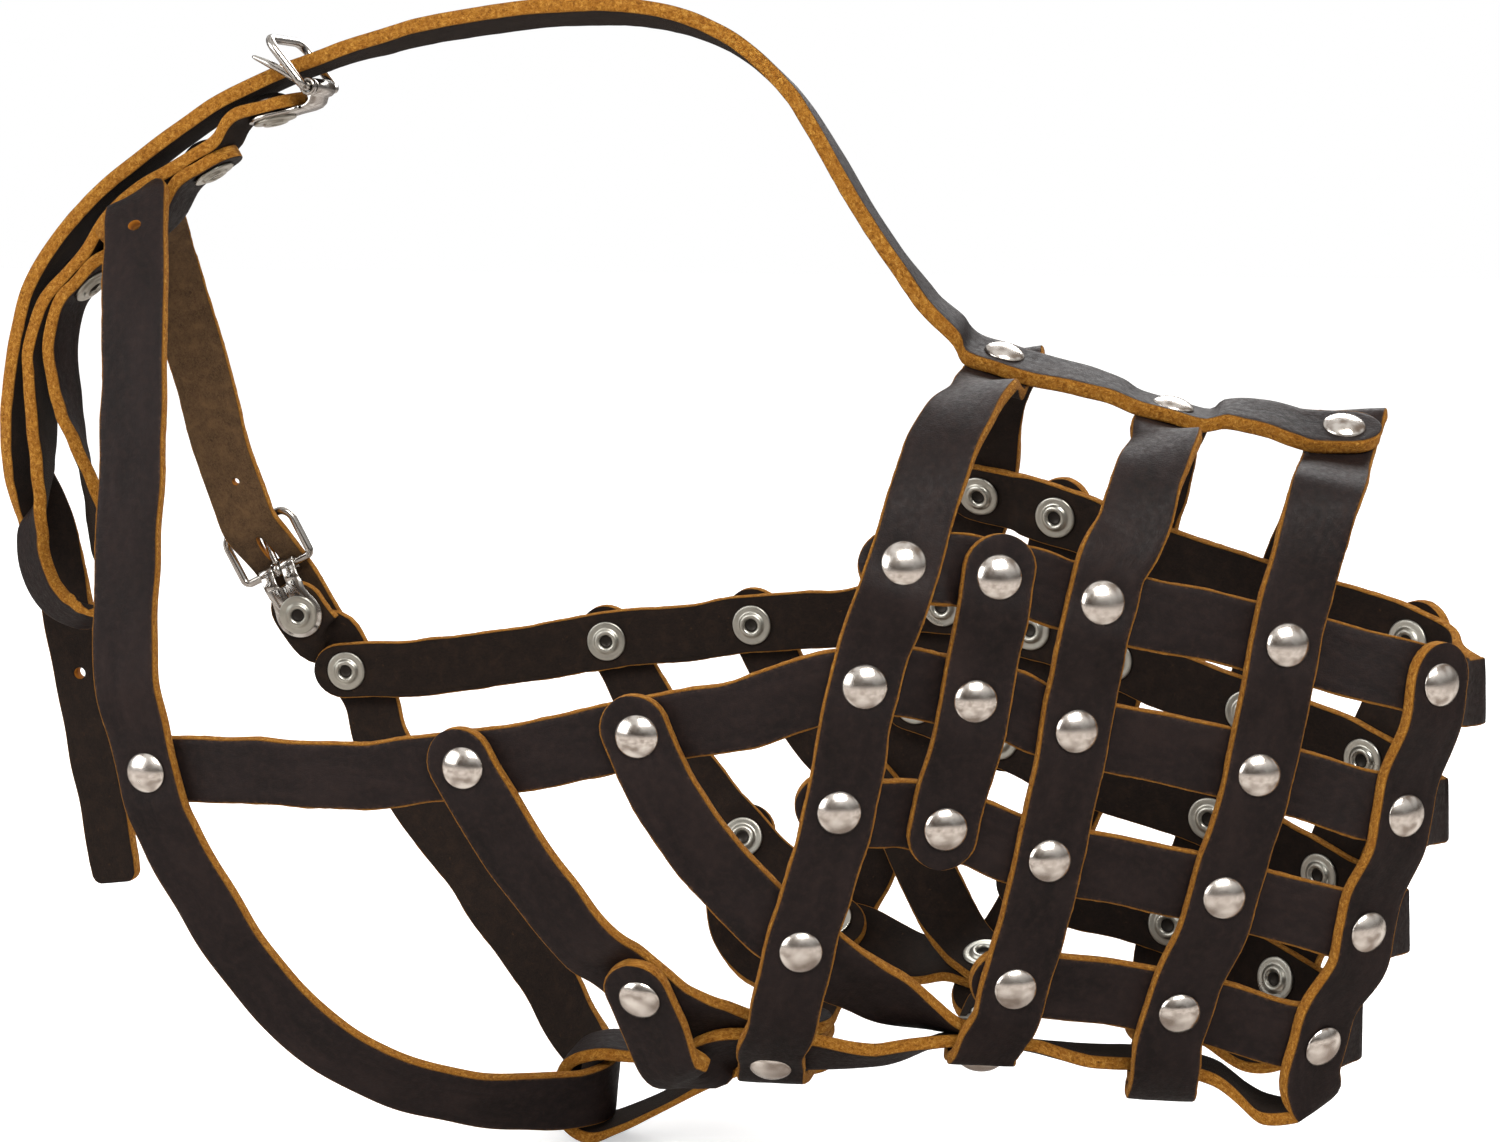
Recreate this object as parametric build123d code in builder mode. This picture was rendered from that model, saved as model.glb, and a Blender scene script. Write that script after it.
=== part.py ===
from build123d import *
import math
import os

# Riveted leather basket muzzle for a large dog.
# Frame: +X towards the nose, +Y towards the animal's left, +Z up, millimetres.
# The origin lies on the mid plane, level with the second rivet of the rear hoop.

# ---------------------------------------------------------------- leather
STRAP_W = 15.0          # strap width
HEAD_STRAP_W = 13.0     # width of the crown strap and of its folded loop strap
STRAP_T = 2.8           # leather thickness
PITCH = 3.25            # layer pitch where straps cross: leather plus a hair of air
HOLE_R = 1.7            # punched rivet hole radius
HOLE_OVERRUN = 3.0      # how far a rivet punch runs past the outer layers' mid surfaces
PUNCH_R = 1.6           # buckle hole radius
PUNCH_REACH = 5.0       # run of a buckle hole punch either side of its point
END_STEPS = (20, 40, 58, 74, 85)  # arc angles of the sections that round a strap's end
STATION_STEP = 13.0     # aimed spacing of the cross sections between stations
MIN_KNOT_LEN = 1e-6     # keeps the spline knots apart

# ---------------------------------------------------------------- rivets
CAP_R = 4.75            # domed cap radius
CAP_H = 2.1             # cap height above the leather
CAP_RIM_IN = 0.25       # inset of the rim's lower edge
CAP_RIM_H = 0.35        # rim height
CAP_TIP_R = 0.5         # flat at the top of the dome
DOME = ((0.93, 0.42), (0.8, 0.66), (0.6, 0.85), (0.35, 0.97))  # shares of CAP_R and CAP_H
SHANK_R = 1.6           # shank radius
SHANK_WALL = 0.5        # wall of the hollow shank end
SHANK_BORE = 1.2        # depth of the hollow shank end
SHANK_OUT = 0.2         # shank standing out past the back flange
BACK_R = 5.2            # back flange radius
BACK_T = 0.7            # back flange thickness
BACK_RING_R = 3.0       # rolled ring round the shank
BACK_RING_H = 0.55      # ring height below the flange
RIVET_AIR = 0.05        # air between leather and rivet

# ---------------------------------------------------------------- buckles
WIRE_R = 1.1            # buckle wire radius
FIT = 0.05              # clearance of a wire in its knuckle and of a shank in its back
FRAME_HALF = 10.2       # buckle frame half width, centre of wire
FRAME_LEN = 14.0        # buckle frame length, bar to outer wire
BAR_BEND_R = 1.5        # frame corners at the bar
OUTER_BEND_R = 3.2      # frame corners at the outer wire
KNUCKLE_R = 2.05        # knuckle outer radius
KNUCKLE_HALF = 5.2      # knuckle half width
PRONG_R = 0.9           # prong radius
PRONG_LEN = 15.4        # prong length from the bar
PRONG_TAPER = 3.0       # length of the tapered tip
PRONG_TIP = 0.45        # tip radius as a share of PRONG_R
EYE_EXTRA = 0.12        # eye wider than the prong, each side
CHAPE_T = 1.0           # chape plate thickness
CHAPE_DROP = 0.35       # air between leather and chape plate
CHAPE_R = 6.3           # round end of the chape plate
SHOULDER_X = 4.5        # where the plate starts to narrow
SHOULDER_HALF = 5.6     # plate half width there
NECK_X = 6.0            # where it reaches the knuckle's width
PLATE_END_X = 9.6       # end of the flat plate
NOTCH_SIZE = (7.6, 2.5) # gap for the prong in a notched chape: along and across
BAR_REACH = 13.0        # chape rivet to buckle bar
CHAPE_STACK = {"L0": CHAPE_DROP + CHAPE_T, "NB": CHAPE_DROP + CHAPE_T}  # extra rivet grip
CROWN_BAR_RISE = 1.6    # bar above the leather's mid surface
NECK_BAR_RISE = 0.8
CROWN_FRAME_DIR = (-0.62, 0, 0.785)
CROWN_PRONG_DIR = (-0.89, 0, 0.456)
CROWN_PRONG_OFFSET = 7.0  # the crown buckle's prong sits beside the strap, towards -Y
NECK_FRAME_RISE = 0.9   # rise of the neck frame over its length
NECK_PRONG_RISE = 3.55  # rise of the neck prong over the frame's length
SLOT_AT = 19.2          # neck rivet to the centre of the prong slot
SLOT_SIZE = (9.0, 3.0)  # prong slot length and width
SLOT_FLOOR = -6.0       # start of the slot and notch cuts below the rivet's point
SLOT_CUT = 14.0         # depth of those cuts

# ---------------------------------------------------------------- strap centre lines
# One station is (x, y, z, nx, ny, nz): a point on the mid surface of the leather and the
# direction its grain side (or, on a folded leg, its hidden side) faces.
# A seventh value, 1, marks a station where the leather is folded sharply.
STATIONS = {
    # From the rear hoop on the right, folded round the nose, to the rear hoop on the left.
    "upper_side_band": [
        (5.2, -57.34, 25.62, 0.231, -0.926, 0.3), (6.75, -57, 25.47, 0.231, -0.926, 0.3),
        (14.44, -55.32, 24.76, 0.231, -0.926, 0.3), (18.2, -52.62, 24.46, 0.291, -0.952, 0.1),
        (25.66, -50.5, 22.94, 0.291, -0.952, 0.1), (33.12, -48.38, 21.42, 0.291, -0.952, 0.1),
        (38.99, -45.87, 18.95, 0.339, -0.93, 0.14), (46.28, -43.5, 17.05, 0.339, -0.93, 0.14),
        (53.57, -41.13, 15.15, 0.339, -0.93, 0.14), (76.84, -32.09, 9.29, 0.291, -0.953, 0.08),
        (84.21, -30, 7.35, 0.291, -0.953, 0.08), (91.57, -27.91, 5.41, 0.291, -0.953, 0.08),
        (108.94, -26.59, 1, 0.615, -0.788, 0.03), (114.93, -22, -1.32, 0.615, -0.788, 0.03),
        (120.92, -17.41, -3.64, 0.615, -0.788, 0.03), (123, -9, -5.8, 0.863, -0.502, 0.05),
        (126, -2.6, -6.7, 0.923, -0.381, 0.05), (127.6, 0, -7, 0.999, 0, 0.05, 1),
        (126, 2.6, -6.7, 0.923, 0.381, 0.05), (123, 9, -5.8, 0.863, 0.502, 0.05),
        (120.03, 17.4, -2.83, 0.615, 0.788, 0.03), (114.03, 22, -0.53, 0.615, 0.788, 0.03),
        (108.03, 26.6, 1.77, 0.615, 0.788, 0.03), (91.81, 27.9, 5.36, 0.291, 0.953, 0.08),
        (84.42, 30, 7.21, 0.291, 0.953, 0.08), (77.03, 32.1, 9.05, 0.291, 0.953, 0.08),
        (57.43, 41.14, 13.95, 0.339, 0.93, 0.14), (50.14, 43.5, 15.88, 0.339, 0.93, 0.14),
        (42.86, 45.86, 17.81, 0.339, 0.93, 0.14), (36.82, 48.44, 20.47, 0.291, 0.952, 0.1),
        (29.43, 50.5, 22.37, 0.291, 0.952, 0.1), (22.04, 52.56, 24.27, 0.291, 0.952, 0.1),
        (17.14, 55.52, 25.4, 0.231, 0.926, 0.3), (9.49, 57, 26.72, 0.231, 0.926, 0.3),
        (7.94, 57.3, 26.98, 0.231, 0.926, 0.3),
    ],
    # The long one, from the neck strap round the nose and back to the neck strap.
    "cheek_band": [
        (-166.35, -52.39, -27.59, -0.07, -0.998, 0), (-164.76, -52.5, -27.52, -0.07, -0.998, 0),
        (-156.89, -53.05, -27.14, -0.07, -0.998, 0), (-139.4, -55, -26.3, -0.05, -0.999, 0),
        (-112, -57, -25.2, 0, -1, 0), (-95.79, -57.23, -22.83, -0.035, -0.999, 0),
        (-88.02, -57.5, -21.38, -0.035, -0.999, 0), (-80.26, -57.77, -19.93, -0.035, -0.999, 0),
        (-68, -58.2, -17, 0, -1, 0.02), (-56.76, -58.31, -14.22, 0.035, -0.999, 0.02),
        (-49.08, -58, -12.36, 0.035, -0.999, 0.02), (-41.41, -57.69, -10.51, 0.035, -0.999, 0.02),
        (-25.5, -58.6, -6.7, 0.08, -0.996, 0.03), (-8.51, -59.43, -0.19, 0.242, -0.97, 0.04),
        (-0.87, -57.5, 0.4, 0.242, -0.97, 0.04), (6.77, -55.57, 1, 0.242, -0.97, 0.04),
        (13.62, -51.75, -1.18, 0.292, -0.956, 0), (20.97, -49.5, -3.01, 0.292, -0.956, 0),
        (28.32, -47.25, -4.84, 0.292, -0.956, 0), (34.08, -45.1, -8.03, 0.342, -0.94, 0),
        (41.21, -42.5, -10.22, 0.342, -0.94, 0), (48.35, -39.9, -12.4, 0.342, -0.94, 0),
        (72.1, -32.22, -18.58, 0.292, -0.956, 0), (79.37, -30, -20.71, 0.292, -0.956, 0),
        (86.65, -27.78, -22.85, 0.292, -0.956, 0), (103.04, -26.16, -27.87, 0.616, -0.788, 0),
        (109.01, -21.5, -30.13, 0.616, -0.788, 0), (114.97, -16.84, -32.39, 0.616, -0.788, 0),
        (116.4, -9, -33.3, 0.863, -0.502, 0.05), (119.4, -2.6, -34.2, 0.923, -0.381, 0.05),
        (121, 0, -34.5, 0.999, 0, 0.05, 1), (119.4, 2.6, -34.2, 0.923, 0.381, 0.05),
        (116.4, 9, -33.3, 0.863, 0.502, 0.05), (111.05, 16.83, -31.26, 0.616, 0.788, 0),
        (105.08, 21.5, -29.03, 0.616, 0.788, 0), (99.11, 26.17, -26.81, 0.616, 0.788, 0),
        (84.91, 27.77, -22.6, 0.292, 0.956, 0), (77.62, 30, -20.52, 0.292, 0.956, 0),
        (70.33, 32.23, -18.44, 0.292, 0.956, 0), (52.14, 39.88, -13.59, 0.342, 0.94, 0),
        (44.94, 42.5, -11.67, 0.342, 0.94, 0), (37.74, 45.12, -9.74, 0.342, 0.94, 0),
        (31.3, 47.23, -7.66, 0.292, 0.956, 0), (23.88, 49.5, -6.14, 0.292, 0.956, 0),
        (16.47, 51.77, -4.61, 0.292, 0.956, 0), (8.11, 55.59, -2.36, 0.242, 0.97, 0.04),
        (0.44, 57.5, -2.44, 0.242, 0.97, 0.04), (-7.22, 59.41, -2.52, 0.242, 0.97, 0.04),
        (-24.81, 58.6, -6.74, 0.08, 0.996, 0.03), (-41.7, 57.71, -8.17, 0.035, 0.999, 0.02),
        (-49.52, 58, -9.24, 0.035, 0.999, 0.02), (-57.34, 58.29, -10.32, 0.035, 0.999, 0.02),
        (-68.46, 58.2, -12.76, 0, 1, 0.02), (-81, 57.77, -13.82, -0.035, 0.999, 0),
        (-88.8, 57.5, -15.08, -0.035, 0.999, 0), (-96.59, 57.23, -16.35, -0.035, 0.999, 0),
        (-112.19, 57, -19.84, 0, 1, 0), (-135.63, 55, -23.54, -0.05, 0.999, 0),
        (-152.12, 53.05, -24.6, -0.07, 0.998, 0), (-159.98, 52.5, -25.11, -0.07, 0.998, 0),
        (-161.57, 52.39, -25.22, -0.07, 0.998, 0),
    ],
    "lower_side_band": [
        (-8.17, -56.39, -26.54, 0.242, -0.969, -0.05), (-6.65, -56, -26.86, 0.242, -0.969, -0.05),
        (0.84, -54.05, -28.44, 0.242, -0.969, -0.05), (7.35, -50.29, -29.29, 0.292, -0.956, -0.03),
        (14.63, -48, -31.33, 0.292, -0.956, -0.03), (21.91, -45.71, -33.38, 0.292, -0.956, -0.03),
        (28.89, -44.14, -36.81, 0.342, -0.94, -0.02), (36.03, -41.5, -38.9, 0.342, -0.94, -0.02),
        (43.18, -38.86, -40.99, 0.342, -0.94, -0.02), (65.6, -31.79, -46.21, 0.292, -0.956, -0.03),
        (72.91, -29.5, -48.16, 0.292, -0.956, -0.03), (80.21, -27.21, -50.1, 0.292, -0.956, -0.03),
        (96.24, -25.24, -54.38, 0.615, -0.788, -0.03), (102.2, -20.5, -56.5, 0.615, -0.788, -0.03),
        (108.16, -15.76, -58.62, 0.615, -0.788, -0.03), (109, -9, -59.8, 0.863, -0.502, 0.05),
        (112, -2.6, -60.7, 0.923, -0.381, 0.05), (113.6, 0, -61, 0.999, 0, 0.05, 1),
        (112, 2.6, -60.7, 0.923, 0.381, 0.05), (109, 9, -59.8, 0.863, 0.502, 0.05),
        (102.12, 15.77, -59.17, 0.615, 0.788, -0.03), (96.17, 20.5, -57, 0.615, 0.788, -0.03),
        (90.22, 25.23, -54.83, 0.615, 0.788, -0.03), (76.98, 27.21, -49.12, 0.292, 0.956, -0.03),
        (69.7, 29.5, -47.11, 0.292, 0.956, -0.03), (62.41, 31.79, -45.09, 0.292, 0.956, -0.03),
        (44.32, 38.83, -42.28, 0.342, 0.94, -0.02), (37.1, 41.5, -40.51, 0.342, 0.94, -0.02),
        (29.87, 44.17, -38.75, 0.342, 0.94, -0.02), (24.02, 45.71, -36.32, 0.292, 0.956, -0.03),
        (16.76, 48, -34.22, 0.292, 0.956, -0.03), (9.5, 50.29, -32.12, 0.292, 0.956, -0.03),
        (1.24, 54.05, -29.96, 0.242, 0.969, -0.05), (-6.15, 56, -27.95, 0.242, 0.969, -0.05),
        (-7.65, 56.39, -27.54, 0.242, 0.969, -0.05),
    ],
    # From the middle hoop forwards only.
    "jaw_band": [
        (27.75, -41.07, -67.51, 0.34, -0.933, -0.12), (29.22, -40.5, -67.78, 0.34, -0.933, -0.12),
        (36.47, -37.68, -69.14, 0.34, -0.933, -0.12), (56.78, -31.42, -72.69, 0.291, -0.952, -0.1),
        (64.1, -29, -74.41, 0.291, -0.952, -0.1), (71.42, -26.58, -76.12, 0.291, -0.952, -0.1),
        (87.71, -24.46, -80.98, 0.608, -0.778, -0.16), (93.55, -19.5, -82.9, 0.608, -0.778, -0.16),
        (99.39, -14.54, -84.83, 0.608, -0.778, -0.16), (99.6, -9, -85.8, 0.864, -0.503, 0.02),
        (102.6, -2.6, -86.7, 0.924, -0.382, 0.02), (104.2, 0, -87, 1, 0, 0.02, 1),
        (102.6, 2.6, -86.7, 0.924, 0.382, 0.02), (99.6, 9, -85.8, 0.864, 0.503, 0.02),
        (92.83, 14.54, -84.72, 0.608, 0.778, -0.16), (86.96, 19.5, -82.91, 0.608, 0.778, -0.16),
        (81.09, 24.46, -81.1, 0.608, 0.778, -0.16), (68.18, 26.59, -75.68, 0.291, 0.952, -0.1),
        (60.82, 29, -74.12, 0.291, 0.952, -0.1), (53.46, 31.41, -72.57, 0.291, 0.952, -0.1),
        (32.86, 37.72, -70.81, 0.34, 0.933, -0.12), (25.51, 40.5, -69.98, 0.34, 0.933, -0.12),
        (24.02, 41.06, -69.81, 0.34, 0.933, -0.12),
    ],
    # The three hoops run round the basket, their ends lapped under the chin.
    "rear_hoop": [
        (-27, 12, -101.5, 0, 0, -1), (-27.28, 7.89, -101.5, 0, 0, -1),
        (-27, 0, -101.5, 0, 0, -1), (-26.72, -7.89, -101.5, 0, 0, -1),
        (-26, -16, -101, 0, -0.06, -0.998), (-24.8, -37.43, -95.07, 0.047, -0.671, -0.74),
        (-23.61, -43.18, -89.79, 0.047, -0.671, -0.74), (-22.42, -48.93, -84.5, 0.047, -0.671, -0.74),
        (-18.7, -54.8, -76.4, 0.12, -0.947, -0.299), (-16.02, -57.66, -65.95, 0.24, -0.963, -0.12),
        (-14.09, -58.13, -58.3, 0.24, -0.963, -0.12), (-12.16, -58.6, -50.66, 0.24, -0.963, -0.12),
        (-7.6, -59.19, -34.73, 0.242, -0.969, -0.05), (-5.87, -59.15, -27.03, 0.242, -0.969, -0.05),
        (-4.13, -59.11, -19.32, 0.242, -0.969, -0.05), (-1.79, -61.39, -7.14, 0.242, -0.97, 0.04),
        (-0.08, -60.65, 0.53, 0.242, -0.97, 0.04), (1.63, -59.91, 8.21, 0.242, -0.97, 0.04),
        (5.7, -62.78, 19.27, 0.231, -0.926, 0.3), (7.5, -60.01, 26.45, 0.231, -0.926, 0.3),
        (9.31, -57.23, 33.62, 0.231, -0.926, 0.3), (12, -51.5, 44, 0.1, -0.796, 0.597),
        (15.3, -39.5, 54, 0, -0.622, 0.783), (18.6, -24, 59.6, -0.149, -0.418, 0.896),
        (18.96, -5.85, 59.6, 0.269, -0.299, 0.916), (19.93, 1.69, 61.77, 0.269, -0.299, 0.916),
        (20.9, 9.22, 63.94, 0.269, -0.299, 0.916), (21.6, 15, 64.3, -0.2, 0.05, 0.979),
        (18.8, 31, 60.6, -0.149, 0.446, 0.882), (13.6, 46, 50.6, 0, 0.722, 0.692),
        (11.82, 57.27, 34.93, 0.231, 0.926, 0.3), (10.24, 60.01, 27.69, 0.231, 0.926, 0.3),
        (8.67, 62.75, 20.45, 0.231, 0.926, 0.3), (3.14, 59.86, 5.31, 0.242, 0.97, 0.04),
        (1.23, 60.65, -2.31, 0.242, 0.97, 0.04), (-0.69, 61.44, -9.93, 0.242, 0.97, 0.04),
        (-3.36, 59.04, -20.47, 0.242, 0.969, -0.05), (-5.36, 59.15, -28.11, 0.242, 0.969, -0.05),
        (-7.37, 59.25, -35.76, 0.242, 0.969, -0.05), (-11.29, 58.54, -47.38, 0.24, 0.963, -0.12),
        (-13.44, 58.13, -54.97, 0.24, 0.963, -0.12), (-15.58, 57.72, -62.57, 0.24, 0.963, -0.12),
        (-18.78, 54.8, -73.63, 0.12, 0.947, -0.299), (-23, 48.92, -81.68, 0.047, 0.671, -0.74),
        (-24.28, 43.18, -86.96, 0.047, 0.671, -0.74), (-25.55, 37.45, -92.24, 0.047, 0.671, -0.74),
        (-26.2, 18, -97.6, 0, 0.243, -0.97), (-26.79, 7.9, -98.25, 0, 0, -1),
        (-27, 0, -98.25, 0, 0, -1), (-27.21, -7.9, -98.25, 0, 0, -1),
        (-27, -12, -98.25, 0, 0, -1),
    ],
    "middle_hoop": [
        (21, 11, -91.25, 0, 0, -1), (21, 7.9, -91.25, 0, 0, -1),
        (21, 0, -91.25, 0, 0, -1), (21, -7.9, -91.25, 0, 0, -1),
        (21, -17, -92.3, 0, -0.1, -0.995), (20.44, -24.63, -91.13, 0.027, -0.311, -0.95),
        (21.83, -32.01, -88.67, 0.027, -0.311, -0.95), (23.22, -39.39, -86.22, 0.027, -0.311, -0.95),
        (25.7, -41.4, -80.6, 0.252, -0.855, -0.453), (28.34, -43.27, -75.82, 0.34, -0.933, -0.12),
        (30.32, -43.53, -68.17, 0.34, -0.933, -0.12), (32.3, -43.8, -60.53, 0.34, -0.933, -0.12),
        (35.76, -44.89, -46.74, 0.342, -0.94, -0.02), (37.14, -44.55, -38.97, 0.342, -0.94, -0.02),
        (38.53, -44.21, -31.2, 0.342, -0.94, -0.02), (41.16, -45.98, -18.02, 0.342, -0.94, 0),
        (42.32, -45.55, -10.22, 0.342, -0.94, 0), (43.49, -45.13, -2.41, 0.342, -0.94, 0),
        (45.76, -48.25, 9.97, 0.339, -0.93, 0.14), (47.38, -46.52, 17.51, 0.339, -0.93, 0.14),
        (49.01, -44.8, 25.04, 0.339, -0.93, 0.14), (52.6, -40, 31.5, 0.199, -0.896, 0.398),
        (55.4, -31, 42, 0.05, -0.686, 0.726), (58.3, -16, 49, -0.151, -0.322, 0.935),
        (57.6, -7.29, 49.72, 0.241, -0.101, 0.965), (58.08, 0.57, 50.42, 0.241, -0.101, 0.965),
        (58.56, 8.42, 51.12, 0.241, -0.101, 0.965), (59.6, 15, 49.4, -0.201, 0.221, 0.954),
        (56.6, 29, 43.2, -0.05, 0.654, 0.755), (54.6, 39, 33.5, 0.154, 0.873, 0.462),
        (52.52, 44.91, 23.96, 0.339, 0.93, 0.14), (51.25, 46.52, 16.33, 0.339, 0.93, 0.14),
        (49.97, 48.14, 8.7, 0.339, 0.93, 0.14), (47.53, 45.02, -3.93, 0.342, 0.94, 0),
        (46.05, 45.55, -11.67, 0.342, 0.94, 0), (44.57, 46.09, -19.41, 0.342, 0.94, 0),
        (40.38, 43.92, -33.01, 0.342, 0.94, -0.02), (38.21, 44.55, -40.58, 0.342, 0.94, -0.02),
        (36.03, 45.18, -48.15, 0.342, 0.94, -0.02), (29.47, 43.44, -63, 0.34, 0.933, -0.12),
        (26.61, 43.53, -70.37, 0.34, 0.933, -0.12), (23.76, 43.62, -77.74, 0.34, 0.933, -0.12),
        (19.76, 41.4, -84.24, 0.252, 0.855, -0.453), (15.8, 39.52, -90.02, 0.027, 0.311, -0.95),
        (15.66, 32.01, -92.48, 0.027, 0.311, -0.95), (15.52, 24.51, -94.94, 0.027, 0.311, -0.95),
        (19.4, 17.5, -96.3, 0, 0.119, -0.993), (20.57, 7.89, -94.5, 0, 0, -1),
        (21, 0, -94.5, 0, 0, -1), (21.43, -7.89, -94.5, 0, 0, -1),
        (21, -12, -94.5, 0, 0, -1),
    ],
    "front_hoop": [
        (60.5, 10.5, -101.4, 0, 0, -1), (60.41, 7.9, -101.4, 0, 0, -1),
        (60.5, 0, -101.4, 0, 0, -1), (60.59, -7.9, -101.4, 0, 0, -1),
        (60.8, -14.5, -100.7, 0, -0.119, -0.993), (61.6, -24.5, -96.2, 0.05, -0.552, -0.833),
        (62.6, -30.6, -88, 0.201, -0.932, -0.301), (62.96, -31.93, -82.35, 0.291, -0.952, -0.1),
        (65.04, -32.09, -74.73, 0.291, -0.952, -0.1), (67.13, -32.26, -67.11, 0.291, -0.952, -0.1),
        (71.86, -32.98, -55.89, 0.292, -0.956, -0.03), (73.86, -32.61, -48.25, 0.292, -0.956, -0.03),
        (75.85, -32.24, -40.62, 0.292, -0.956, -0.03), (78.91, -33.54, -28.47, 0.292, -0.956, 0),
        (80.32, -33.11, -20.71, 0.292, -0.956, 0), (81.74, -32.68, -12.95, 0.292, -0.956, 0),
        (83.84, -34.15, -0.11, 0.291, -0.953, 0.08), (85.15, -33.1, 7.61, 0.291, -0.953, 0.08),
        (86.47, -32.05, 15.33, 0.291, -0.953, 0.08), (89.6, -29.2, 29, 0.251, -0.935, 0.251),
        (92.8, -22.5, 39.5, 0.1, -0.752, 0.652), (94.78, -4.42, 43.45, 0.081, -0.454, 0.887),
        (96.07, 2.56, 46.91, 0.081, -0.454, 0.887), (97.36, 9.55, 50.36, 0.081, -0.454, 0.887),
        (98.6, 13, 52, -0.1, 0, 0.995), (98, 23.5, 47.4, 0.05, 0.599, 0.799),
        (94.8, 30, 36.5, 0.202, 0.931, 0.304), (89.8, 32.2, 22, 0.272, 0.957, 0.101),
        (87.09, 31.93, 15.09, 0.291, 0.953, 0.08), (85.36, 33.1, 7.47, 0.291, 0.953, 0.08),
        (83.64, 34.27, -0.15, 0.291, 0.953, 0.08), (80.43, 32.54, -12.87, 0.292, 0.956, 0),
        (78.57, 33.11, -20.52, 0.292, 0.956, 0), (76.7, 33.68, -28.18, 0.292, 0.956, 0),
        (72.83, 32.18, -39.62, 0.292, 0.956, -0.03), (70.65, 32.61, -47.2, 0.292, 0.956, -0.03),
        (68.47, 33.04, -54.78, 0.292, 0.956, -0.03), (63.87, 32.25, -66.83, 0.291, 0.952, -0.1),
        (61.76, 32.09, -74.45, 0.291, 0.952, -0.1), (59.66, 31.94, -82.06, 0.291, 0.952, -0.1),
        (59.01, 30.6, -87.91, 0.201, 0.932, -0.301), (57.72, 24.5, -96.37, 0.05, 0.552, -0.833),
        (60.6, 16, -98.2, 0, 0.148, -0.989), (60.53, 7.9, -98.15, 0, 0, -1),
        (60.5, 0, -98.15, 0, 0, -1), (60.47, -7.9, -98.15, 0, 0, -1),
        (60.5, -10.5, -98.15, 0, 0, -1),
    ],
    # Short upright ties between the rear and middle hoops.
    "right_side_tie": [
        (26.8, -53.37, 24.84, 0.291, -0.952, 0.1), (26.6, -53.59, 23.26, 0.291, -0.952, 0.1),
        (25.63, -54.71, 15.5, 0.291, -0.952, 0.1), (23.25, -52.2, 4.76, 0.292, -0.956, 0),
        (21.92, -52.61, -3.01, 0.292, -0.956, 0), (20.58, -53.02, -10.79, 0.292, -0.956, 0),
        (17.11, -50.88, -23.68, 0.292, -0.956, -0.03), (15.58, -51.11, -31.43, 0.292, -0.956, -0.03),
        (15.27, -51.15, -33, 0.292, -0.956, -0.03),
    ],
    "left_side_tie": [
        (30.6, 53.36, 24.26, 0.291, 0.952, 0.1), (30.38, 53.59, 22.7, 0.291, 0.952, 0.1),
        (29.29, 54.74, 14.95, 0.291, 0.952, 0.1), (26.31, 52.16, 1.61, 0.292, 0.956, 0),
        (24.83, 52.61, -6.14, 0.292, 0.956, 0), (23.36, 53.06, -13.88, 0.292, 0.956, 0),
        (19.44, 50.82, -26.61, 0.292, 0.956, -0.03), (17.71, 51.11, -34.32, 0.292, 0.956, -0.03),
        (17.36, 51.16, -35.88, 0.292, 0.956, -0.03),
    ],
    # Down the front of the basket, back under the chin, and up to the rear jaw strap.
    "right_chin_strap": [
        (117.09, -24.37, 0.36, 0.615, -0.788, 0.03), (116.93, -24.56, -1.22, 0.615, -0.788, 0.03),
        (116.14, -25.47, -9.03, 0.615, -0.788, 0.03), (112.02, -23.27, -22.34, 0.616, -0.788, 0),
        (111.01, -24.06, -30.13, 0.616, -0.788, 0), (110, -24.85, -37.93, 0.616, -0.788, 0),
        (105.59, -22.27, -48.86, 0.615, -0.788, -0.03), (104.2, -23.06, -56.6, 0.615, -0.788, -0.03),
        (102.81, -23.85, -64.33, 0.615, -0.788, -0.03), (97.11, -22.38, -75.69, 0.608, -0.778, -0.16),
        (95.52, -22.03, -83.42, 0.608, -0.778, -0.16), (93.94, -21.68, -91.15, 0.608, -0.778, -0.16),
        (94.2, -19.6, -99.3, 0.622, -0.301, -0.723), (84.8, -16.8, -101.6, 0.099, -0.099, -0.99),
        (72.5, -15.6, -94.3, -0.219, -0.13, -0.967), (60, -15.4, -92.5, -0.02, -0.148, -0.989),
        (44, -21.5, -90.6, -0.02, -0.158, -0.987), (29.19, -28.46, -86.2, 0.027, -0.311, -0.95),
        (21.74, -31, -85.59, 0.027, -0.311, -0.95), (14.28, -33.54, -84.97, 0.027, -0.311, -0.95),
        (0, -37, -88.4, 0, -0.503, -0.865), (-15.92, -40.12, -87.68, 0.047, -0.671, -0.74),
        (-23.76, -41, -87.38, 0.047, -0.671, -0.74), (-31.61, -41.88, -87.08, 0.047, -0.671, -0.74),
        (-35.4, -42.4, -88.6, -0.121, -0.666, -0.736), (-39.5, -44.6, -93, -0.152, -0.709, -0.689),
        (-44.3, -49.6, -91.4, -0.101, -0.886, -0.453), (-47.97, -52.93, -79.57, -0.05, -0.953, -0.3),
        (-50.24, -55.1, -72.32, -0.05, -0.953, -0.3), (-50.7, -55.53, -70.85, -0.05, -0.953, -0.3),
    ],
    "left_chin_strap": [
        (116.29, 24.3, 1.12, 0.615, 0.788, 0.03), (116.03, 24.56, -0.43, 0.615, 0.788, 0.03),
        (114.73, 25.87, -8.12, 0.615, 0.788, 0.03), (108.49, 22.96, -21.34, 0.616, 0.788, 0),
        (107.08, 24.06, -29.03, 0.616, 0.788, 0), (105.67, 25.16, -36.73, 0.616, 0.788, 0),
        (99.75, 22.11, -49.41, 0.615, 0.788, -0.03), (98.17, 23.06, -57.1, 0.615, 0.788, -0.03),
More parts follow.
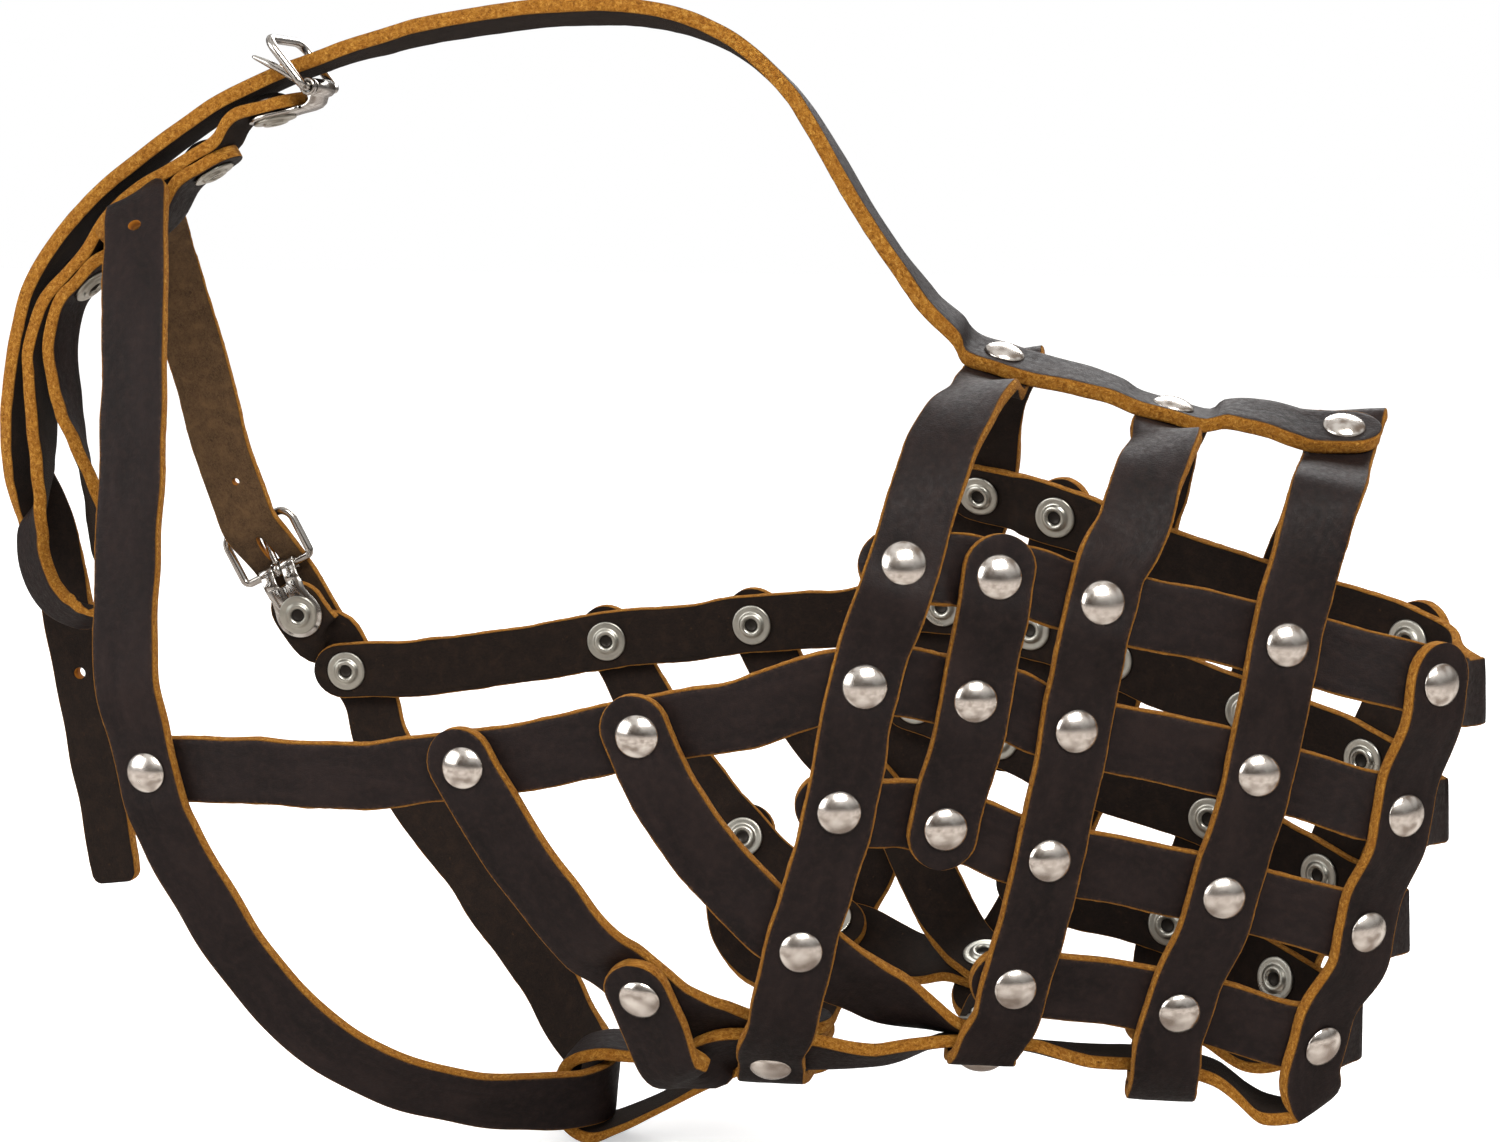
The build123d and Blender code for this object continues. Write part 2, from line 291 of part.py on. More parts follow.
        (96.58, 24.01, -64.78, 0.615, 0.788, -0.03), (90.53, 22.37, -75.7, 0.608, 0.778, -0.16),
        (88.94, 22.03, -83.43, 0.608, 0.778, -0.16), (87.34, 21.68, -91.16, 0.608, 0.778, -0.16),
        (88.16, 19.6, -99.32, 0.622, 0.301, -0.723), (80.21, 16.8, -101.62, 0.099, 0.099, -0.99),
        (69.25, 15.6, -94.29, -0.219, 0.13, -0.967), (57.42, 15.4, -92.58, -0.02, 0.148, -0.989),
        (39.69, 21.5, -92.2, -0.02, 0.158, -0.987), (23.01, 28.42, -90.03, 0.027, 0.311, -0.95),
        (15.57, 31, -89.39, 0.027, 0.311, -0.95), (8.14, 33.58, -88.76, 0.027, 0.311, -0.95),
        (-3.6, 37, -89.87, 0, 0.503, -0.865), (-16.7, 39.57, -85.36, 0.047, 0.671, -0.74),
        (-24.43, 41, -84.55, 0.047, 0.671, -0.74), (-32.16, 42.43, -83.74, 0.047, 0.671, -0.74),
        (-34.8, 42.6, -86.4, -0.151, 0.663, -0.733), (-38, 44.5, -92.4, -0.201, 0.624, -0.755),
        (-44, 47.5, -97, -0.298, 0.745, -0.596), (-51.5, 50.5, -89, -0.15, 0.968, -0.2),
        (-53.5, 52.3, -77, -0.05, 0.994, -0.1), (-52.69, 52.7, -73.41, -0.05, 0.953, -0.3),
        (-51.01, 55.1, -66.08, -0.05, 0.953, -0.3), (-50.67, 55.58, -64.59, -0.05, 0.953, -0.3),
    ],
    # Cheek band to the foot of the rear hoop.
    "right_rear_jaw_strap": [
        (-88.96, -60.72, -20, -0.035, -0.999, 0), (-88.14, -60.75, -21.38, -0.035, -0.999, 0),
        (-84.09, -60.89, -28.16, -0.035, -0.999, 0), (-80, -60.5, -35, -0.04, -0.999, -0.02),
        (-70.5, -59.5, -49, -0.05, -0.994, -0.1), (-60.5, -57, -62, -0.05, -0.966, -0.252),
        (-56.01, -53.28, -66.28, -0.05, -0.953, -0.3), (-50.08, -52, -71.34, -0.05, -0.953, -0.3),
        (-44.15, -50.72, -76.4, -0.05, -0.953, -0.3), (-37.5, -46.5, -79.6, -0.02, -0.853, -0.522),
        (-30.43, -42.32, -82.21, 0.047, -0.671, -0.74), (-23.92, -38.82, -84.98, 0.047, -0.671, -0.74),
        (-22.6, -38.11, -85.54, 0.047, -0.671, -0.74),
    ],
    "left_rear_jaw_strap": [
        (-89.71, 60.72, -13.7, -0.035, 0.999, 0), (-88.91, 60.75, -15.08, -0.035, 0.999, 0),
        (-84.95, 60.89, -21.92, -0.035, 0.999, 0), (-80.63, 60.5, -29.34, -0.04, 0.999, -0.02),
        (-70.92, 59.5, -44.38, -0.05, 0.994, -0.1), (-61.16, 57, -56.27, -0.05, 0.966, -0.252),
        (-56.73, 53.3, -59.99, -0.05, 0.953, -0.3), (-50.85, 52, -65.1, -0.05, 0.953, -0.3),
        (-44.96, 50.7, -70.21, -0.05, 0.953, -0.3), (-38.11, 46.5, -74.3, -0.02, 0.853, -0.522),
        (-30.71, 42.7, -79.01, 0.047, 0.671, -0.74), (-24.58, 38.82, -82.15, 0.047, 0.671, -0.74),
        (-23.34, 38.03, -82.78, 0.047, 0.671, -0.74),
    ],
    # Cheek band, inside the rear hoop, to the foot of the middle hoop.
    "right_front_jaw_strap": [
        (-49.66, -61.24, -10.85, 0.035, -0.999, 0.02), (-48.97, -61.25, -12.3, 0.035, -0.999, 0.02),
        (-45.58, -61.27, -19.43, 0.035, -0.999, 0.02), (-42, -60.9, -27, 0.03, -1, 0),
        (-31.5, -58.6, -42, 0.121, -0.989, -0.081), (-20.49, -57.04, -52.75, 0.24, -0.963, -0.12),
        (-14.87, -55, -57.91, 0.24, -0.963, -0.12), (-9.25, -52.96, -63.07, 0.24, -0.963, -0.12),
        (0, -44.2, -71.2, 0.201, -0.853, -0.482), (15.46, -34.71, -81.13, 0.027, -0.311, -0.95),
        (21.65, -29.99, -82.5, 0.027, -0.311, -0.95), (22.9, -29.03, -82.77, 0.027, -0.311, -0.95),
    ],
    "left_front_jaw_strap": [
        (-50.09, 61.24, -7.73, 0.035, 0.999, 0.02), (-49.4, 61.25, -9.18, 0.035, 0.999, 0.02),
        (-46.02, 61.27, -16.32, 0.035, 0.999, 0.02), (-42.14, 60.9, -24.51, 0.03, 1, 0),
        (-31.17, 58.6, -40, 0.121, 0.989, -0.081), (-19.61, 57.02, -49.18, 0.24, 0.963, -0.12),
        (-14.22, 55, -54.58, 0.24, 0.963, -0.12), (-8.82, 52.98, -59.99, 0.24, 0.963, -0.12),
        (-1.1, 44.2, -70.46, 0.201, 0.853, -0.482), (10.26, 35.66, -84.6, 0.027, 0.311, -0.95),
        (15.49, 29.99, -86.31, 0.027, 0.311, -0.95), (16.55, 28.84, -86.65, 0.027, 0.311, -0.95),
    ],
    # Folded round the throat strap, both ends riveted to the rear hoop.
    "chin_loop": [
        (-25.4, 0, -104.75, 0, 0, -1), (-27, 0, -104.75, 0, 0, -1),
        (-34.9, 0, -104.75, 0, 0, -1), (-44, 0, -109, -0.301, 0, -0.954),
        (-57, 0, -116.8, -0.498, 0, -0.867), (-68.5, 0, -123.4, -0.419, 0, -0.908),
        (-77, 0, -126.6, -0.2, 0, -0.98), (-82.4, 0, -123.4, -0.8, 0, -0.6),
        (-84.2, 0, -115.6, -1, 0, 0), (-81.8, 0, -108.2, -0.751, 0, 0.661),
        (-75, 0, -105, 0, 0, 1), (-65, 0, -104.9, 0.12, 0, 0.993),
        (-51, 0, -102.2, 0.301, 0, 0.954), (-40, 0, -97.6, 0.301, 0, 0.954),
        (-34.9, 0, -95, 0, 0, 1), (-27, 0, -95, 0, 0, 1),
        (-25.4, 0, -95, 0, 0, 1),
    ],
    # Over the three hoops and the head, through the crown buckle, with a free tail.
    "crown_strap": [
        (97.91, 1.32, 49.77, 0.081, -0.454, 0.887), (96.33, 1.09, 49.79, 0.081, -0.454, 0.887),
        (88.51, -0.07, 49.91, 0.081, -0.454, 0.887), (86.2, -0.7, 50.5, 0.229, -0.379, 0.897),
        (81, -0.3, 52.2, 0.223, -0.345, 0.912), (76, 0, 53, 0.05, -0.301, 0.952),
        (70.2, 0, 53.2, 0.1, -0.201, 0.974), (66.53, 0.28, 51.64, 0.241, -0.101, 0.965),
        (58.86, 0.24, 53.56, 0.241, -0.101, 0.965), (51.2, 0.2, 55.47, 0.241, -0.101, 0.965),
        (46.8, 0, 57.7, 0.281, -0.171, 0.944), (38, 0, 60.3, 0.279, -0.249, 0.927),
        (28.36, 0.51, 62.46, 0.269, -0.299, 0.916), (20.8, 0.72, 64.75, 0.269, -0.299, 0.916),
        (13.24, 0.92, 67.03, 0.269, -0.299, 0.916), (10.5, 0, 71.2, 0.52, -0.16, 0.839),
        (3.4, 0, 77.6, 0.705, -0.081, 0.705), (-4.1, 0, 87.2, 0.821, 0, 0.571),
        (-10.4, 0, 96.4, 0.865, 0, 0.503), (-16.4, 0, 106.6, 0.871, 0, 0.491),
        (-22.2, 0, 116, 0.841, 0.04, 0.54), (-28.4, 0, 124.2, 0.758, 0.08, 0.648),
        (-35.8, 0, 131.2, 0.618, 0.12, 0.777), (-43.8, 0, 136.6, 0.474, 0.148, 0.868),
        (-51.8, 0, 140.1, 0.296, 0.178, 0.938), (-61.2, 0, 142.2, -0.128, 0.187, 0.974),
        (-71.9, 0, 143, -0.02, 0.187, 0.982), (-84, 0, 142.7, -0.049, 0.186, 0.981),
        (-98.4, 0.3, 141.6, -0.098, 0.176, 0.979), (-114.7, 0.8, 139.4, -0.169, 0.149, 0.974),
        (-127.2, 1.3, 136.6, -0.249, 0.08, 0.965), (-139.8, 1.5, 133.1, -0.301, 0, 0.954),
        (-148.7, 1.5, 130.3, -0.34, 0, 0.94), (-159.1, 1.2, 126.1, -0.402, 0, 0.915),
        (-168, 0.6, 121.7, -0.471, 0, 0.882), (-181, 0, 113.2, -0.559, 0, 0.829),
        (-195, 0, 103.4, -0.622, 0, 0.783), (-208.1, 0, 91, -0.741, 0, 0.671),
        (-217.2, 0, 77.6, -0.867, 0, 0.498), (-220.13, 0.2, 69.85, -0.953, 0, 0.303),
        (-222.02, 0.6, 62.46, -0.976, 0.029, 0.216), (-223.44, 1.18, 54.77, -0.984, 0.079, 0.161),
        (-224.55, 2.14, 46.25, -0.984, 0.139, 0.11), (-224.98, 3.41, 38.12, -0.969, 0.24, 0.051),
        (-224.61, 5.16, 30.87, -0.933, 0.361, 0.007), (-223.55, 7.38, 23.76, -0.829, 0.558, 0.034),
        (-222.36, 9.42, 15.96, -0.626, 0.777, 0.062), (-221.04, 10.72, 7.1, -0.365, 0.93, 0.031),
        (-219.54, 11.18, -3.3, -0.124, 0.992, 0.008), (-217.59, 11.32, -14.52, -0.049, 0.999, -0.008),
        (-214.98, 11.19, -30.19, -0.027, 0.999, -0.017), (-212.39, 10.93, -45.91, -0.015, 1, -0.025),
        (-210.27, 10.53, -60.02, -0.015, 0.999, -0.028), (-209.03, 10.33, -69.01, -0.016, 1, -0.024),
    ],
    # Carries the crown buckle, holds the neck strap in its fold, hangs down as a collar loop.
    "crown_loop_strap": [
        (-151.87, 0, 122.39, -0.235, 0, 0.972), (-154.3, 0, 121.8, -0.235, 0, 0.972),
        (-161.01, 0, 120.18, -0.235, 0, 0.972), (-163.5, 0, 118.2, -0.423, 0, 0.906),
        (-166.22, 0, 114.05, -0.5, 0, 0.866), (-172.2, 0, 110.6, -0.5, 0, 0.866),
        (-178.18, 0, 107.15, -0.5, 0, 0.866), (-184.6, 0, 103.8, -0.552, 0, 0.834),
        (-195.5, 0, 95.6, -0.622, 0, 0.783), (-201.07, 0, 87.63, -0.7, 0, 0.714),
        (-206, 0, 82.8, -0.7, 0, 0.714), (-210.93, 0, 77.97, -0.7, 0, 0.714),
        (-213.4, 0, 74.3, -0.865, 0, 0.503), (-217.6, 0, 63, -0.975, 0, 0.221),
        (-217.31, -0.8, 55.29, -0.999, -0.03, -0.031), (-216.97, -1.85, 44.35, -0.993, -0.12, -0.007),
        (-216.93, -2.73, 34.59, -0.964, -0.261, 0.051), (-217.59, -3.16, 25.94, -0.885, -0.433, 0.172),
        (-219.57, -4.26, 17.15, -0.619, -0.779, 0.096), (-218.68, -4.31, 9.5, -0.55, -0.82, -0.16),
        (-215.35, -4.23, 2.52, -0.45, -0.803, -0.39), (-210.07, -3.87, -1.35, -0.24, -0.688, -0.685),
        (-204.77, -3.54, -1.88, 0.229, -0.401, -0.887), (-200.78, -3.44, 0.85, 0.822, 0.236, -0.518),
        (-199.31, -3.86, 6.64, 0.797, 0.604, -0.009), (-199.75, -4.6, 14.16, 0.687, 0.717, 0.121),
        (-201.39, -4.47, 22.02, 0.706, 0.696, 0.127), (-203.48, -3.72, 30.06, 0.799, 0.572, 0.185),
        (-206.88, -2.54, 39.72, 0.885, 0.385, 0.261), (-209.58, -1.43, 47.41, 0.95, 0.194, 0.245),
        (-211.14, -0.51, 54.64, 0.996, 0.06, 0.063), (-211.7, 0, 65.5, 0.98, 0, -0.201),
        (-208.65, 0, 75.65, 0.7, 0, -0.714), (-203.72, 0, 80.48, 0.7, 0, -0.714),
        (-198.8, 0, 85.31, 0.7, 0, -0.714), (-192.6, 0, 88.4, 0.622, 0, -0.783),
        (-181.8, 0, 96.4, 0.552, 0, -0.834), (-176.55, 0, 104.34, 0.5, 0, -0.866),
        (-170.57, 0, 107.79, 0.5, 0, -0.866), (-169.19, 0, 108.59, 0.5, 0, -0.866),
    ],
    # From the neck buckle round the throat, up the right side, over the nape, to the buckle.
    "neck_throat_strap": [
        (-172.37, 49.86, -8.34, -0.101, 0.992, 0.073), (-171.8, 50, -9.5, -0.101, 0.992, 0.073),
        (-167.15, 50.94, -15.82, -0.101, 0.992, 0.073), (-165.02, 55.41, -16.93, -0.07, 0.998, 0),
        (-160.21, 55.74, -25.11, -0.07, 0.998, 0), (-155.4, 56.08, -33.3, -0.07, 0.998, 0),
        (-151.5, 53.7, -44.3, -0.1, 0.995, 0), (-138.3, 47.5, -59.5, -0.081, 0.997, 0),
        (-123.7, 42, -74, -0.051, 0.987, -0.153), (-110.9, 36, -87.2, 0, 0.967, -0.254),
        (-98.4, 28.5, -97.5, 0.051, 0.95, -0.307), (-88, 20, -108.2, 0.202, 0.938, -0.282),
        (-79, 11, -113.6, 0.45, 0.88, -0.15), (-74.3, 5.4, -115.4, 0.849, 0.519, -0.1),
        (-73, 0, -115.8, 0.997, 0, -0.08), (-74.3, -5.4, -115.7, 0.849, -0.519, -0.1),
        (-79.4, -11.2, -115.5, 0.497, -0.855, -0.149), (-89, -18, -113.8, 0.252, -0.947, -0.201),
        (-102, -27.8, -110.2, 0.061, -0.963, -0.263), (-117.5, -36.5, -103.2, 0, -0.979, -0.202),
        (-132.8, -43.5, -90.8, -0.04, -0.992, -0.121), (-145.8, -48, -74.2, -0.05, -0.997, -0.05),
        (-155.5, -51.6, -56, -0.06, -0.998, 0), (-161.2, -54.5, -42, -0.07, -0.998, 0),
        (-162.94, -55.88, -36.28, -0.07, -0.998, 0), (-164.98, -55.74, -27.52, -0.07, -0.998, 0),
        (-167.03, -55.6, -18.75, -0.07, -0.998, 0), (-169.5, -55.9, -7, -0.02, -1, 0.02),
        (-170, -53.4, 11.3, 0.02, -0.997, 0.071), (-169.9, -49.2, 33.5, 0.051, -0.99, 0.131),
        (-170.9, -44.6, 51.1, 0.061, -0.977, 0.204), (-172.9, -38.5, 67.6, 0.081, -0.955, 0.285),
        (-176.1, -30.5, 82, 0.082, -0.918, 0.388), (-179.8, -21.5, 93.7, 0.051, -0.818, 0.573),
        (-183.2, -13.4, 100.6, -0.183, -0.507, 0.842), (-190.2, -6.6, 95.2, -0.588, -0.06, 0.807),
        (-188.6, 0, 96, -0.6, 0, 0.8), (-189.6, 7, 94.7, -0.574, 0.141, 0.806),
        (-192.2, 18, 87.8, -0.48, 0.6, 0.64), (-193.4, 28.5, 73.8, -0.361, 0.851, 0.381),
        (-192.2, 36.6, 57, -0.252, 0.947, 0.201), (-190.4, 41.4, 40.1, -0.171, 0.978, 0.121),
        (-187.71, 43.81, 26.76, -0.101, 0.992, 0.073), (-185.41, 44.33, 20.11, -0.101, 0.992, 0.073),
        (-183.5, 45.14, 14.42, -0.178, 0.957, 0.229), (-180.93, 48.73, 8.84, -0.288, 0.838, 0.463),
        (-178, 53.23, 2.42, -0.205, 0.936, 0.286), (-175.04, 55.19, -3.73, -0.101, 0.992, 0.073),
        (-172.41, 55.95, -9.06, -0.101, 0.992, 0.073), (-170.22, 56.6, -13.51, -0.101, 0.992, 0.073),
    ],
}

# ---------------------------------------------------------------- rivet places
# Name: (point, outward direction, lowest layer, highest layer), layers counted in PITCH
# from the point. _r and _l are the right and left sides. A, B and C are the rear, middle
# and front hoops and D the chin straps' front legs, numbered downwards; S the side ties,
# E the neck strap, F and G the rear and front jaw straps' tops, K the chin straps' rear
# ends. T and B before a hoop's letter are its top and bottom. L is the crown loop strap,
# NB the neck buckle.
RIVETS = {
    "E_r": ((-164.76, -52.5, -27.52), (-0.07, -0.998, 0), 0, 1),
    "E_l": ((-159.98, 52.5, -25.11), (-0.07, 0.998, 0), 0, 1),
    "F_r": ((-88.02, -57.5, -21.38), (-0.035, -0.999, 0), 0, 1),
    "F_l": ((-88.8, 57.5, -15.08), (-0.035, 0.999, 0), 0, 1),
    "G_r": ((-49.08, -58, -12.36), (0.035, -0.999, 0.02), 0, 1),
    "G_l": ((-49.52, 58, -9.24), (0.035, 0.999, 0.02), 0, 1),
    "A1_r": ((6.75, -57, 25.47), (0.231, -0.926, 0.3), 0, 1),
    "A1_l": ((9.49, 57, 26.72), (0.231, 0.926, 0.3), 0, 1),
    "A2_r": ((-0.87, -57.5, 0.4), (0.242, -0.97, 0.04), 0, 1),
    "A2_l": ((0.44, 57.5, -2.44), (0.242, 0.97, 0.04), 0, 1),
    "A3_r": ((-6.65, -56, -26.86), (0.242, -0.969, -0.05), 0, 1),
    "A3_l": ((-6.15, 56, -27.95), (0.242, 0.969, -0.05), 0, 1),
    "A4_r": ((-14.87, -55, -57.91), (0.24, -0.963, -0.12), 0, 1),
    "A4_l": ((-14.22, 55, -54.58), (0.24, 0.963, -0.12), 0, 1),
    "A5_r": ((-23.76, -41, -87.38), (0.047, -0.671, -0.74), -1, 1),
    "A5_l": ((-24.43, 41, -84.55), (0.047, 0.671, -0.74), -1, 1),
    "S1_r": ((25.66, -50.5, 22.94), (0.291, -0.952, 0.1), 0, 1),
    "S1_l": ((29.43, 50.5, 22.37), (0.291, 0.952, 0.1), 0, 1),
    "S2_r": ((20.97, -49.5, -3.01), (0.292, -0.956, 0), 0, 1),
    "S2_l": ((23.88, 49.5, -6.14), (0.292, 0.956, 0), 0, 1),
    "S3_r": ((14.63, -48, -31.33), (0.292, -0.956, -0.03), 0, 1),
    "S3_l": ((16.76, 48, -34.22), (0.292, 0.956, -0.03), 0, 1),
    "B1_r": ((46.28, -43.5, 17.05), (0.339, -0.93, 0.14), 0, 1),
    "B1_l": ((50.14, 43.5, 15.88), (0.339, 0.93, 0.14), 0, 1),
    "B2_r": ((41.21, -42.5, -10.22), (0.342, -0.94, 0), 0, 1),
    "B2_l": ((44.94, 42.5, -11.67), (0.342, 0.94, 0), 0, 1),
    "B3_r": ((36.03, -41.5, -38.9), (0.342, -0.94, -0.02), 0, 1),
    "B3_l": ((37.1, 41.5, -40.51), (0.342, 0.94, -0.02), 0, 1),
    "B4_r": ((29.22, -40.5, -67.78), (0.34, -0.933, -0.12), 0, 1),
    "B4_l": ((25.51, 40.5, -69.98), (0.34, 0.933, -0.12), 0, 1),
    "B5_r": ((21.74, -31, -85.59), (0.027, -0.311, -0.95), -1, 1),
    "B5_l": ((15.57, 31, -89.39), (0.027, 0.311, -0.95), -1, 1),
    "C1_r": ((84.21, -30, 7.35), (0.291, -0.953, 0.08), 0, 1),
    "C1_l": ((84.42, 30, 7.21), (0.291, 0.953, 0.08), 0, 1),
    "C2_r": ((79.37, -30, -20.71), (0.292, -0.956, 0), 0, 1),
    "C2_l": ((77.62, 30, -20.52), (0.292, 0.956, 0), 0, 1),
    "C3_r": ((72.91, -29.5, -48.16), (0.292, -0.956, -0.03), 0, 1),
    "C3_l": ((69.7, 29.5, -47.11), (0.292, 0.956, -0.03), 0, 1),
    "C4_r": ((64.1, -29, -74.41), (0.291, -0.952, -0.1), 0, 1),
    "C4_l": ((60.82, 29, -74.12), (0.291, 0.952, -0.1), 0, 1),
    "D1_r": ((114.93, -22, -1.32), (0.615, -0.788, 0.03), 0, 1),
    "D1_l": ((114.03, 22, -0.53), (0.615, 0.788, 0.03), 0, 1),
    "D2_r": ((109.01, -21.5, -30.13), (0.616, -0.788, 0), 0, 1),
    "D2_l": ((105.08, 21.5, -29.03), (0.616, 0.788, 0), 0, 1),
    "D3_r": ((102.2, -20.5, -56.5), (0.615, -0.788, -0.03), 0, 1),
    "D3_l": ((96.17, 20.5, -57), (0.615, 0.788, -0.03), 0, 1),
    "D4_r": ((93.55, -19.5, -82.9), (0.608, -0.778, -0.16), 0, 1),
    "D4_l": ((86.96, 19.5, -82.91), (0.608, 0.778, -0.16), 0, 1),
    "K_r": ((-50.08, -52, -71.34), (-0.05, -0.953, -0.3), 0, 1),
    "K_l": ((-50.85, 52, -65.1), (-0.05, 0.953, -0.3), 0, 1),
    "TA": ((19.93, 1.69, 61.77), (0.269, -0.299, 0.916), 0, 1),
    "TB": ((58.08, 0.57, 50.42), (0.241, -0.101, 0.965), 0, 1),
    "TC": ((96.07, 2.56, 46.91), (0.081, -0.454, 0.887), 0, 1),
    "BA": ((-27, 0, -101.5), (0, 0, -1), -2, 1),
    "BB": ((21, 0, -94.5), (0, 0, -1), -1, 0),
    "BC": ((60.5, 0, -101.4), (0, 0, -1), -1, 0),
    "L0": ((-154.3, 0, 121.8), (-0.235, 0, 0.972), 0, 0),
    "L1": ((-172.2, 0, 110.6), (-0.5, 0, 0.866), -1, 0),
    "L2": ((-206, 0, 82.8), (-0.7, 0, 0.714), -1, 0),
    "NB": ((-171.8, 50, -9.5), (-0.101, 0.992, 0.072), 0, 0),
}


def sided(stems, sides="lr"):
    """Rivet names for each stem on each of the given sides."""
    return [f"{stem}_{side}" for stem in stems.split() for side in sides]


# The rivets that pass through each strap.
STRAP_RIVETS = {
    "upper_side_band": sided("A1 B1 C1 D1 S1"),
    "cheek_band": sided("A2 B2 C2 D2 E F G S2"),
    "lower_side_band": sided("A3 B3 C3 D3 S3"),
    "jaw_band": sided("B4 C4 D4"),
    "rear_hoop": sided("A1 A2 A3 A4 A5") + ["BA", "TA"],
    "middle_hoop": sided("B1 B2 B3 B4 B5") + ["BB", "TB"],
    "front_hoop": ["BC"] + sided("C1 C2 C3 C4") + ["TC"],
    "right_side_tie": sided("S1 S2 S3", "r"),
    "left_side_tie": sided("S1 S2 S3", "l"),
    "right_chin_strap": sided("A5 B5 D1 D2 D3 D4 K", "r"),
    "left_chin_strap": sided("A5 B5 D1 D2 D3 D4 K", "l"),
    "right_rear_jaw_strap": sided("A5 F K", "r"),
    "left_rear_jaw_strap": sided("A5 F K", "l"),
    "right_front_jaw_strap": sided("A4 B5 G", "r"),
    "left_front_jaw_strap": sided("A4 B5 G", "l"),
    "chin_loop": ["BA"],
    "crown_strap": ["TA", "TB", "TC"],
    "crown_loop_strap": ["L0", "L1", "L2"],
    "neck_throat_strap": ["E_l", "E_r", "NB"],
}
# Punched holes off the rivets: (point, direction).
ADJUST_HOLES = {
    "neck_throat_strap": [((-179.6, -21.6, 93.5), (0.05, -0.80, 0.56)),
                          ((-186.3, 43.6, 26.4), (-0.13, 0.98, 0.09))],
    "crown_strap": [((-216.0, 11.3, -20.0), (-0.04, 1.0, -0.02))],
}


# ---------------------------------------------------------------- strap geometry
def blend(start, end, t, t_start, t_end):
    """Straight-line blend of two points over a knot span."""
    span = t_end - t_start
    return start * ((t_end - t) / span) + end * ((t - t_start) / span)


def spline_point(points, knots, t):
    """Catmull-Rom point between the middle two of four points."""
    first = [blend(points[i], points[i + 1], t, knots[i], knots[i + 1]) for i in range(3)]
    second = [blend(first[i], first[i + 1], t, knots[i], knots[i + 2]) for i in range(2)]
    return blend(second[0], second[1], t, knots[1], knots[2])


def strap_frames(name):
    """Cross-section frames (point, normal, tangent, width direction) along a strap."""
    stations = [(Vector(*s[:3]), Vector(*s[3:6]).normalized(), bool(s[6:]))
                for s in STATIONS[name]]
    run = []
    for i in range(len(stations) - 1):
        start, start_normal, start_crease = stations[i]
        end, end_normal, end_crease = stations[i + 1]
        # the curve does not look past a crease or an end of the strap
        before = stations[i - 1][0] if i > 0 and not start_crease else start + (start - end)
        has_next = i < len(stations) - 2 and not end_crease
        after = stations[i + 2][0] if has_next else end + (end - start)
        points = [before, start, end, after]
        knots = [0.0]
        for j in range(3):
            gap = (points[j + 1] - points[j]).length
            knots.append(knots[-1] + max(MIN_KNOT_LEN, gap) ** 0.5)
        count = max(1, int(round((end - start).length / STATION_STEP)))
        for j in range(count):
            t = knots[1] + (knots[2] - knots[1]) * j / count
            normal = (start_normal * (1 - j / count) + end_normal * (j / count)).normalized()
            run.append((spline_point(points, knots, t), normal))
    run.append(stations[-1][:2])
    frames = []
    for i, (point, normal) in enumerate(run):
        chord = run[min(len(run) - 1, i + 1)][0] - run[max(0, i - 1)][0]
        tangent = chord.normalized()
        tangent = (tangent - normal * tangent.dot(normal)).normalized()
        frames.append((point, normal, tangent, tangent.cross(normal)))
    return frames


def lay_strap(name):
    """Lofts the strap through its cross sections, rounds both ends, punches rivet holes."""
    run = strap_frames(name)
    full = HEAD_STRAP_W if name in ("crown_strap", "crown_loop_strap") else STRAP_W
    stack = [(point, tangent, across, full) for point, _, tangent, across in run]
    for angle in END_STEPS:
        reach = full / 2 * math.sin(math.radians(angle))
        width = full * math.cos(math.radians(angle))
        point, _, tangent, across = run[0]
        stack.insert(0, (point - tangent * reach, tangent, across, width))
        point, _, tangent, across = run[-1]
        stack.append((point + tangent * reach, tangent, across, width))
    outlines = []
    for point, tangent, across, width in stack:
        with BuildSketch(Plane(origin=point, x_dir=across, z_dir=tangent)) as outline:
            Rectangle(width, STRAP_T)
        outlines.append(outline.sketch)
    loft(outlines, ruled=True)
    for rivet in STRAP_RIVETS[name]:
        point, normal, low, high = RIVETS[rivet]
        punch(Vector(*point), Vector(*normal), HOLE_R,
              low * PITCH - HOLE_OVERRUN, high * PITCH + HOLE_OVERRUN)


def punch(point, normal, radius, low, high):
    """A round hole along the normal, from low to high beside the point."""
    with BuildSketch(Plane(origin=point + normal * low, z_dir=normal)) as hole:
        Circle(radius)
    extrude(hole.sketch, amount=high - low, mode=Mode.SUBTRACT)


# ---------------------------------------------------------------- rivet geometry
def side_plane(point, axis):
    """The plane that holds the axis, with the axis as its own Y direction."""
    helper = Vector(0, 0, 1) if abs(axis.Z) < 0.9 else Vector(1, 0, 0)
    x_dir = helper.cross(axis).normalized()
    return Plane(origin=point, x_dir=x_dir, z_dir=x_dir.cross(axis))


def rivet_underside(name):
    """Height of the back flange's upper face beside the rivet's point."""
    low = RIVETS[name][2]
    return low * PITCH - STRAP_T / 2 - RIVET_AIR - CHAPE_STACK.get(name, 0.0)


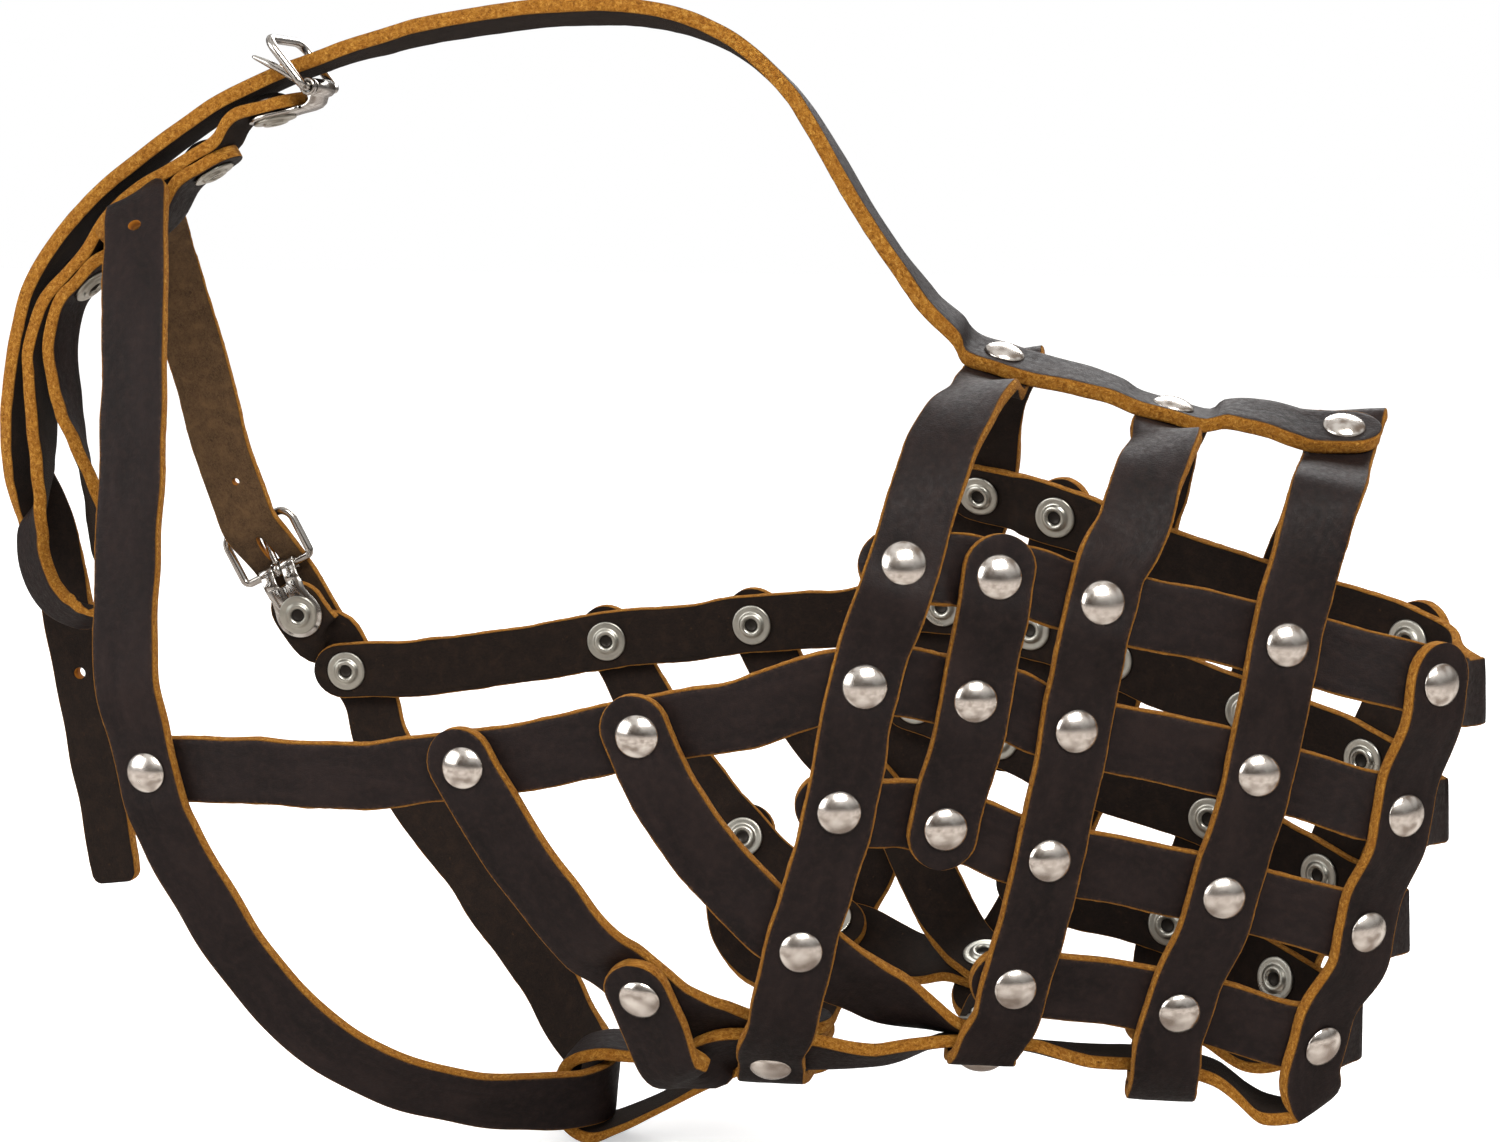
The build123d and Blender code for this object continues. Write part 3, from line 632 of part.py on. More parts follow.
def rivet_cap(name):
    """Domed cap with its tubular shank, revolved about the rivet axis."""
    point, axis, _, high = RIVETS[name]
    point, axis = Vector(*point), Vector(*axis).normalized()
    top = high * PITCH + STRAP_T / 2 + RIVET_AIR
    foot = rivet_underside(name) - (BACK_T + SHANK_OUT)
    bore_r = SHANK_R - SHANK_WALL
    with BuildSketch(side_plane(point, axis)) as half:
        with BuildLine():
            Polyline((0, foot + SHANK_BORE), (bore_r, foot + SHANK_BORE), (bore_r, foot),
                     (SHANK_R, foot), (SHANK_R, top), (CAP_R - CAP_RIM_IN, top),
                     (CAP_R, top + CAP_RIM_H),
                     *[(CAP_R * r, top + CAP_H * h) for r, h in DOME],
                     (CAP_TIP_R, top + CAP_H), (0, top + CAP_H), (0, foot + SHANK_BORE))
        make_face()
    revolve(half.sketch, axis=Axis(point, axis))


def rivet_back(name):
    """Flanged rivet back with a rolled ring, under the last layer."""
    point, axis = RIVETS[name][:2]
    point, axis = Vector(*point), Vector(*axis).normalized()
    face = rivet_underside(name)
    under = face - BACK_T
    with BuildSketch(side_plane(point, axis)) as half:
        with BuildLine():
            Polyline((SHANK_R + FIT, face), (BACK_R, face), (BACK_R, face - BACK_T * 0.6),
                     (BACK_RING_R + 0.5, under), (BACK_RING_R - 0.1, under - BACK_RING_H),
                     (SHANK_R + 0.75, under - BACK_RING_H), (SHANK_R + FIT, under), close=True)
        make_face()
    revolve(half.sketch, axis=Axis(point, axis))


# ---------------------------------------------------------------- buckle geometry
class Seat:
    """Local directions of a buckle: along towards the bar, up outwards, across sideways."""

    def __init__(self, origin, along, up, bar_rise):
        self.origin, self.along = Vector(*origin), Vector(*along).normalized()
        up = Vector(*up)
        self.up = (up - self.along * up.dot(self.along)).normalized()
        self.across = self.along.cross(self.up)
        self.bar_rise = bar_rise
        self.bar = self.at(BAR_REACH, bar_rise)

    def at(self, reach, rise):
        return self.origin + self.along * reach + self.up * rise

    def profile(self, offset):
        """Plane whose X is along and whose Y is up, at an offset across."""
        return Plane(origin=self.origin + self.across * offset,
                     x_dir=self.along, z_dir=self.across)

    def flat(self, rise):
        """Plane whose X is along and whose normal is up, at a given rise."""
        return Plane(origin=self.origin + self.up * rise, x_dir=self.along, z_dir=self.up)


def chape(seat, notch):
    """Riveted plate whose end is curled round the buckle bar."""
    top = -STRAP_T / 2 - CHAPE_DROP
    under = top - CHAPE_T
    with BuildSketch(seat.flat(under)) as plate:
        Circle(CHAPE_R)
        with BuildLine():
            Polyline((0, CHAPE_R), (SHOULDER_X, SHOULDER_HALF), (NECK_X, KNUCKLE_HALF),
                     (PLATE_END_X, KNUCKLE_HALF), (PLATE_END_X, -KNUCKLE_HALF),
                     (NECK_X, -KNUCKLE_HALF), (SHOULDER_X, -SHOULDER_HALF),
                     (0, -CHAPE_R), close=True)
        make_face()
    extrude(plate.sketch, amount=CHAPE_T)
    with BuildSketch(seat.profile(-KNUCKLE_HALF)) as curl:
        with BuildLine():
            Polyline((8.6, under), (10.0, under),
                     (BAR_REACH + 1.0, seat.bar_rise - KNUCKLE_R + 0.25),
                     (BAR_REACH, seat.bar_rise - 1.3), (BAR_REACH - 1.6, seat.bar_rise - 1.2),
                     (9.2, top), (8.6, top), close=True)
        make_face()
        with Locations((BAR_REACH, seat.bar_rise)):
            Circle(KNUCKLE_R)
    extrude(curl.sketch, amount=2 * KNUCKLE_HALF)
    with BuildSketch(seat.profile(-KNUCKLE_HALF - 1)) as bore:
        with Locations((BAR_REACH, seat.bar_rise)):
            Circle(WIRE_R + FIT)
    extrude(bore.sketch, amount=2 * KNUCKLE_HALF + 2, mode=Mode.SUBTRACT)
    if notch:
        with BuildSketch(seat.flat(SLOT_FLOOR)) as gap:
            with Locations((BAR_REACH + 1.0, 0)):
                Rectangle(*NOTCH_SIZE)
        extrude(gap.sketch, amount=SLOT_CUT, mode=Mode.SUBTRACT)
    punch(seat.origin, seat.up, HOLE_R, -6, 2)


def buckle_frame(seat, direction):
    """Closed wire rectangle: its inner side is the bar, and it reaches out along direction."""
    out = Vector(*direction).normalized()
    plane = Plane(origin=seat.bar, x_dir=out, z_dir=out.cross(seat.across))
    r_in, r_out, half, length = BAR_BEND_R, OUTER_BEND_R, FRAME_HALF, FRAME_LEN
    with BuildLine(plane) as path:
        Line((0, 0), (0, half - r_in))
        RadiusArc((0, half - r_in), (r_in, half), r_in)
        Line((r_in, half), (length - r_out, half))
        RadiusArc((length - r_out, half), (length, half - r_out), r_out)
        Line((length, half - r_out), (length, -half + r_out))
        RadiusArc((length, -half + r_out), (length - r_out, -half), r_out)
        Line((length - r_out, -half), (r_in, -half))
        RadiusArc((r_in, -half), (0, -half + r_in), r_in)
        Line((0, -half + r_in), (0, 0))
    with BuildSketch(Plane(origin=seat.bar, x_dir=out, z_dir=seat.across)) as wire:
        Circle(WIRE_R)
    sweep(wire.sketch, path=path.wires()[0])


def buckle_prong(seat, direction, offset):
    """Prong: an eye on the bar and a tapered pin along direction."""
    out = Vector(*direction).normalized()
    start = seat.bar + seat.across * (offset - PRONG_R - EYE_EXTRA)
    with BuildSketch(Plane(origin=start, x_dir=out, z_dir=seat.across)) as eye:
        Circle(KNUCKLE_R - 0.1)
        Circle(WIRE_R + FIT, mode=Mode.SUBTRACT)
    extrude(eye.sketch, amount=2 * (PRONG_R + EYE_EXTRA))
    root = seat.bar + seat.across * offset
    pin_start = WIRE_R + 0.35
    with BuildSketch(Plane(origin=root, x_dir=out, z_dir=out.cross(seat.across))) as half:
        with BuildLine():
            Polyline((pin_start, 0), (PRONG_LEN, 0), (PRONG_LEN, PRONG_R * PRONG_TIP),
                     (PRONG_LEN - PRONG_TAPER, PRONG_R), (pin_start, PRONG_R), (pin_start, 0))
        make_face()
    revolve(half.sketch, axis=Axis(root, out))


CROWN_SEAT = Seat(RIVETS["L0"][0], (0.972, 0, 0.235), RIVETS["L0"][1], CROWN_BAR_RISE)
NECK_SEAT = Seat(RIVETS["NB"][0], (-0.4405, -0.1101, 0.891), (-0.1014, 0.9922, 0.0725),
                 NECK_BAR_RISE)
NECK_FRAME_DIR = NECK_SEAT.along * FRAME_LEN + NECK_SEAT.up * NECK_FRAME_RISE
NECK_PRONG_DIR = NECK_SEAT.along * FRAME_LEN + NECK_SEAT.up * NECK_PRONG_RISE


# ---------------------------------------------------------------- pieces
os.makedirs("parts", exist_ok=True)


def save(piece, name):
    piece.part.label = name
    export_step(piece.part, f"parts/{name}.step")


# Leather straps.
for name in STATIONS:
    with BuildPart() as strap:
        lay_strap(name)
        for point, direction in ADJUST_HOLES.get(name, []):
            punch(Vector(*point), Vector(*direction).normalized(), PUNCH_R,
                  -PUNCH_REACH, PUNCH_REACH)
        if name == "neck_throat_strap":
            # slot where the prong comes through
            with BuildSketch(Plane(origin=NECK_SEAT.at(SLOT_AT, SLOT_FLOOR),
                                   x_dir=NECK_SEAT.along, z_dir=NECK_SEAT.up)):
                SlotOverall(*SLOT_SIZE)
            extrude(amount=SLOT_CUT, mode=Mode.SUBTRACT)
    save(strap, name)

# Rivets: caps piece, backs piece, and the rivets they hold.
RIVET_PIECES = [
    ("right_rivet_caps", "right_rivet_backs", [k for k in RIVETS if k.endswith("_r")]),
    ("left_rivet_caps", "left_rivet_backs", [k for k in RIVETS if k.endswith("_l")]),
    ("top_rivet_caps", "top_rivet_backs", ["TA", "TB", "TC"]),
    ("chin_rivet_caps", "chin_rivet_backs", ["BA", "BB", "BC"]),
    ("crown_loop_rivet_caps", "crown_loop_rivet_backs", ["L0", "L1", "L2"]),
    ("neck_chape_rivet_cap", "neck_chape_rivet_back", ["NB"]),
]
for caps_name, backs_name, rivets in RIVET_PIECES:
    with BuildPart() as caps:
        for rivet in rivets:
            rivet_cap(rivet)
    save(caps, caps_name)
    with BuildPart() as backs:
        for rivet in rivets:
            rivet_back(rivet)
    save(backs, backs_name)

# Buckles: name, seat, notched chape, frame direction, prong direction, prong offset.
BUCKLES = [
    ("crown", CROWN_SEAT, False, CROWN_FRAME_DIR, CROWN_PRONG_DIR, CROWN_PRONG_OFFSET),
    ("neck", NECK_SEAT, True, NECK_FRAME_DIR, NECK_PRONG_DIR, 0.0),
]
for name, seat, notch, frame_dir, prong_dir, prong_offset in BUCKLES:
    with BuildPart() as chape_piece:
        chape(seat, notch)
    save(chape_piece, f"{name}_buckle_chape")
    with BuildPart() as frame_piece:
        buckle_frame(seat, frame_dir)
    save(frame_piece, f"{name}_buckle_frame")
    with BuildPart() as prong_piece:
        buckle_prong(seat, prong_dir, prong_offset)
    save(prong_piece, f"{name}_buckle_prong")
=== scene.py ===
import bpy, math, random
import numpy as np
from mathutils import Vector, Matrix


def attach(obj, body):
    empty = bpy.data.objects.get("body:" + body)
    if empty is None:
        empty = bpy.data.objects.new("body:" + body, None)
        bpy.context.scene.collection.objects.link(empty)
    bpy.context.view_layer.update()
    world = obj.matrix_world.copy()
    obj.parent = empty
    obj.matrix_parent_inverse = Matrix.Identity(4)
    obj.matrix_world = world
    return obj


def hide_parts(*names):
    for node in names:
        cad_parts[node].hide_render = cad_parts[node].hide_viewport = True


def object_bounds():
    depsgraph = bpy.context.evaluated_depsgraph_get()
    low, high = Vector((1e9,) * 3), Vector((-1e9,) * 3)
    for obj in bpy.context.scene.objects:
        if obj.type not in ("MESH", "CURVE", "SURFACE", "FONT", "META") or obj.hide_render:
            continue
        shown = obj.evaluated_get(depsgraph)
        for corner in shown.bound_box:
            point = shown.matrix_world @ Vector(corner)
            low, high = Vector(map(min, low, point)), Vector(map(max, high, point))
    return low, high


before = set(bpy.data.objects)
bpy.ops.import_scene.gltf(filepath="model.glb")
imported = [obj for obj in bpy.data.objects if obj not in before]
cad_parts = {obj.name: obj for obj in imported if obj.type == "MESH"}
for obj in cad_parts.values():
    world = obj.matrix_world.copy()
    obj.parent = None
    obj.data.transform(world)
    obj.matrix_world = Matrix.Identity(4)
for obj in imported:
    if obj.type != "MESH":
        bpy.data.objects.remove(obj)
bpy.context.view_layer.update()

# ------------------------------------------------------------------ sizes, millimetres
W, T, PITCH = 15.0, 2.8, 3.25
WIDTHS = {"crown_strap": 13.0, "crown_loop_strap": 13.0}
# raw edges swell: drawn a little thicker than the pressed leather between rivets
SWELL = {"crown_strap": 3.55, "crown_loop_strap": 3.3, "neck_throat_strap": 2.85, "chin_loop": 3.2}
SQUARE_TAIL = ("crown_strap",)
STATIONS = {
    "upper_side_band": [
        (5.2, -57.34, 25.62, 0.231, -0.926, 0.3, 0), (6.75, -57, 25.47, 0.231, -0.926, 0.3, 0), (14.44, -55.32, 24.76, 0.231, -0.926, 0.3, 0),
        (18.2, -52.62, 24.46, 0.291, -0.952, 0.1, 0), (25.66, -50.5, 22.94, 0.291, -0.952, 0.1, 0), (33.12, -48.38, 21.42, 0.291, -0.952, 0.1, 0),
        (38.99, -45.87, 18.95, 0.339, -0.93, 0.14, 0), (46.28, -43.5, 17.05, 0.339, -0.93, 0.14, 0), (53.57, -41.13, 15.15, 0.339, -0.93, 0.14, 0),
        (76.84, -32.09, 9.29, 0.291, -0.953, 0.08, 0), (84.21, -30, 7.35, 0.291, -0.953, 0.08, 0), (91.57, -27.91, 5.41, 0.291, -0.953, 0.08, 0),
        (108.94, -26.59, 1, 0.615, -0.788, 0.03, 0), (114.93, -22, -1.32, 0.615, -0.788, 0.03, 0), (120.92, -17.41, -3.64, 0.615, -0.788, 0.03, 0),
        (123, -9, -5.8, 0.863, -0.502, 0.05, 0), (126, -2.6, -6.7, 0.923, -0.381, 0.05, 0), (127.6, 0, -7, 0.999, 0, 0.05, 1),
        (126, 2.6, -6.7, 0.923, 0.381, 0.05, 0), (123, 9, -5.8, 0.863, 0.502, 0.05, 0), (120.03, 17.4, -2.83, 0.615, 0.788, 0.03, 0),
        (114.03, 22, -0.53, 0.615, 0.788, 0.03, 0), (108.03, 26.6, 1.77, 0.615, 0.788, 0.03, 0), (91.81, 27.9, 5.36, 0.291, 0.953, 0.08, 0),
        (84.42, 30, 7.21, 0.291, 0.953, 0.08, 0), (77.03, 32.1, 9.05, 0.291, 0.953, 0.08, 0), (57.43, 41.14, 13.95, 0.339, 0.93, 0.14, 0),
        (50.14, 43.5, 15.88, 0.339, 0.93, 0.14, 0), (42.86, 45.86, 17.81, 0.339, 0.93, 0.14, 0), (36.82, 48.44, 20.47, 0.291, 0.952, 0.1, 0),
        (29.43, 50.5, 22.37, 0.291, 0.952, 0.1, 0), (22.04, 52.56, 24.27, 0.291, 0.952, 0.1, 0), (17.14, 55.52, 25.4, 0.231, 0.926, 0.3, 0),
        (9.49, 57, 26.72, 0.231, 0.926, 0.3, 0), (7.94, 57.3, 26.98, 0.231, 0.926, 0.3, 0),
    ],
    "cheek_band": [
        (-166.35, -52.39, -27.59, -0.07, -0.998, 0, 0), (-164.76, -52.5, -27.52, -0.07, -0.998, 0, 0), (-156.89, -53.05, -27.14, -0.07, -0.998, 0, 0),
        (-139.4, -55, -26.3, -0.05, -0.999, 0, 0), (-112, -57, -25.2, 0, -1, 0, 0), (-95.79, -57.23, -22.83, -0.035, -0.999, 0, 0),
        (-88.02, -57.5, -21.38, -0.035, -0.999, 0, 0), (-80.26, -57.77, -19.93, -0.035, -0.999, 0, 0), (-68, -58.2, -17, 0, -1, 0.02, 0),
        (-56.76, -58.31, -14.22, 0.035, -0.999, 0.02, 0), (-49.08, -58, -12.36, 0.035, -0.999, 0.02, 0), (-41.41, -57.69, -10.51, 0.035, -0.999, 0.02, 0),
        (-25.5, -58.6, -6.7, 0.08, -0.996, 0.03, 0), (-8.51, -59.43, -0.19, 0.242, -0.97, 0.04, 0), (-0.87, -57.5, 0.4, 0.242, -0.97, 0.04, 0),
        (6.77, -55.57, 1, 0.242, -0.97, 0.04, 0), (13.62, -51.75, -1.18, 0.292, -0.956, 0, 0), (20.97, -49.5, -3.01, 0.292, -0.956, 0, 0),
        (28.32, -47.25, -4.84, 0.292, -0.956, 0, 0), (34.08, -45.1, -8.03, 0.342, -0.94, 0, 0), (41.21, -42.5, -10.22, 0.342, -0.94, 0, 0),
        (48.35, -39.9, -12.4, 0.342, -0.94, 0, 0), (72.1, -32.22, -18.58, 0.292, -0.956, 0, 0), (79.37, -30, -20.71, 0.292, -0.956, 0, 0),
        (86.65, -27.78, -22.85, 0.292, -0.956, 0, 0), (103.04, -26.16, -27.87, 0.616, -0.788, 0, 0), (109.01, -21.5, -30.13, 0.616, -0.788, 0, 0),
        (114.97, -16.84, -32.39, 0.616, -0.788, 0, 0), (116.4, -9, -33.3, 0.863, -0.502, 0.05, 0), (119.4, -2.6, -34.2, 0.923, -0.381, 0.05, 0),
        (121, 0, -34.5, 0.999, 0, 0.05, 1), (119.4, 2.6, -34.2, 0.923, 0.381, 0.05, 0), (116.4, 9, -33.3, 0.863, 0.502, 0.05, 0),
        (111.05, 16.83, -31.26, 0.616, 0.788, 0, 0), (105.08, 21.5, -29.03, 0.616, 0.788, 0, 0), (99.11, 26.17, -26.81, 0.616, 0.788, 0, 0),
        (84.91, 27.77, -22.6, 0.292, 0.956, 0, 0), (77.62, 30, -20.52, 0.292, 0.956, 0, 0), (70.33, 32.23, -18.44, 0.292, 0.956, 0, 0),
        (52.14, 39.88, -13.59, 0.342, 0.94, 0, 0), (44.94, 42.5, -11.67, 0.342, 0.94, 0, 0), (37.74, 45.12, -9.74, 0.342, 0.94, 0, 0),
        (31.3, 47.23, -7.66, 0.292, 0.956, 0, 0), (23.88, 49.5, -6.14, 0.292, 0.956, 0, 0), (16.47, 51.77, -4.61, 0.292, 0.956, 0, 0),
        (8.11, 55.59, -2.36, 0.242, 0.97, 0.04, 0), (0.44, 57.5, -2.44, 0.242, 0.97, 0.04, 0), (-7.22, 59.41, -2.52, 0.242, 0.97, 0.04, 0),
        (-24.81, 58.6, -6.74, 0.08, 0.996, 0.03, 0), (-41.7, 57.71, -8.17, 0.035, 0.999, 0.02, 0), (-49.52, 58, -9.24, 0.035, 0.999, 0.02, 0),
        (-57.34, 58.29, -10.32, 0.035, 0.999, 0.02, 0), (-68.46, 58.2, -12.76, 0, 1, 0.02, 0), (-81, 57.77, -13.82, -0.035, 0.999, 0, 0),
        (-88.8, 57.5, -15.08, -0.035, 0.999, 0, 0), (-96.59, 57.23, -16.35, -0.035, 0.999, 0, 0), (-112.19, 57, -19.84, 0, 1, 0, 0),
        (-135.63, 55, -23.54, -0.05, 0.999, 0, 0), (-152.12, 53.05, -24.6, -0.07, 0.998, 0, 0), (-159.98, 52.5, -25.11, -0.07, 0.998, 0, 0),
        (-161.57, 52.39, -25.22, -0.07, 0.998, 0, 0),
    ],
    "lower_side_band": [
        (-8.17, -56.39, -26.54, 0.242, -0.969, -0.05, 0), (-6.65, -56, -26.86, 0.242, -0.969, -0.05, 0), (0.84, -54.05, -28.44, 0.242, -0.969, -0.05, 0),
        (7.35, -50.29, -29.29, 0.292, -0.956, -0.03, 0), (14.63, -48, -31.33, 0.292, -0.956, -0.03, 0), (21.91, -45.71, -33.38, 0.292, -0.956, -0.03, 0),
        (28.89, -44.14, -36.81, 0.342, -0.94, -0.02, 0), (36.03, -41.5, -38.9, 0.342, -0.94, -0.02, 0), (43.18, -38.86, -40.99, 0.342, -0.94, -0.02, 0),
        (65.6, -31.79, -46.21, 0.292, -0.956, -0.03, 0), (72.91, -29.5, -48.16, 0.292, -0.956, -0.03, 0), (80.21, -27.21, -50.1, 0.292, -0.956, -0.03, 0),
        (96.24, -25.24, -54.38, 0.615, -0.788, -0.03, 0), (102.2, -20.5, -56.5, 0.615, -0.788, -0.03, 0), (108.16, -15.76, -58.62, 0.615, -0.788, -0.03, 0),
        (109, -9, -59.8, 0.863, -0.502, 0.05, 0), (112, -2.6, -60.7, 0.923, -0.381, 0.05, 0), (113.6, 0, -61, 0.999, 0, 0.05, 1),
        (112, 2.6, -60.7, 0.923, 0.381, 0.05, 0), (109, 9, -59.8, 0.863, 0.502, 0.05, 0), (102.12, 15.77, -59.17, 0.615, 0.788, -0.03, 0),
        (96.17, 20.5, -57, 0.615, 0.788, -0.03, 0), (90.22, 25.23, -54.83, 0.615, 0.788, -0.03, 0), (76.98, 27.21, -49.12, 0.292, 0.956, -0.03, 0),
        (69.7, 29.5, -47.11, 0.292, 0.956, -0.03, 0), (62.41, 31.79, -45.09, 0.292, 0.956, -0.03, 0), (44.32, 38.83, -42.28, 0.342, 0.94, -0.02, 0),
        (37.1, 41.5, -40.51, 0.342, 0.94, -0.02, 0), (29.87, 44.17, -38.75, 0.342, 0.94, -0.02, 0), (24.02, 45.71, -36.32, 0.292, 0.956, -0.03, 0),
        (16.76, 48, -34.22, 0.292, 0.956, -0.03, 0), (9.5, 50.29, -32.12, 0.292, 0.956, -0.03, 0), (1.24, 54.05, -29.96, 0.242, 0.969, -0.05, 0),
        (-6.15, 56, -27.95, 0.242, 0.969, -0.05, 0), (-7.65, 56.39, -27.54, 0.242, 0.969, -0.05, 0),
    ],
    "jaw_band": [
        (27.75, -41.07, -67.51, 0.34, -0.933, -0.12, 0), (29.22, -40.5, -67.78, 0.34, -0.933, -0.12, 0), (36.47, -37.68, -69.14, 0.34, -0.933, -0.12, 0),
        (56.78, -31.42, -72.69, 0.291, -0.952, -0.1, 0), (64.1, -29, -74.41, 0.291, -0.952, -0.1, 0), (71.42, -26.58, -76.12, 0.291, -0.952, -0.1, 0),
        (87.71, -24.46, -80.98, 0.608, -0.778, -0.16, 0), (93.55, -19.5, -82.9, 0.608, -0.778, -0.16, 0), (99.39, -14.54, -84.83, 0.608, -0.778, -0.16, 0),
        (99.6, -9, -85.8, 0.864, -0.503, 0.02, 0), (102.6, -2.6, -86.7, 0.924, -0.382, 0.02, 0), (104.2, 0, -87, 1, 0, 0.02, 1),
        (102.6, 2.6, -86.7, 0.924, 0.382, 0.02, 0), (99.6, 9, -85.8, 0.864, 0.503, 0.02, 0), (92.83, 14.54, -84.72, 0.608, 0.778, -0.16, 0),
        (86.96, 19.5, -82.91, 0.608, 0.778, -0.16, 0), (81.09, 24.46, -81.1, 0.608, 0.778, -0.16, 0), (68.18, 26.59, -75.68, 0.291, 0.952, -0.1, 0),
        (60.82, 29, -74.12, 0.291, 0.952, -0.1, 0), (53.46, 31.41, -72.57, 0.291, 0.952, -0.1, 0), (32.86, 37.72, -70.81, 0.34, 0.933, -0.12, 0),
        (25.51, 40.5, -69.98, 0.34, 0.933, -0.12, 0), (24.02, 41.06, -69.81, 0.34, 0.933, -0.12, 0),
    ],
    "rear_hoop": [
        (-27, 12, -101.5, 0, 0, -1, 0), (-27.28, 7.89, -101.5, 0, 0, -1, 0), (-27, 0, -101.5, 0, 0, -1, 0),
        (-26.72, -7.89, -101.5, 0, 0, -1, 0), (-26, -16, -101, 0, -0.06, -0.998, 0), (-24.8, -37.43, -95.07, 0.047, -0.671, -0.74, 0),
        (-23.61, -43.18, -89.79, 0.047, -0.671, -0.74, 0), (-22.42, -48.93, -84.5, 0.047, -0.671, -0.74, 0), (-18.7, -54.8, -76.4, 0.12, -0.947, -0.299, 0),
        (-16.02, -57.66, -65.95, 0.24, -0.963, -0.12, 0), (-14.09, -58.13, -58.3, 0.24, -0.963, -0.12, 0), (-12.16, -58.6, -50.66, 0.24, -0.963, -0.12, 0),
        (-7.6, -59.19, -34.73, 0.242, -0.969, -0.05, 0), (-5.87, -59.15, -27.03, 0.242, -0.969, -0.05, 0), (-4.13, -59.11, -19.32, 0.242, -0.969, -0.05, 0),
        (-1.79, -61.39, -7.14, 0.242, -0.97, 0.04, 0), (-0.08, -60.65, 0.53, 0.242, -0.97, 0.04, 0), (1.63, -59.91, 8.21, 0.242, -0.97, 0.04, 0),
        (5.7, -62.78, 19.27, 0.231, -0.926, 0.3, 0), (7.5, -60.01, 26.45, 0.231, -0.926, 0.3, 0), (9.31, -57.23, 33.62, 0.231, -0.926, 0.3, 0),
        (12, -51.5, 44, 0.1, -0.796, 0.597, 0), (15.3, -39.5, 54, 0, -0.622, 0.783, 0), (18.6, -24, 59.6, -0.149, -0.418, 0.896, 0),
        (18.96, -5.85, 59.6, 0.269, -0.299, 0.916, 0), (19.93, 1.69, 61.77, 0.269, -0.299, 0.916, 0), (20.9, 9.22, 63.94, 0.269, -0.299, 0.916, 0),
        (21.6, 15, 64.3, -0.2, 0.05, 0.979, 0), (18.8, 31, 60.6, -0.149, 0.446, 0.882, 0), (13.6, 46, 50.6, 0, 0.722, 0.692, 0),
        (11.82, 57.27, 34.93, 0.231, 0.926, 0.3, 0), (10.24, 60.01, 27.69, 0.231, 0.926, 0.3, 0), (8.67, 62.75, 20.45, 0.231, 0.926, 0.3, 0),
        (3.14, 59.86, 5.31, 0.242, 0.97, 0.04, 0), (1.23, 60.65, -2.31, 0.242, 0.97, 0.04, 0), (-0.69, 61.44, -9.93, 0.242, 0.97, 0.04, 0),
        (-3.36, 59.04, -20.47, 0.242, 0.969, -0.05, 0), (-5.36, 59.15, -28.11, 0.242, 0.969, -0.05, 0), (-7.37, 59.25, -35.76, 0.242, 0.969, -0.05, 0),
        (-11.29, 58.54, -47.38, 0.24, 0.963, -0.12, 0), (-13.44, 58.13, -54.97, 0.24, 0.963, -0.12, 0), (-15.58, 57.72, -62.57, 0.24, 0.963, -0.12, 0),
        (-18.78, 54.8, -73.63, 0.12, 0.947, -0.299, 0), (-23, 48.92, -81.68, 0.047, 0.671, -0.74, 0), (-24.28, 43.18, -86.96, 0.047, 0.671, -0.74, 0),
        (-25.55, 37.45, -92.24, 0.047, 0.671, -0.74, 0), (-26.2, 18, -97.6, 0, 0.243, -0.97, 0), (-26.79, 7.9, -98.25, 0, 0, -1, 0),
        (-27, 0, -98.25, 0, 0, -1, 0), (-27.21, -7.9, -98.25, 0, 0, -1, 0), (-27, -12, -98.25, 0, 0, -1, 0),
    ],
    "middle_hoop": [
        (21, 11, -91.25, 0, 0, -1, 0), (21, 7.9, -91.25, 0, 0, -1, 0), (21, 0, -91.25, 0, 0, -1, 0),
        (21, -7.9, -91.25, 0, 0, -1, 0), (21, -17, -92.3, 0, -0.1, -0.995, 0), (20.44, -24.63, -91.13, 0.027, -0.311, -0.95, 0),
        (21.83, -32.01, -88.67, 0.027, -0.311, -0.95, 0), (23.22, -39.39, -86.22, 0.027, -0.311, -0.95, 0), (25.7, -41.4, -80.6, 0.252, -0.855, -0.453, 0),
        (28.34, -43.27, -75.82, 0.34, -0.933, -0.12, 0), (30.32, -43.53, -68.17, 0.34, -0.933, -0.12, 0), (32.3, -43.8, -60.53, 0.34, -0.933, -0.12, 0),
        (35.76, -44.89, -46.74, 0.342, -0.94, -0.02, 0), (37.14, -44.55, -38.97, 0.342, -0.94, -0.02, 0), (38.53, -44.21, -31.2, 0.342, -0.94, -0.02, 0),
        (41.16, -45.98, -18.02, 0.342, -0.94, 0, 0), (42.32, -45.55, -10.22, 0.342, -0.94, 0, 0), (43.49, -45.13, -2.41, 0.342, -0.94, 0, 0),
        (45.76, -48.25, 9.97, 0.339, -0.93, 0.14, 0), (47.38, -46.52, 17.51, 0.339, -0.93, 0.14, 0), (49.01, -44.8, 25.04, 0.339, -0.93, 0.14, 0),
        (52.6, -40, 31.5, 0.199, -0.896, 0.398, 0), (55.4, -31, 42, 0.05, -0.686, 0.726, 0), (58.3, -16, 49, -0.151, -0.322, 0.935, 0),
        (57.6, -7.29, 49.72, 0.241, -0.101, 0.965, 0), (58.08, 0.57, 50.42, 0.241, -0.101, 0.965, 0), (58.56, 8.42, 51.12, 0.241, -0.101, 0.965, 0),
        (59.6, 15, 49.4, -0.201, 0.221, 0.954, 0), (56.6, 29, 43.2, -0.05, 0.654, 0.755, 0), (54.6, 39, 33.5, 0.154, 0.873, 0.462, 0),
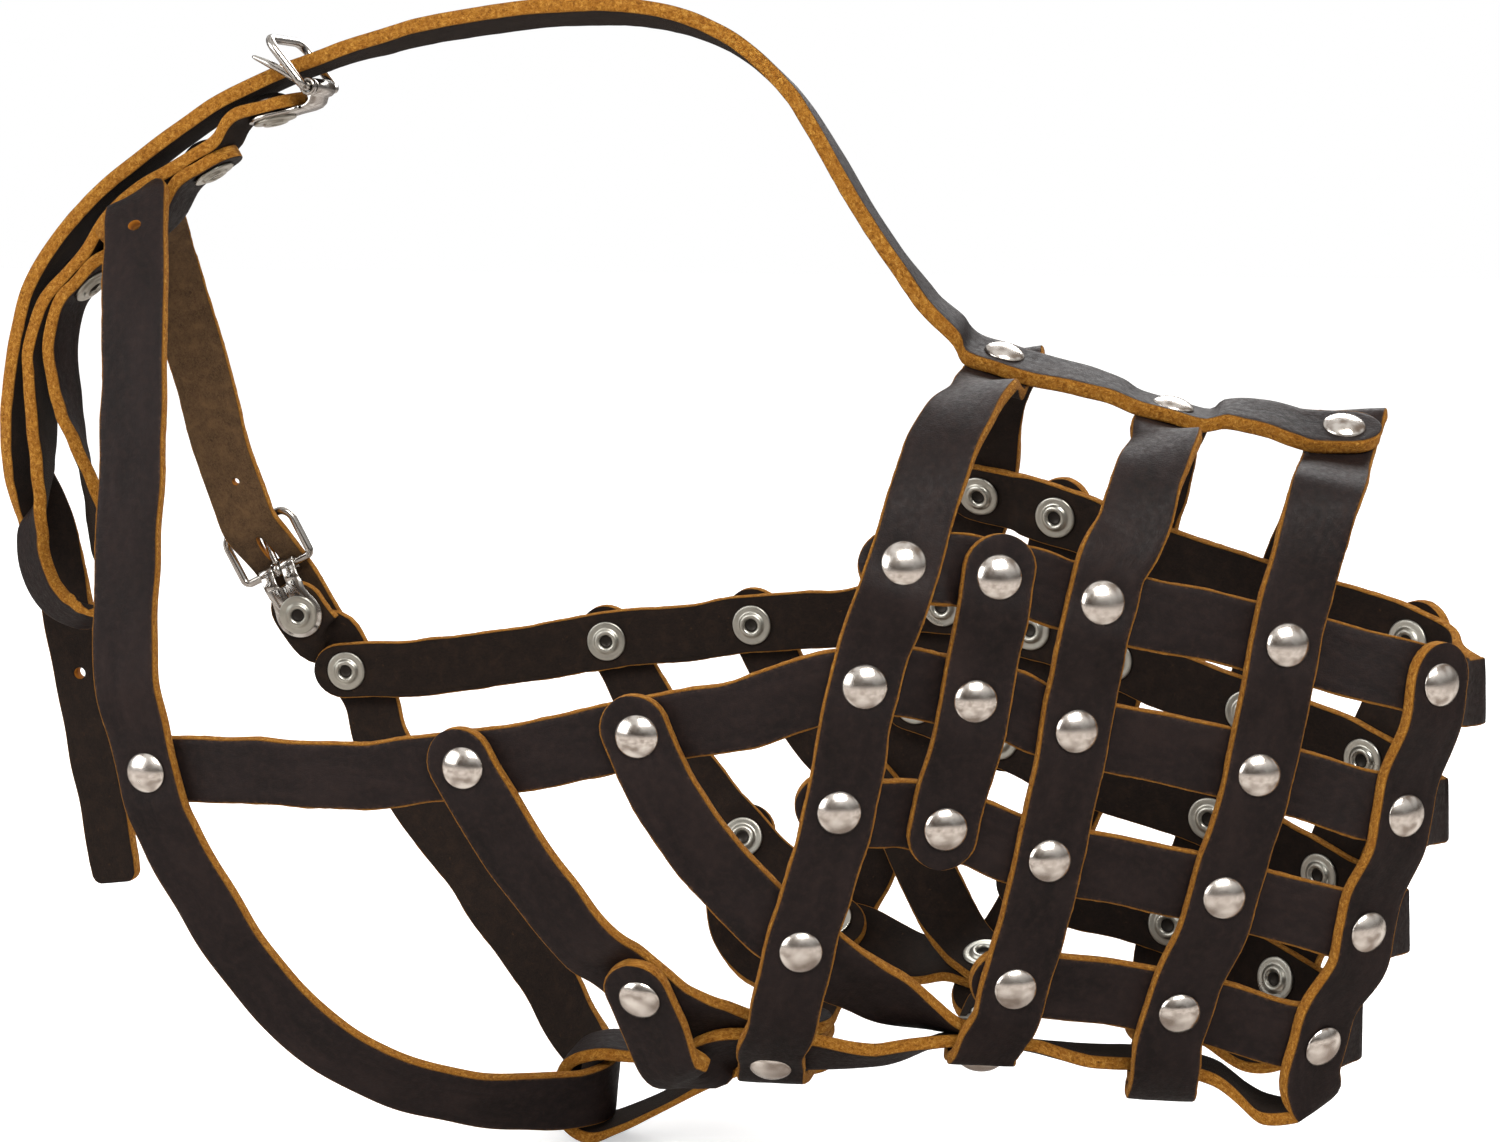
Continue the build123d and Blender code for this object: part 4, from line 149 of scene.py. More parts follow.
        (52.52, 44.91, 23.96, 0.339, 0.93, 0.14, 0), (51.25, 46.52, 16.33, 0.339, 0.93, 0.14, 0), (49.97, 48.14, 8.7, 0.339, 0.93, 0.14, 0),
        (47.53, 45.02, -3.93, 0.342, 0.94, 0, 0), (46.05, 45.55, -11.67, 0.342, 0.94, 0, 0), (44.57, 46.09, -19.41, 0.342, 0.94, 0, 0),
        (40.38, 43.92, -33.01, 0.342, 0.94, -0.02, 0), (38.21, 44.55, -40.58, 0.342, 0.94, -0.02, 0), (36.03, 45.18, -48.15, 0.342, 0.94, -0.02, 0),
        (29.47, 43.44, -63, 0.34, 0.933, -0.12, 0), (26.61, 43.53, -70.37, 0.34, 0.933, -0.12, 0), (23.76, 43.62, -77.74, 0.34, 0.933, -0.12, 0),
        (19.76, 41.4, -84.24, 0.252, 0.855, -0.453, 0), (15.8, 39.52, -90.02, 0.027, 0.311, -0.95, 0), (15.66, 32.01, -92.48, 0.027, 0.311, -0.95, 0),
        (15.52, 24.51, -94.94, 0.027, 0.311, -0.95, 0), (19.4, 17.5, -96.3, 0, 0.119, -0.993, 0), (20.57, 7.89, -94.5, 0, 0, -1, 0),
        (21, 0, -94.5, 0, 0, -1, 0), (21.43, -7.89, -94.5, 0, 0, -1, 0), (21, -12, -94.5, 0, 0, -1, 0),
    ],
    "front_hoop": [
        (60.5, 10.5, -101.4, 0, 0, -1, 0), (60.41, 7.9, -101.4, 0, 0, -1, 0), (60.5, 0, -101.4, 0, 0, -1, 0),
        (60.59, -7.9, -101.4, 0, 0, -1, 0), (60.8, -14.5, -100.7, 0, -0.119, -0.993, 0), (61.6, -24.5, -96.2, 0.05, -0.552, -0.833, 0),
        (62.6, -30.6, -88, 0.201, -0.932, -0.301, 0), (62.96, -31.93, -82.35, 0.291, -0.952, -0.1, 0), (65.04, -32.09, -74.73, 0.291, -0.952, -0.1, 0),
        (67.13, -32.26, -67.11, 0.291, -0.952, -0.1, 0), (71.86, -32.98, -55.89, 0.292, -0.956, -0.03, 0), (73.86, -32.61, -48.25, 0.292, -0.956, -0.03, 0),
        (75.85, -32.24, -40.62, 0.292, -0.956, -0.03, 0), (78.91, -33.54, -28.47, 0.292, -0.956, 0, 0), (80.32, -33.11, -20.71, 0.292, -0.956, 0, 0),
        (81.74, -32.68, -12.95, 0.292, -0.956, 0, 0), (83.84, -34.15, -0.11, 0.291, -0.953, 0.08, 0), (85.15, -33.1, 7.61, 0.291, -0.953, 0.08, 0),
        (86.47, -32.05, 15.33, 0.291, -0.953, 0.08, 0), (89.6, -29.2, 29, 0.251, -0.935, 0.251, 0), (92.8, -22.5, 39.5, 0.1, -0.752, 0.652, 0),
        (94.78, -4.42, 43.45, 0.081, -0.454, 0.887, 0), (96.07, 2.56, 46.91, 0.081, -0.454, 0.887, 0), (97.36, 9.55, 50.36, 0.081, -0.454, 0.887, 0),
        (98.6, 13, 52, -0.1, 0, 0.995, 0), (98, 23.5, 47.4, 0.05, 0.599, 0.799, 0), (94.8, 30, 36.5, 0.202, 0.931, 0.304, 0),
        (89.8, 32.2, 22, 0.272, 0.957, 0.101, 0), (87.09, 31.93, 15.09, 0.291, 0.953, 0.08, 0), (85.36, 33.1, 7.47, 0.291, 0.953, 0.08, 0),
        (83.64, 34.27, -0.15, 0.291, 0.953, 0.08, 0), (80.43, 32.54, -12.87, 0.292, 0.956, 0, 0), (78.57, 33.11, -20.52, 0.292, 0.956, 0, 0),
        (76.7, 33.68, -28.18, 0.292, 0.956, 0, 0), (72.83, 32.18, -39.62, 0.292, 0.956, -0.03, 0), (70.65, 32.61, -47.2, 0.292, 0.956, -0.03, 0),
        (68.47, 33.04, -54.78, 0.292, 0.956, -0.03, 0), (63.87, 32.25, -66.83, 0.291, 0.952, -0.1, 0), (61.76, 32.09, -74.45, 0.291, 0.952, -0.1, 0),
        (59.66, 31.94, -82.06, 0.291, 0.952, -0.1, 0), (59.01, 30.6, -87.91, 0.201, 0.932, -0.301, 0), (57.72, 24.5, -96.37, 0.05, 0.552, -0.833, 0),
        (60.6, 16, -98.2, 0, 0.148, -0.989, 0), (60.53, 7.9, -98.15, 0, 0, -1, 0), (60.5, 0, -98.15, 0, 0, -1, 0),
        (60.47, -7.9, -98.15, 0, 0, -1, 0), (60.5, -10.5, -98.15, 0, 0, -1, 0),
    ],
    "right_side_tie": [
        (26.8, -53.37, 24.84, 0.291, -0.952, 0.1, 0), (26.6, -53.59, 23.26, 0.291, -0.952, 0.1, 0), (25.63, -54.71, 15.5, 0.291, -0.952, 0.1, 0),
        (23.25, -52.2, 4.76, 0.292, -0.956, 0, 0), (21.92, -52.61, -3.01, 0.292, -0.956, 0, 0), (20.58, -53.02, -10.79, 0.292, -0.956, 0, 0),
        (17.11, -50.88, -23.68, 0.292, -0.956, -0.03, 0), (15.58, -51.11, -31.43, 0.292, -0.956, -0.03, 0), (15.27, -51.15, -33, 0.292, -0.956, -0.03, 0),
    ],
    "left_side_tie": [
        (30.6, 53.36, 24.26, 0.291, 0.952, 0.1, 0), (30.38, 53.59, 22.7, 0.291, 0.952, 0.1, 0), (29.29, 54.74, 14.95, 0.291, 0.952, 0.1, 0),
        (26.31, 52.16, 1.61, 0.292, 0.956, 0, 0), (24.83, 52.61, -6.14, 0.292, 0.956, 0, 0), (23.36, 53.06, -13.88, 0.292, 0.956, 0, 0),
        (19.44, 50.82, -26.61, 0.292, 0.956, -0.03, 0), (17.71, 51.11, -34.32, 0.292, 0.956, -0.03, 0), (17.36, 51.16, -35.88, 0.292, 0.956, -0.03, 0),
    ],
    "right_chin_strap": [
        (117.09, -24.37, 0.36, 0.615, -0.788, 0.03, 0), (116.93, -24.56, -1.22, 0.615, -0.788, 0.03, 0), (116.14, -25.47, -9.03, 0.615, -0.788, 0.03, 0),
        (112.02, -23.27, -22.34, 0.616, -0.788, 0, 0), (111.01, -24.06, -30.13, 0.616, -0.788, 0, 0), (110, -24.85, -37.93, 0.616, -0.788, 0, 0),
        (105.59, -22.27, -48.86, 0.615, -0.788, -0.03, 0), (104.2, -23.06, -56.6, 0.615, -0.788, -0.03, 0), (102.81, -23.85, -64.33, 0.615, -0.788, -0.03, 0),
        (97.11, -22.38, -75.69, 0.608, -0.778, -0.16, 0), (95.52, -22.03, -83.42, 0.608, -0.778, -0.16, 0), (93.94, -21.68, -91.15, 0.608, -0.778, -0.16, 0),
        (94.2, -19.6, -99.3, 0.622, -0.301, -0.723, 0), (84.8, -16.8, -101.6, 0.099, -0.099, -0.99, 0), (72.5, -15.6, -94.3, -0.219, -0.13, -0.967, 0),
        (60, -15.4, -92.5, -0.02, -0.148, -0.989, 0), (44, -21.5, -90.6, -0.02, -0.158, -0.987, 0), (29.19, -28.46, -86.2, 0.027, -0.311, -0.95, 0),
        (21.74, -31, -85.59, 0.027, -0.311, -0.95, 0), (14.28, -33.54, -84.97, 0.027, -0.311, -0.95, 0), (0, -37, -88.4, 0, -0.503, -0.865, 0),
        (-15.92, -40.12, -87.68, 0.047, -0.671, -0.74, 0), (-23.76, -41, -87.38, 0.047, -0.671, -0.74, 0), (-31.61, -41.88, -87.08, 0.047, -0.671, -0.74, 0),
        (-35.4, -42.4, -88.6, -0.121, -0.666, -0.736, 0), (-39.5, -44.6, -93, -0.152, -0.709, -0.689, 0), (-44.3, -49.6, -91.4, -0.101, -0.886, -0.453, 0),
        (-47.97, -52.93, -79.57, -0.05, -0.953, -0.3, 0), (-50.24, -55.1, -72.32, -0.05, -0.953, -0.3, 0), (-50.7, -55.53, -70.85, -0.05, -0.953, -0.3, 0),
    ],
    "left_chin_strap": [
        (116.29, 24.3, 1.12, 0.615, 0.788, 0.03, 0), (116.03, 24.56, -0.43, 0.615, 0.788, 0.03, 0), (114.73, 25.87, -8.12, 0.615, 0.788, 0.03, 0),
        (108.49, 22.96, -21.34, 0.616, 0.788, 0, 0), (107.08, 24.06, -29.03, 0.616, 0.788, 0, 0), (105.67, 25.16, -36.73, 0.616, 0.788, 0, 0),
        (99.75, 22.11, -49.41, 0.615, 0.788, -0.03, 0), (98.17, 23.06, -57.1, 0.615, 0.788, -0.03, 0), (96.58, 24.01, -64.78, 0.615, 0.788, -0.03, 0),
        (90.53, 22.37, -75.7, 0.608, 0.778, -0.16, 0), (88.94, 22.03, -83.43, 0.608, 0.778, -0.16, 0), (87.34, 21.68, -91.16, 0.608, 0.778, -0.16, 0),
        (88.16, 19.6, -99.32, 0.622, 0.301, -0.723, 0), (80.21, 16.8, -101.62, 0.099, 0.099, -0.99, 0), (69.25, 15.6, -94.29, -0.219, 0.13, -0.967, 0),
        (57.42, 15.4, -92.58, -0.02, 0.148, -0.989, 0), (39.69, 21.5, -92.2, -0.02, 0.158, -0.987, 0), (23.01, 28.42, -90.03, 0.027, 0.311, -0.95, 0),
        (15.57, 31, -89.39, 0.027, 0.311, -0.95, 0), (8.14, 33.58, -88.76, 0.027, 0.311, -0.95, 0), (-3.6, 37, -89.87, 0, 0.503, -0.865, 0),
        (-16.7, 39.57, -85.36, 0.047, 0.671, -0.74, 0), (-24.43, 41, -84.55, 0.047, 0.671, -0.74, 0), (-32.16, 42.43, -83.74, 0.047, 0.671, -0.74, 0),
        (-34.8, 42.6, -86.4, -0.151, 0.663, -0.733, 0), (-38, 44.5, -92.4, -0.201, 0.624, -0.755, 0), (-44, 47.5, -97, -0.298, 0.745, -0.596, 0),
        (-51.5, 50.5, -89, -0.15, 0.968, -0.2, 0), (-53.5, 52.3, -77, -0.05, 0.994, -0.1, 0), (-52.69, 52.7, -73.41, -0.05, 0.953, -0.3, 0),
        (-51.01, 55.1, -66.08, -0.05, 0.953, -0.3, 0), (-50.67, 55.58, -64.59, -0.05, 0.953, -0.3, 0),
    ],
    "right_rear_jaw_strap": [
        (-88.96, -60.72, -20, -0.035, -0.999, 0, 0), (-88.14, -60.75, -21.38, -0.035, -0.999, 0, 0), (-84.09, -60.89, -28.16, -0.035, -0.999, 0, 0),
        (-80, -60.5, -35, -0.04, -0.999, -0.02, 0), (-70.5, -59.5, -49, -0.05, -0.994, -0.1, 0), (-60.5, -57, -62, -0.05, -0.966, -0.252, 0),
        (-56.01, -53.28, -66.28, -0.05, -0.953, -0.3, 0), (-50.08, -52, -71.34, -0.05, -0.953, -0.3, 0), (-44.15, -50.72, -76.4, -0.05, -0.953, -0.3, 0),
        (-37.5, -46.5, -79.6, -0.02, -0.853, -0.522, 0), (-30.43, -42.32, -82.21, 0.047, -0.671, -0.74, 0), (-23.92, -38.82, -84.98, 0.047, -0.671, -0.74, 0),
        (-22.6, -38.11, -85.54, 0.047, -0.671, -0.74, 0),
    ],
    "left_rear_jaw_strap": [
        (-89.71, 60.72, -13.7, -0.035, 0.999, 0, 0), (-88.91, 60.75, -15.08, -0.035, 0.999, 0, 0), (-84.95, 60.89, -21.92, -0.035, 0.999, 0, 0),
        (-80.63, 60.5, -29.34, -0.04, 0.999, -0.02, 0), (-70.92, 59.5, -44.38, -0.05, 0.994, -0.1, 0), (-61.16, 57, -56.27, -0.05, 0.966, -0.252, 0),
        (-56.73, 53.3, -59.99, -0.05, 0.953, -0.3, 0), (-50.85, 52, -65.1, -0.05, 0.953, -0.3, 0), (-44.96, 50.7, -70.21, -0.05, 0.953, -0.3, 0),
        (-38.11, 46.5, -74.3, -0.02, 0.853, -0.522, 0), (-30.71, 42.7, -79.01, 0.047, 0.671, -0.74, 0), (-24.58, 38.82, -82.15, 0.047, 0.671, -0.74, 0),
        (-23.34, 38.03, -82.78, 0.047, 0.671, -0.74, 0),
    ],
    "right_front_jaw_strap": [
        (-49.66, -61.24, -10.85, 0.035, -0.999, 0.02, 0), (-48.97, -61.25, -12.3, 0.035, -0.999, 0.02, 0), (-45.58, -61.27, -19.43, 0.035, -0.999, 0.02, 0),
        (-42, -60.9, -27, 0.03, -1, 0, 0), (-31.5, -58.6, -42, 0.121, -0.989, -0.081, 0), (-20.49, -57.04, -52.75, 0.24, -0.963, -0.12, 0),
        (-14.87, -55, -57.91, 0.24, -0.963, -0.12, 0), (-9.25, -52.96, -63.07, 0.24, -0.963, -0.12, 0), (0, -44.2, -71.2, 0.201, -0.853, -0.482, 0),
        (15.46, -34.71, -81.13, 0.027, -0.311, -0.95, 0), (21.65, -29.99, -82.5, 0.027, -0.311, -0.95, 0), (22.9, -29.03, -82.77, 0.027, -0.311, -0.95, 0),
    ],
    "left_front_jaw_strap": [
        (-50.09, 61.24, -7.73, 0.035, 0.999, 0.02, 0), (-49.4, 61.25, -9.18, 0.035, 0.999, 0.02, 0), (-46.02, 61.27, -16.32, 0.035, 0.999, 0.02, 0),
        (-42.14, 60.9, -24.51, 0.03, 1, 0, 0), (-31.17, 58.6, -40, 0.121, 0.989, -0.081, 0), (-19.61, 57.02, -49.18, 0.24, 0.963, -0.12, 0),
        (-14.22, 55, -54.58, 0.24, 0.963, -0.12, 0), (-8.82, 52.98, -59.99, 0.24, 0.963, -0.12, 0), (-1.1, 44.2, -70.46, 0.201, 0.853, -0.482, 0),
        (10.26, 35.66, -84.6, 0.027, 0.311, -0.95, 0), (15.49, 29.99, -86.31, 0.027, 0.311, -0.95, 0), (16.55, 28.84, -86.65, 0.027, 0.311, -0.95, 0),
    ],
    "chin_loop": [
        (-25.4, 0, -104.75, 0, 0, -1, 0), (-27, 0, -104.75, 0, 0, -1, 0), (-34.9, 0, -104.75, 0, 0, -1, 0),
        (-44, 0, -109, -0.301, 0, -0.954, 0), (-57, 0, -116.8, -0.498, 0, -0.867, 0), (-68.5, 0, -123.4, -0.419, 0, -0.908, 0),
        (-77, 0, -126.6, -0.2, 0, -0.98, 0), (-82.4, 0, -123.4, -0.8, 0, -0.6, 0), (-84.2, 0, -115.6, -1, 0, 0, 0),
        (-81.8, 0, -108.2, -0.751, 0, 0.661, 0), (-75, 0, -105, 0, 0, 1, 0), (-65, 0, -104.9, 0.12, 0, 0.993, 0),
        (-51, 0, -102.2, 0.301, 0, 0.954, 0), (-40, 0, -97.6, 0.301, 0, 0.954, 0), (-34.9, 0, -95, 0, 0, 1, 0),
        (-27, 0, -95, 0, 0, 1, 0), (-25.4, 0, -95, 0, 0, 1, 0),
    ],
    "crown_strap": [
        (97.91, 1.32, 49.77, 0.081, -0.454, 0.887, 0), (96.33, 1.09, 49.79, 0.081, -0.454, 0.887, 0), (88.51, -0.07, 49.91, 0.081, -0.454, 0.887, 0),
        (86.2, -0.7, 50.5, 0.229, -0.379, 0.897, 0), (81, -0.3, 52.2, 0.223, -0.345, 0.912, 0), (76, 0, 53, 0.05, -0.301, 0.952, 0),
        (70.2, 0, 53.2, 0.1, -0.201, 0.974, 0), (66.53, 0.28, 51.64, 0.241, -0.101, 0.965, 0), (58.86, 0.24, 53.56, 0.241, -0.101, 0.965, 0),
        (51.2, 0.2, 55.47, 0.241, -0.101, 0.965, 0), (46.8, 0, 57.7, 0.281, -0.171, 0.944, 0), (38, 0, 60.3, 0.279, -0.249, 0.927, 0),
        (28.36, 0.51, 62.46, 0.269, -0.299, 0.916, 0), (20.8, 0.72, 64.75, 0.269, -0.299, 0.916, 0), (13.24, 0.92, 67.03, 0.269, -0.299, 0.916, 0),
        (10.5, 0, 71.2, 0.52, -0.16, 0.839, 0), (3.4, 0, 77.6, 0.705, -0.081, 0.705, 0), (-4.1, 0, 87.2, 0.821, 0, 0.571, 0),
        (-10.4, 0, 96.4, 0.865, 0, 0.503, 0), (-16.4, 0, 106.6, 0.871, 0, 0.491, 0), (-22.2, 0, 116, 0.841, 0.04, 0.54, 0),
        (-28.4, 0, 124.2, 0.758, 0.08, 0.648, 0), (-35.8, 0, 131.2, 0.618, 0.12, 0.777, 0), (-43.8, 0, 136.6, 0.474, 0.148, 0.868, 0),
        (-51.8, 0, 140.1, 0.296, 0.178, 0.938, 0), (-61.2, 0, 142.2, -0.128, 0.187, 0.974, 0), (-71.9, 0, 143, -0.02, 0.187, 0.982, 0),
        (-84, 0, 142.7, -0.049, 0.186, 0.981, 0), (-98.4, 0.3, 141.6, -0.098, 0.176, 0.979, 0), (-114.7, 0.8, 139.4, -0.169, 0.149, 0.974, 0),
        (-127.2, 1.3, 136.6, -0.249, 0.08, 0.965, 0), (-139.8, 1.5, 133.1, -0.301, 0, 0.954, 0), (-148.7, 1.5, 130.3, -0.34, 0, 0.94, 0),
        (-159.1, 1.2, 126.1, -0.402, 0, 0.915, 0), (-168, 0.6, 121.7, -0.471, 0, 0.882, 0), (-181, 0, 113.2, -0.559, 0, 0.829, 0),
        (-195, 0, 103.4, -0.622, 0, 0.783, 0), (-208.1, 0, 91, -0.741, 0, 0.671, 0), (-217.2, 0, 77.6, -0.867, 0, 0.498, 0),
        (-220.13, 0.2, 69.85, -0.953, 0, 0.303, 0), (-222.02, 0.6, 62.46, -0.976, 0.029, 0.216, 0), (-223.44, 1.18, 54.77, -0.984, 0.079, 0.161, 0),
        (-224.55, 2.14, 46.25, -0.984, 0.139, 0.11, 0), (-224.98, 3.41, 38.12, -0.969, 0.24, 0.051, 0), (-224.61, 5.16, 30.87, -0.933, 0.361, 0.007, 0),
        (-223.55, 7.38, 23.76, -0.829, 0.558, 0.034, 0), (-222.36, 9.42, 15.96, -0.626, 0.777, 0.062, 0), (-221.04, 10.72, 7.1, -0.365, 0.93, 0.031, 0),
        (-219.54, 11.18, -3.3, -0.124, 0.992, 0.008, 0), (-217.59, 11.32, -14.52, -0.049, 0.999, -0.008, 0), (-214.98, 11.19, -30.19, -0.027, 0.999, -0.017, 0),
        (-212.39, 10.93, -45.91, -0.015, 1, -0.025, 0), (-210.27, 10.53, -60.02, -0.015, 0.999, -0.028, 0), (-209.03, 10.33, -69.01, -0.016, 1, -0.024, 0),
    ],
    "crown_loop_strap": [
        (-151.87, 0, 122.39, -0.235, 0, 0.972, 0), (-154.3, 0, 121.8, -0.235, 0, 0.972, 0), (-161.01, 0, 120.18, -0.235, 0, 0.972, 0),
        (-163.5, 0, 118.2, -0.423, 0, 0.906, 0), (-166.22, 0, 114.05, -0.5, 0, 0.866, 0), (-172.2, 0, 110.6, -0.5, 0, 0.866, 0),
        (-178.18, 0, 107.15, -0.5, 0, 0.866, 0), (-184.6, 0, 103.8, -0.552, 0, 0.834, 0), (-195.5, 0, 95.6, -0.622, 0, 0.783, 0),
        (-201.07, 0, 87.63, -0.7, 0, 0.714, 0), (-206, 0, 82.8, -0.7, 0, 0.714, 0), (-210.93, 0, 77.97, -0.7, 0, 0.714, 0),
        (-213.4, 0, 74.3, -0.865, 0, 0.503, 0), (-217.6, 0, 63, -0.975, 0, 0.221, 0), (-217.31, -0.8, 55.29, -0.999, -0.03, -0.031, 0),
        (-216.97, -1.85, 44.35, -0.993, -0.12, -0.007, 0), (-216.93, -2.73, 34.59, -0.964, -0.261, 0.051, 0), (-217.59, -3.16, 25.94, -0.885, -0.433, 0.172, 0),
        (-219.57, -4.26, 17.15, -0.619, -0.779, 0.096, 0), (-218.68, -4.31, 9.5, -0.55, -0.82, -0.16, 0), (-215.35, -4.23, 2.52, -0.45, -0.803, -0.39, 0),
        (-210.07, -3.87, -1.35, -0.24, -0.688, -0.685, 0), (-204.77, -3.54, -1.88, 0.229, -0.401, -0.887, 0), (-200.78, -3.44, 0.85, 0.822, 0.236, -0.518, 0),
        (-199.31, -3.86, 6.64, 0.797, 0.604, -0.009, 0), (-199.75, -4.6, 14.16, 0.687, 0.717, 0.121, 0), (-201.39, -4.47, 22.02, 0.706, 0.696, 0.127, 0),
        (-203.48, -3.72, 30.06, 0.799, 0.572, 0.185, 0), (-206.88, -2.54, 39.72, 0.885, 0.385, 0.261, 0), (-209.58, -1.43, 47.41, 0.95, 0.194, 0.245, 0),
        (-211.14, -0.51, 54.64, 0.996, 0.06, 0.063, 0), (-211.7, 0, 65.5, 0.98, 0, -0.201, 0), (-208.65, 0, 75.65, 0.7, 0, -0.714, 0),
        (-203.72, 0, 80.48, 0.7, 0, -0.714, 0), (-198.8, 0, 85.31, 0.7, 0, -0.714, 0), (-192.6, 0, 88.4, 0.622, 0, -0.783, 0),
        (-181.8, 0, 96.4, 0.552, 0, -0.834, 0), (-176.55, 0, 104.34, 0.5, 0, -0.866, 0), (-170.57, 0, 107.79, 0.5, 0, -0.866, 0),
        (-169.19, 0, 108.59, 0.5, 0, -0.866, 0),
    ],
    "neck_throat_strap": [
        (-172.37, 49.86, -8.34, -0.101, 0.992, 0.073, 0), (-171.8, 50, -9.5, -0.101, 0.992, 0.073, 0), (-167.15, 50.94, -15.82, -0.101, 0.992, 0.073, 0),
        (-165.02, 55.41, -16.93, -0.07, 0.998, 0, 0), (-160.21, 55.74, -25.11, -0.07, 0.998, 0, 0), (-155.4, 56.08, -33.3, -0.07, 0.998, 0, 0),
        (-151.5, 53.7, -44.3, -0.1, 0.995, 0, 0), (-138.3, 47.5, -59.5, -0.081, 0.997, 0, 0), (-123.7, 42, -74, -0.051, 0.987, -0.153, 0),
        (-110.9, 36, -87.2, 0, 0.967, -0.254, 0), (-98.4, 28.5, -97.5, 0.051, 0.95, -0.307, 0), (-88, 20, -108.2, 0.202, 0.938, -0.282, 0),
        (-79, 11, -113.6, 0.45, 0.88, -0.15, 0), (-74.3, 5.4, -115.4, 0.849, 0.519, -0.1, 0), (-73, 0, -115.8, 0.997, 0, -0.08, 0),
        (-74.3, -5.4, -115.7, 0.849, -0.519, -0.1, 0), (-79.4, -11.2, -115.5, 0.497, -0.855, -0.149, 0), (-89, -18, -113.8, 0.252, -0.947, -0.201, 0),
        (-102, -27.8, -110.2, 0.061, -0.963, -0.263, 0), (-117.5, -36.5, -103.2, 0, -0.979, -0.202, 0), (-132.8, -43.5, -90.8, -0.04, -0.992, -0.121, 0),
        (-145.8, -48, -74.2, -0.05, -0.997, -0.05, 0), (-155.5, -51.6, -56, -0.06, -0.998, 0, 0), (-161.2, -54.5, -42, -0.07, -0.998, 0, 0),
        (-162.94, -55.88, -36.28, -0.07, -0.998, 0, 0), (-164.98, -55.74, -27.52, -0.07, -0.998, 0, 0), (-167.03, -55.6, -18.75, -0.07, -0.998, 0, 0),
        (-169.5, -55.9, -7, -0.02, -1, 0.02, 0), (-170, -53.4, 11.3, 0.02, -0.997, 0.071, 0), (-169.9, -49.2, 33.5, 0.051, -0.99, 0.131, 0),
        (-170.9, -44.6, 51.1, 0.061, -0.977, 0.204, 0), (-172.9, -38.5, 67.6, 0.081, -0.955, 0.285, 0), (-176.1, -30.5, 82, 0.082, -0.918, 0.388, 0),
        (-179.8, -21.5, 93.7, 0.051, -0.818, 0.573, 0), (-183.2, -13.4, 100.6, -0.183, -0.507, 0.842, 0), (-190.2, -6.6, 95.2, -0.588, -0.06, 0.807, 0),
        (-188.6, 0, 96, -0.6, 0, 0.8, 0), (-189.6, 7, 94.7, -0.574, 0.141, 0.806, 0), (-192.2, 18, 87.8, -0.48, 0.6, 0.64, 0),
        (-193.4, 28.5, 73.8, -0.361, 0.851, 0.381, 0), (-192.2, 36.6, 57, -0.252, 0.947, 0.201, 0), (-190.4, 41.4, 40.1, -0.171, 0.978, 0.121, 0),
        (-187.71, 43.81, 26.76, -0.101, 0.992, 0.073, 0), (-185.41, 44.33, 20.11, -0.101, 0.992, 0.073, 0), (-183.5, 45.14, 14.42, -0.178, 0.957, 0.229, 0),
        (-180.93, 48.73, 8.84, -0.288, 0.838, 0.463, 0), (-178, 53.23, 2.42, -0.205, 0.936, 0.286, 0), (-175.04, 55.19, -3.73, -0.101, 0.992, 0.073, 0),
        (-172.41, 55.95, -9.06, -0.101, 0.992, 0.073, 0), (-170.22, 56.6, -13.51, -0.101, 0.992, 0.073, 0),
    ],
}
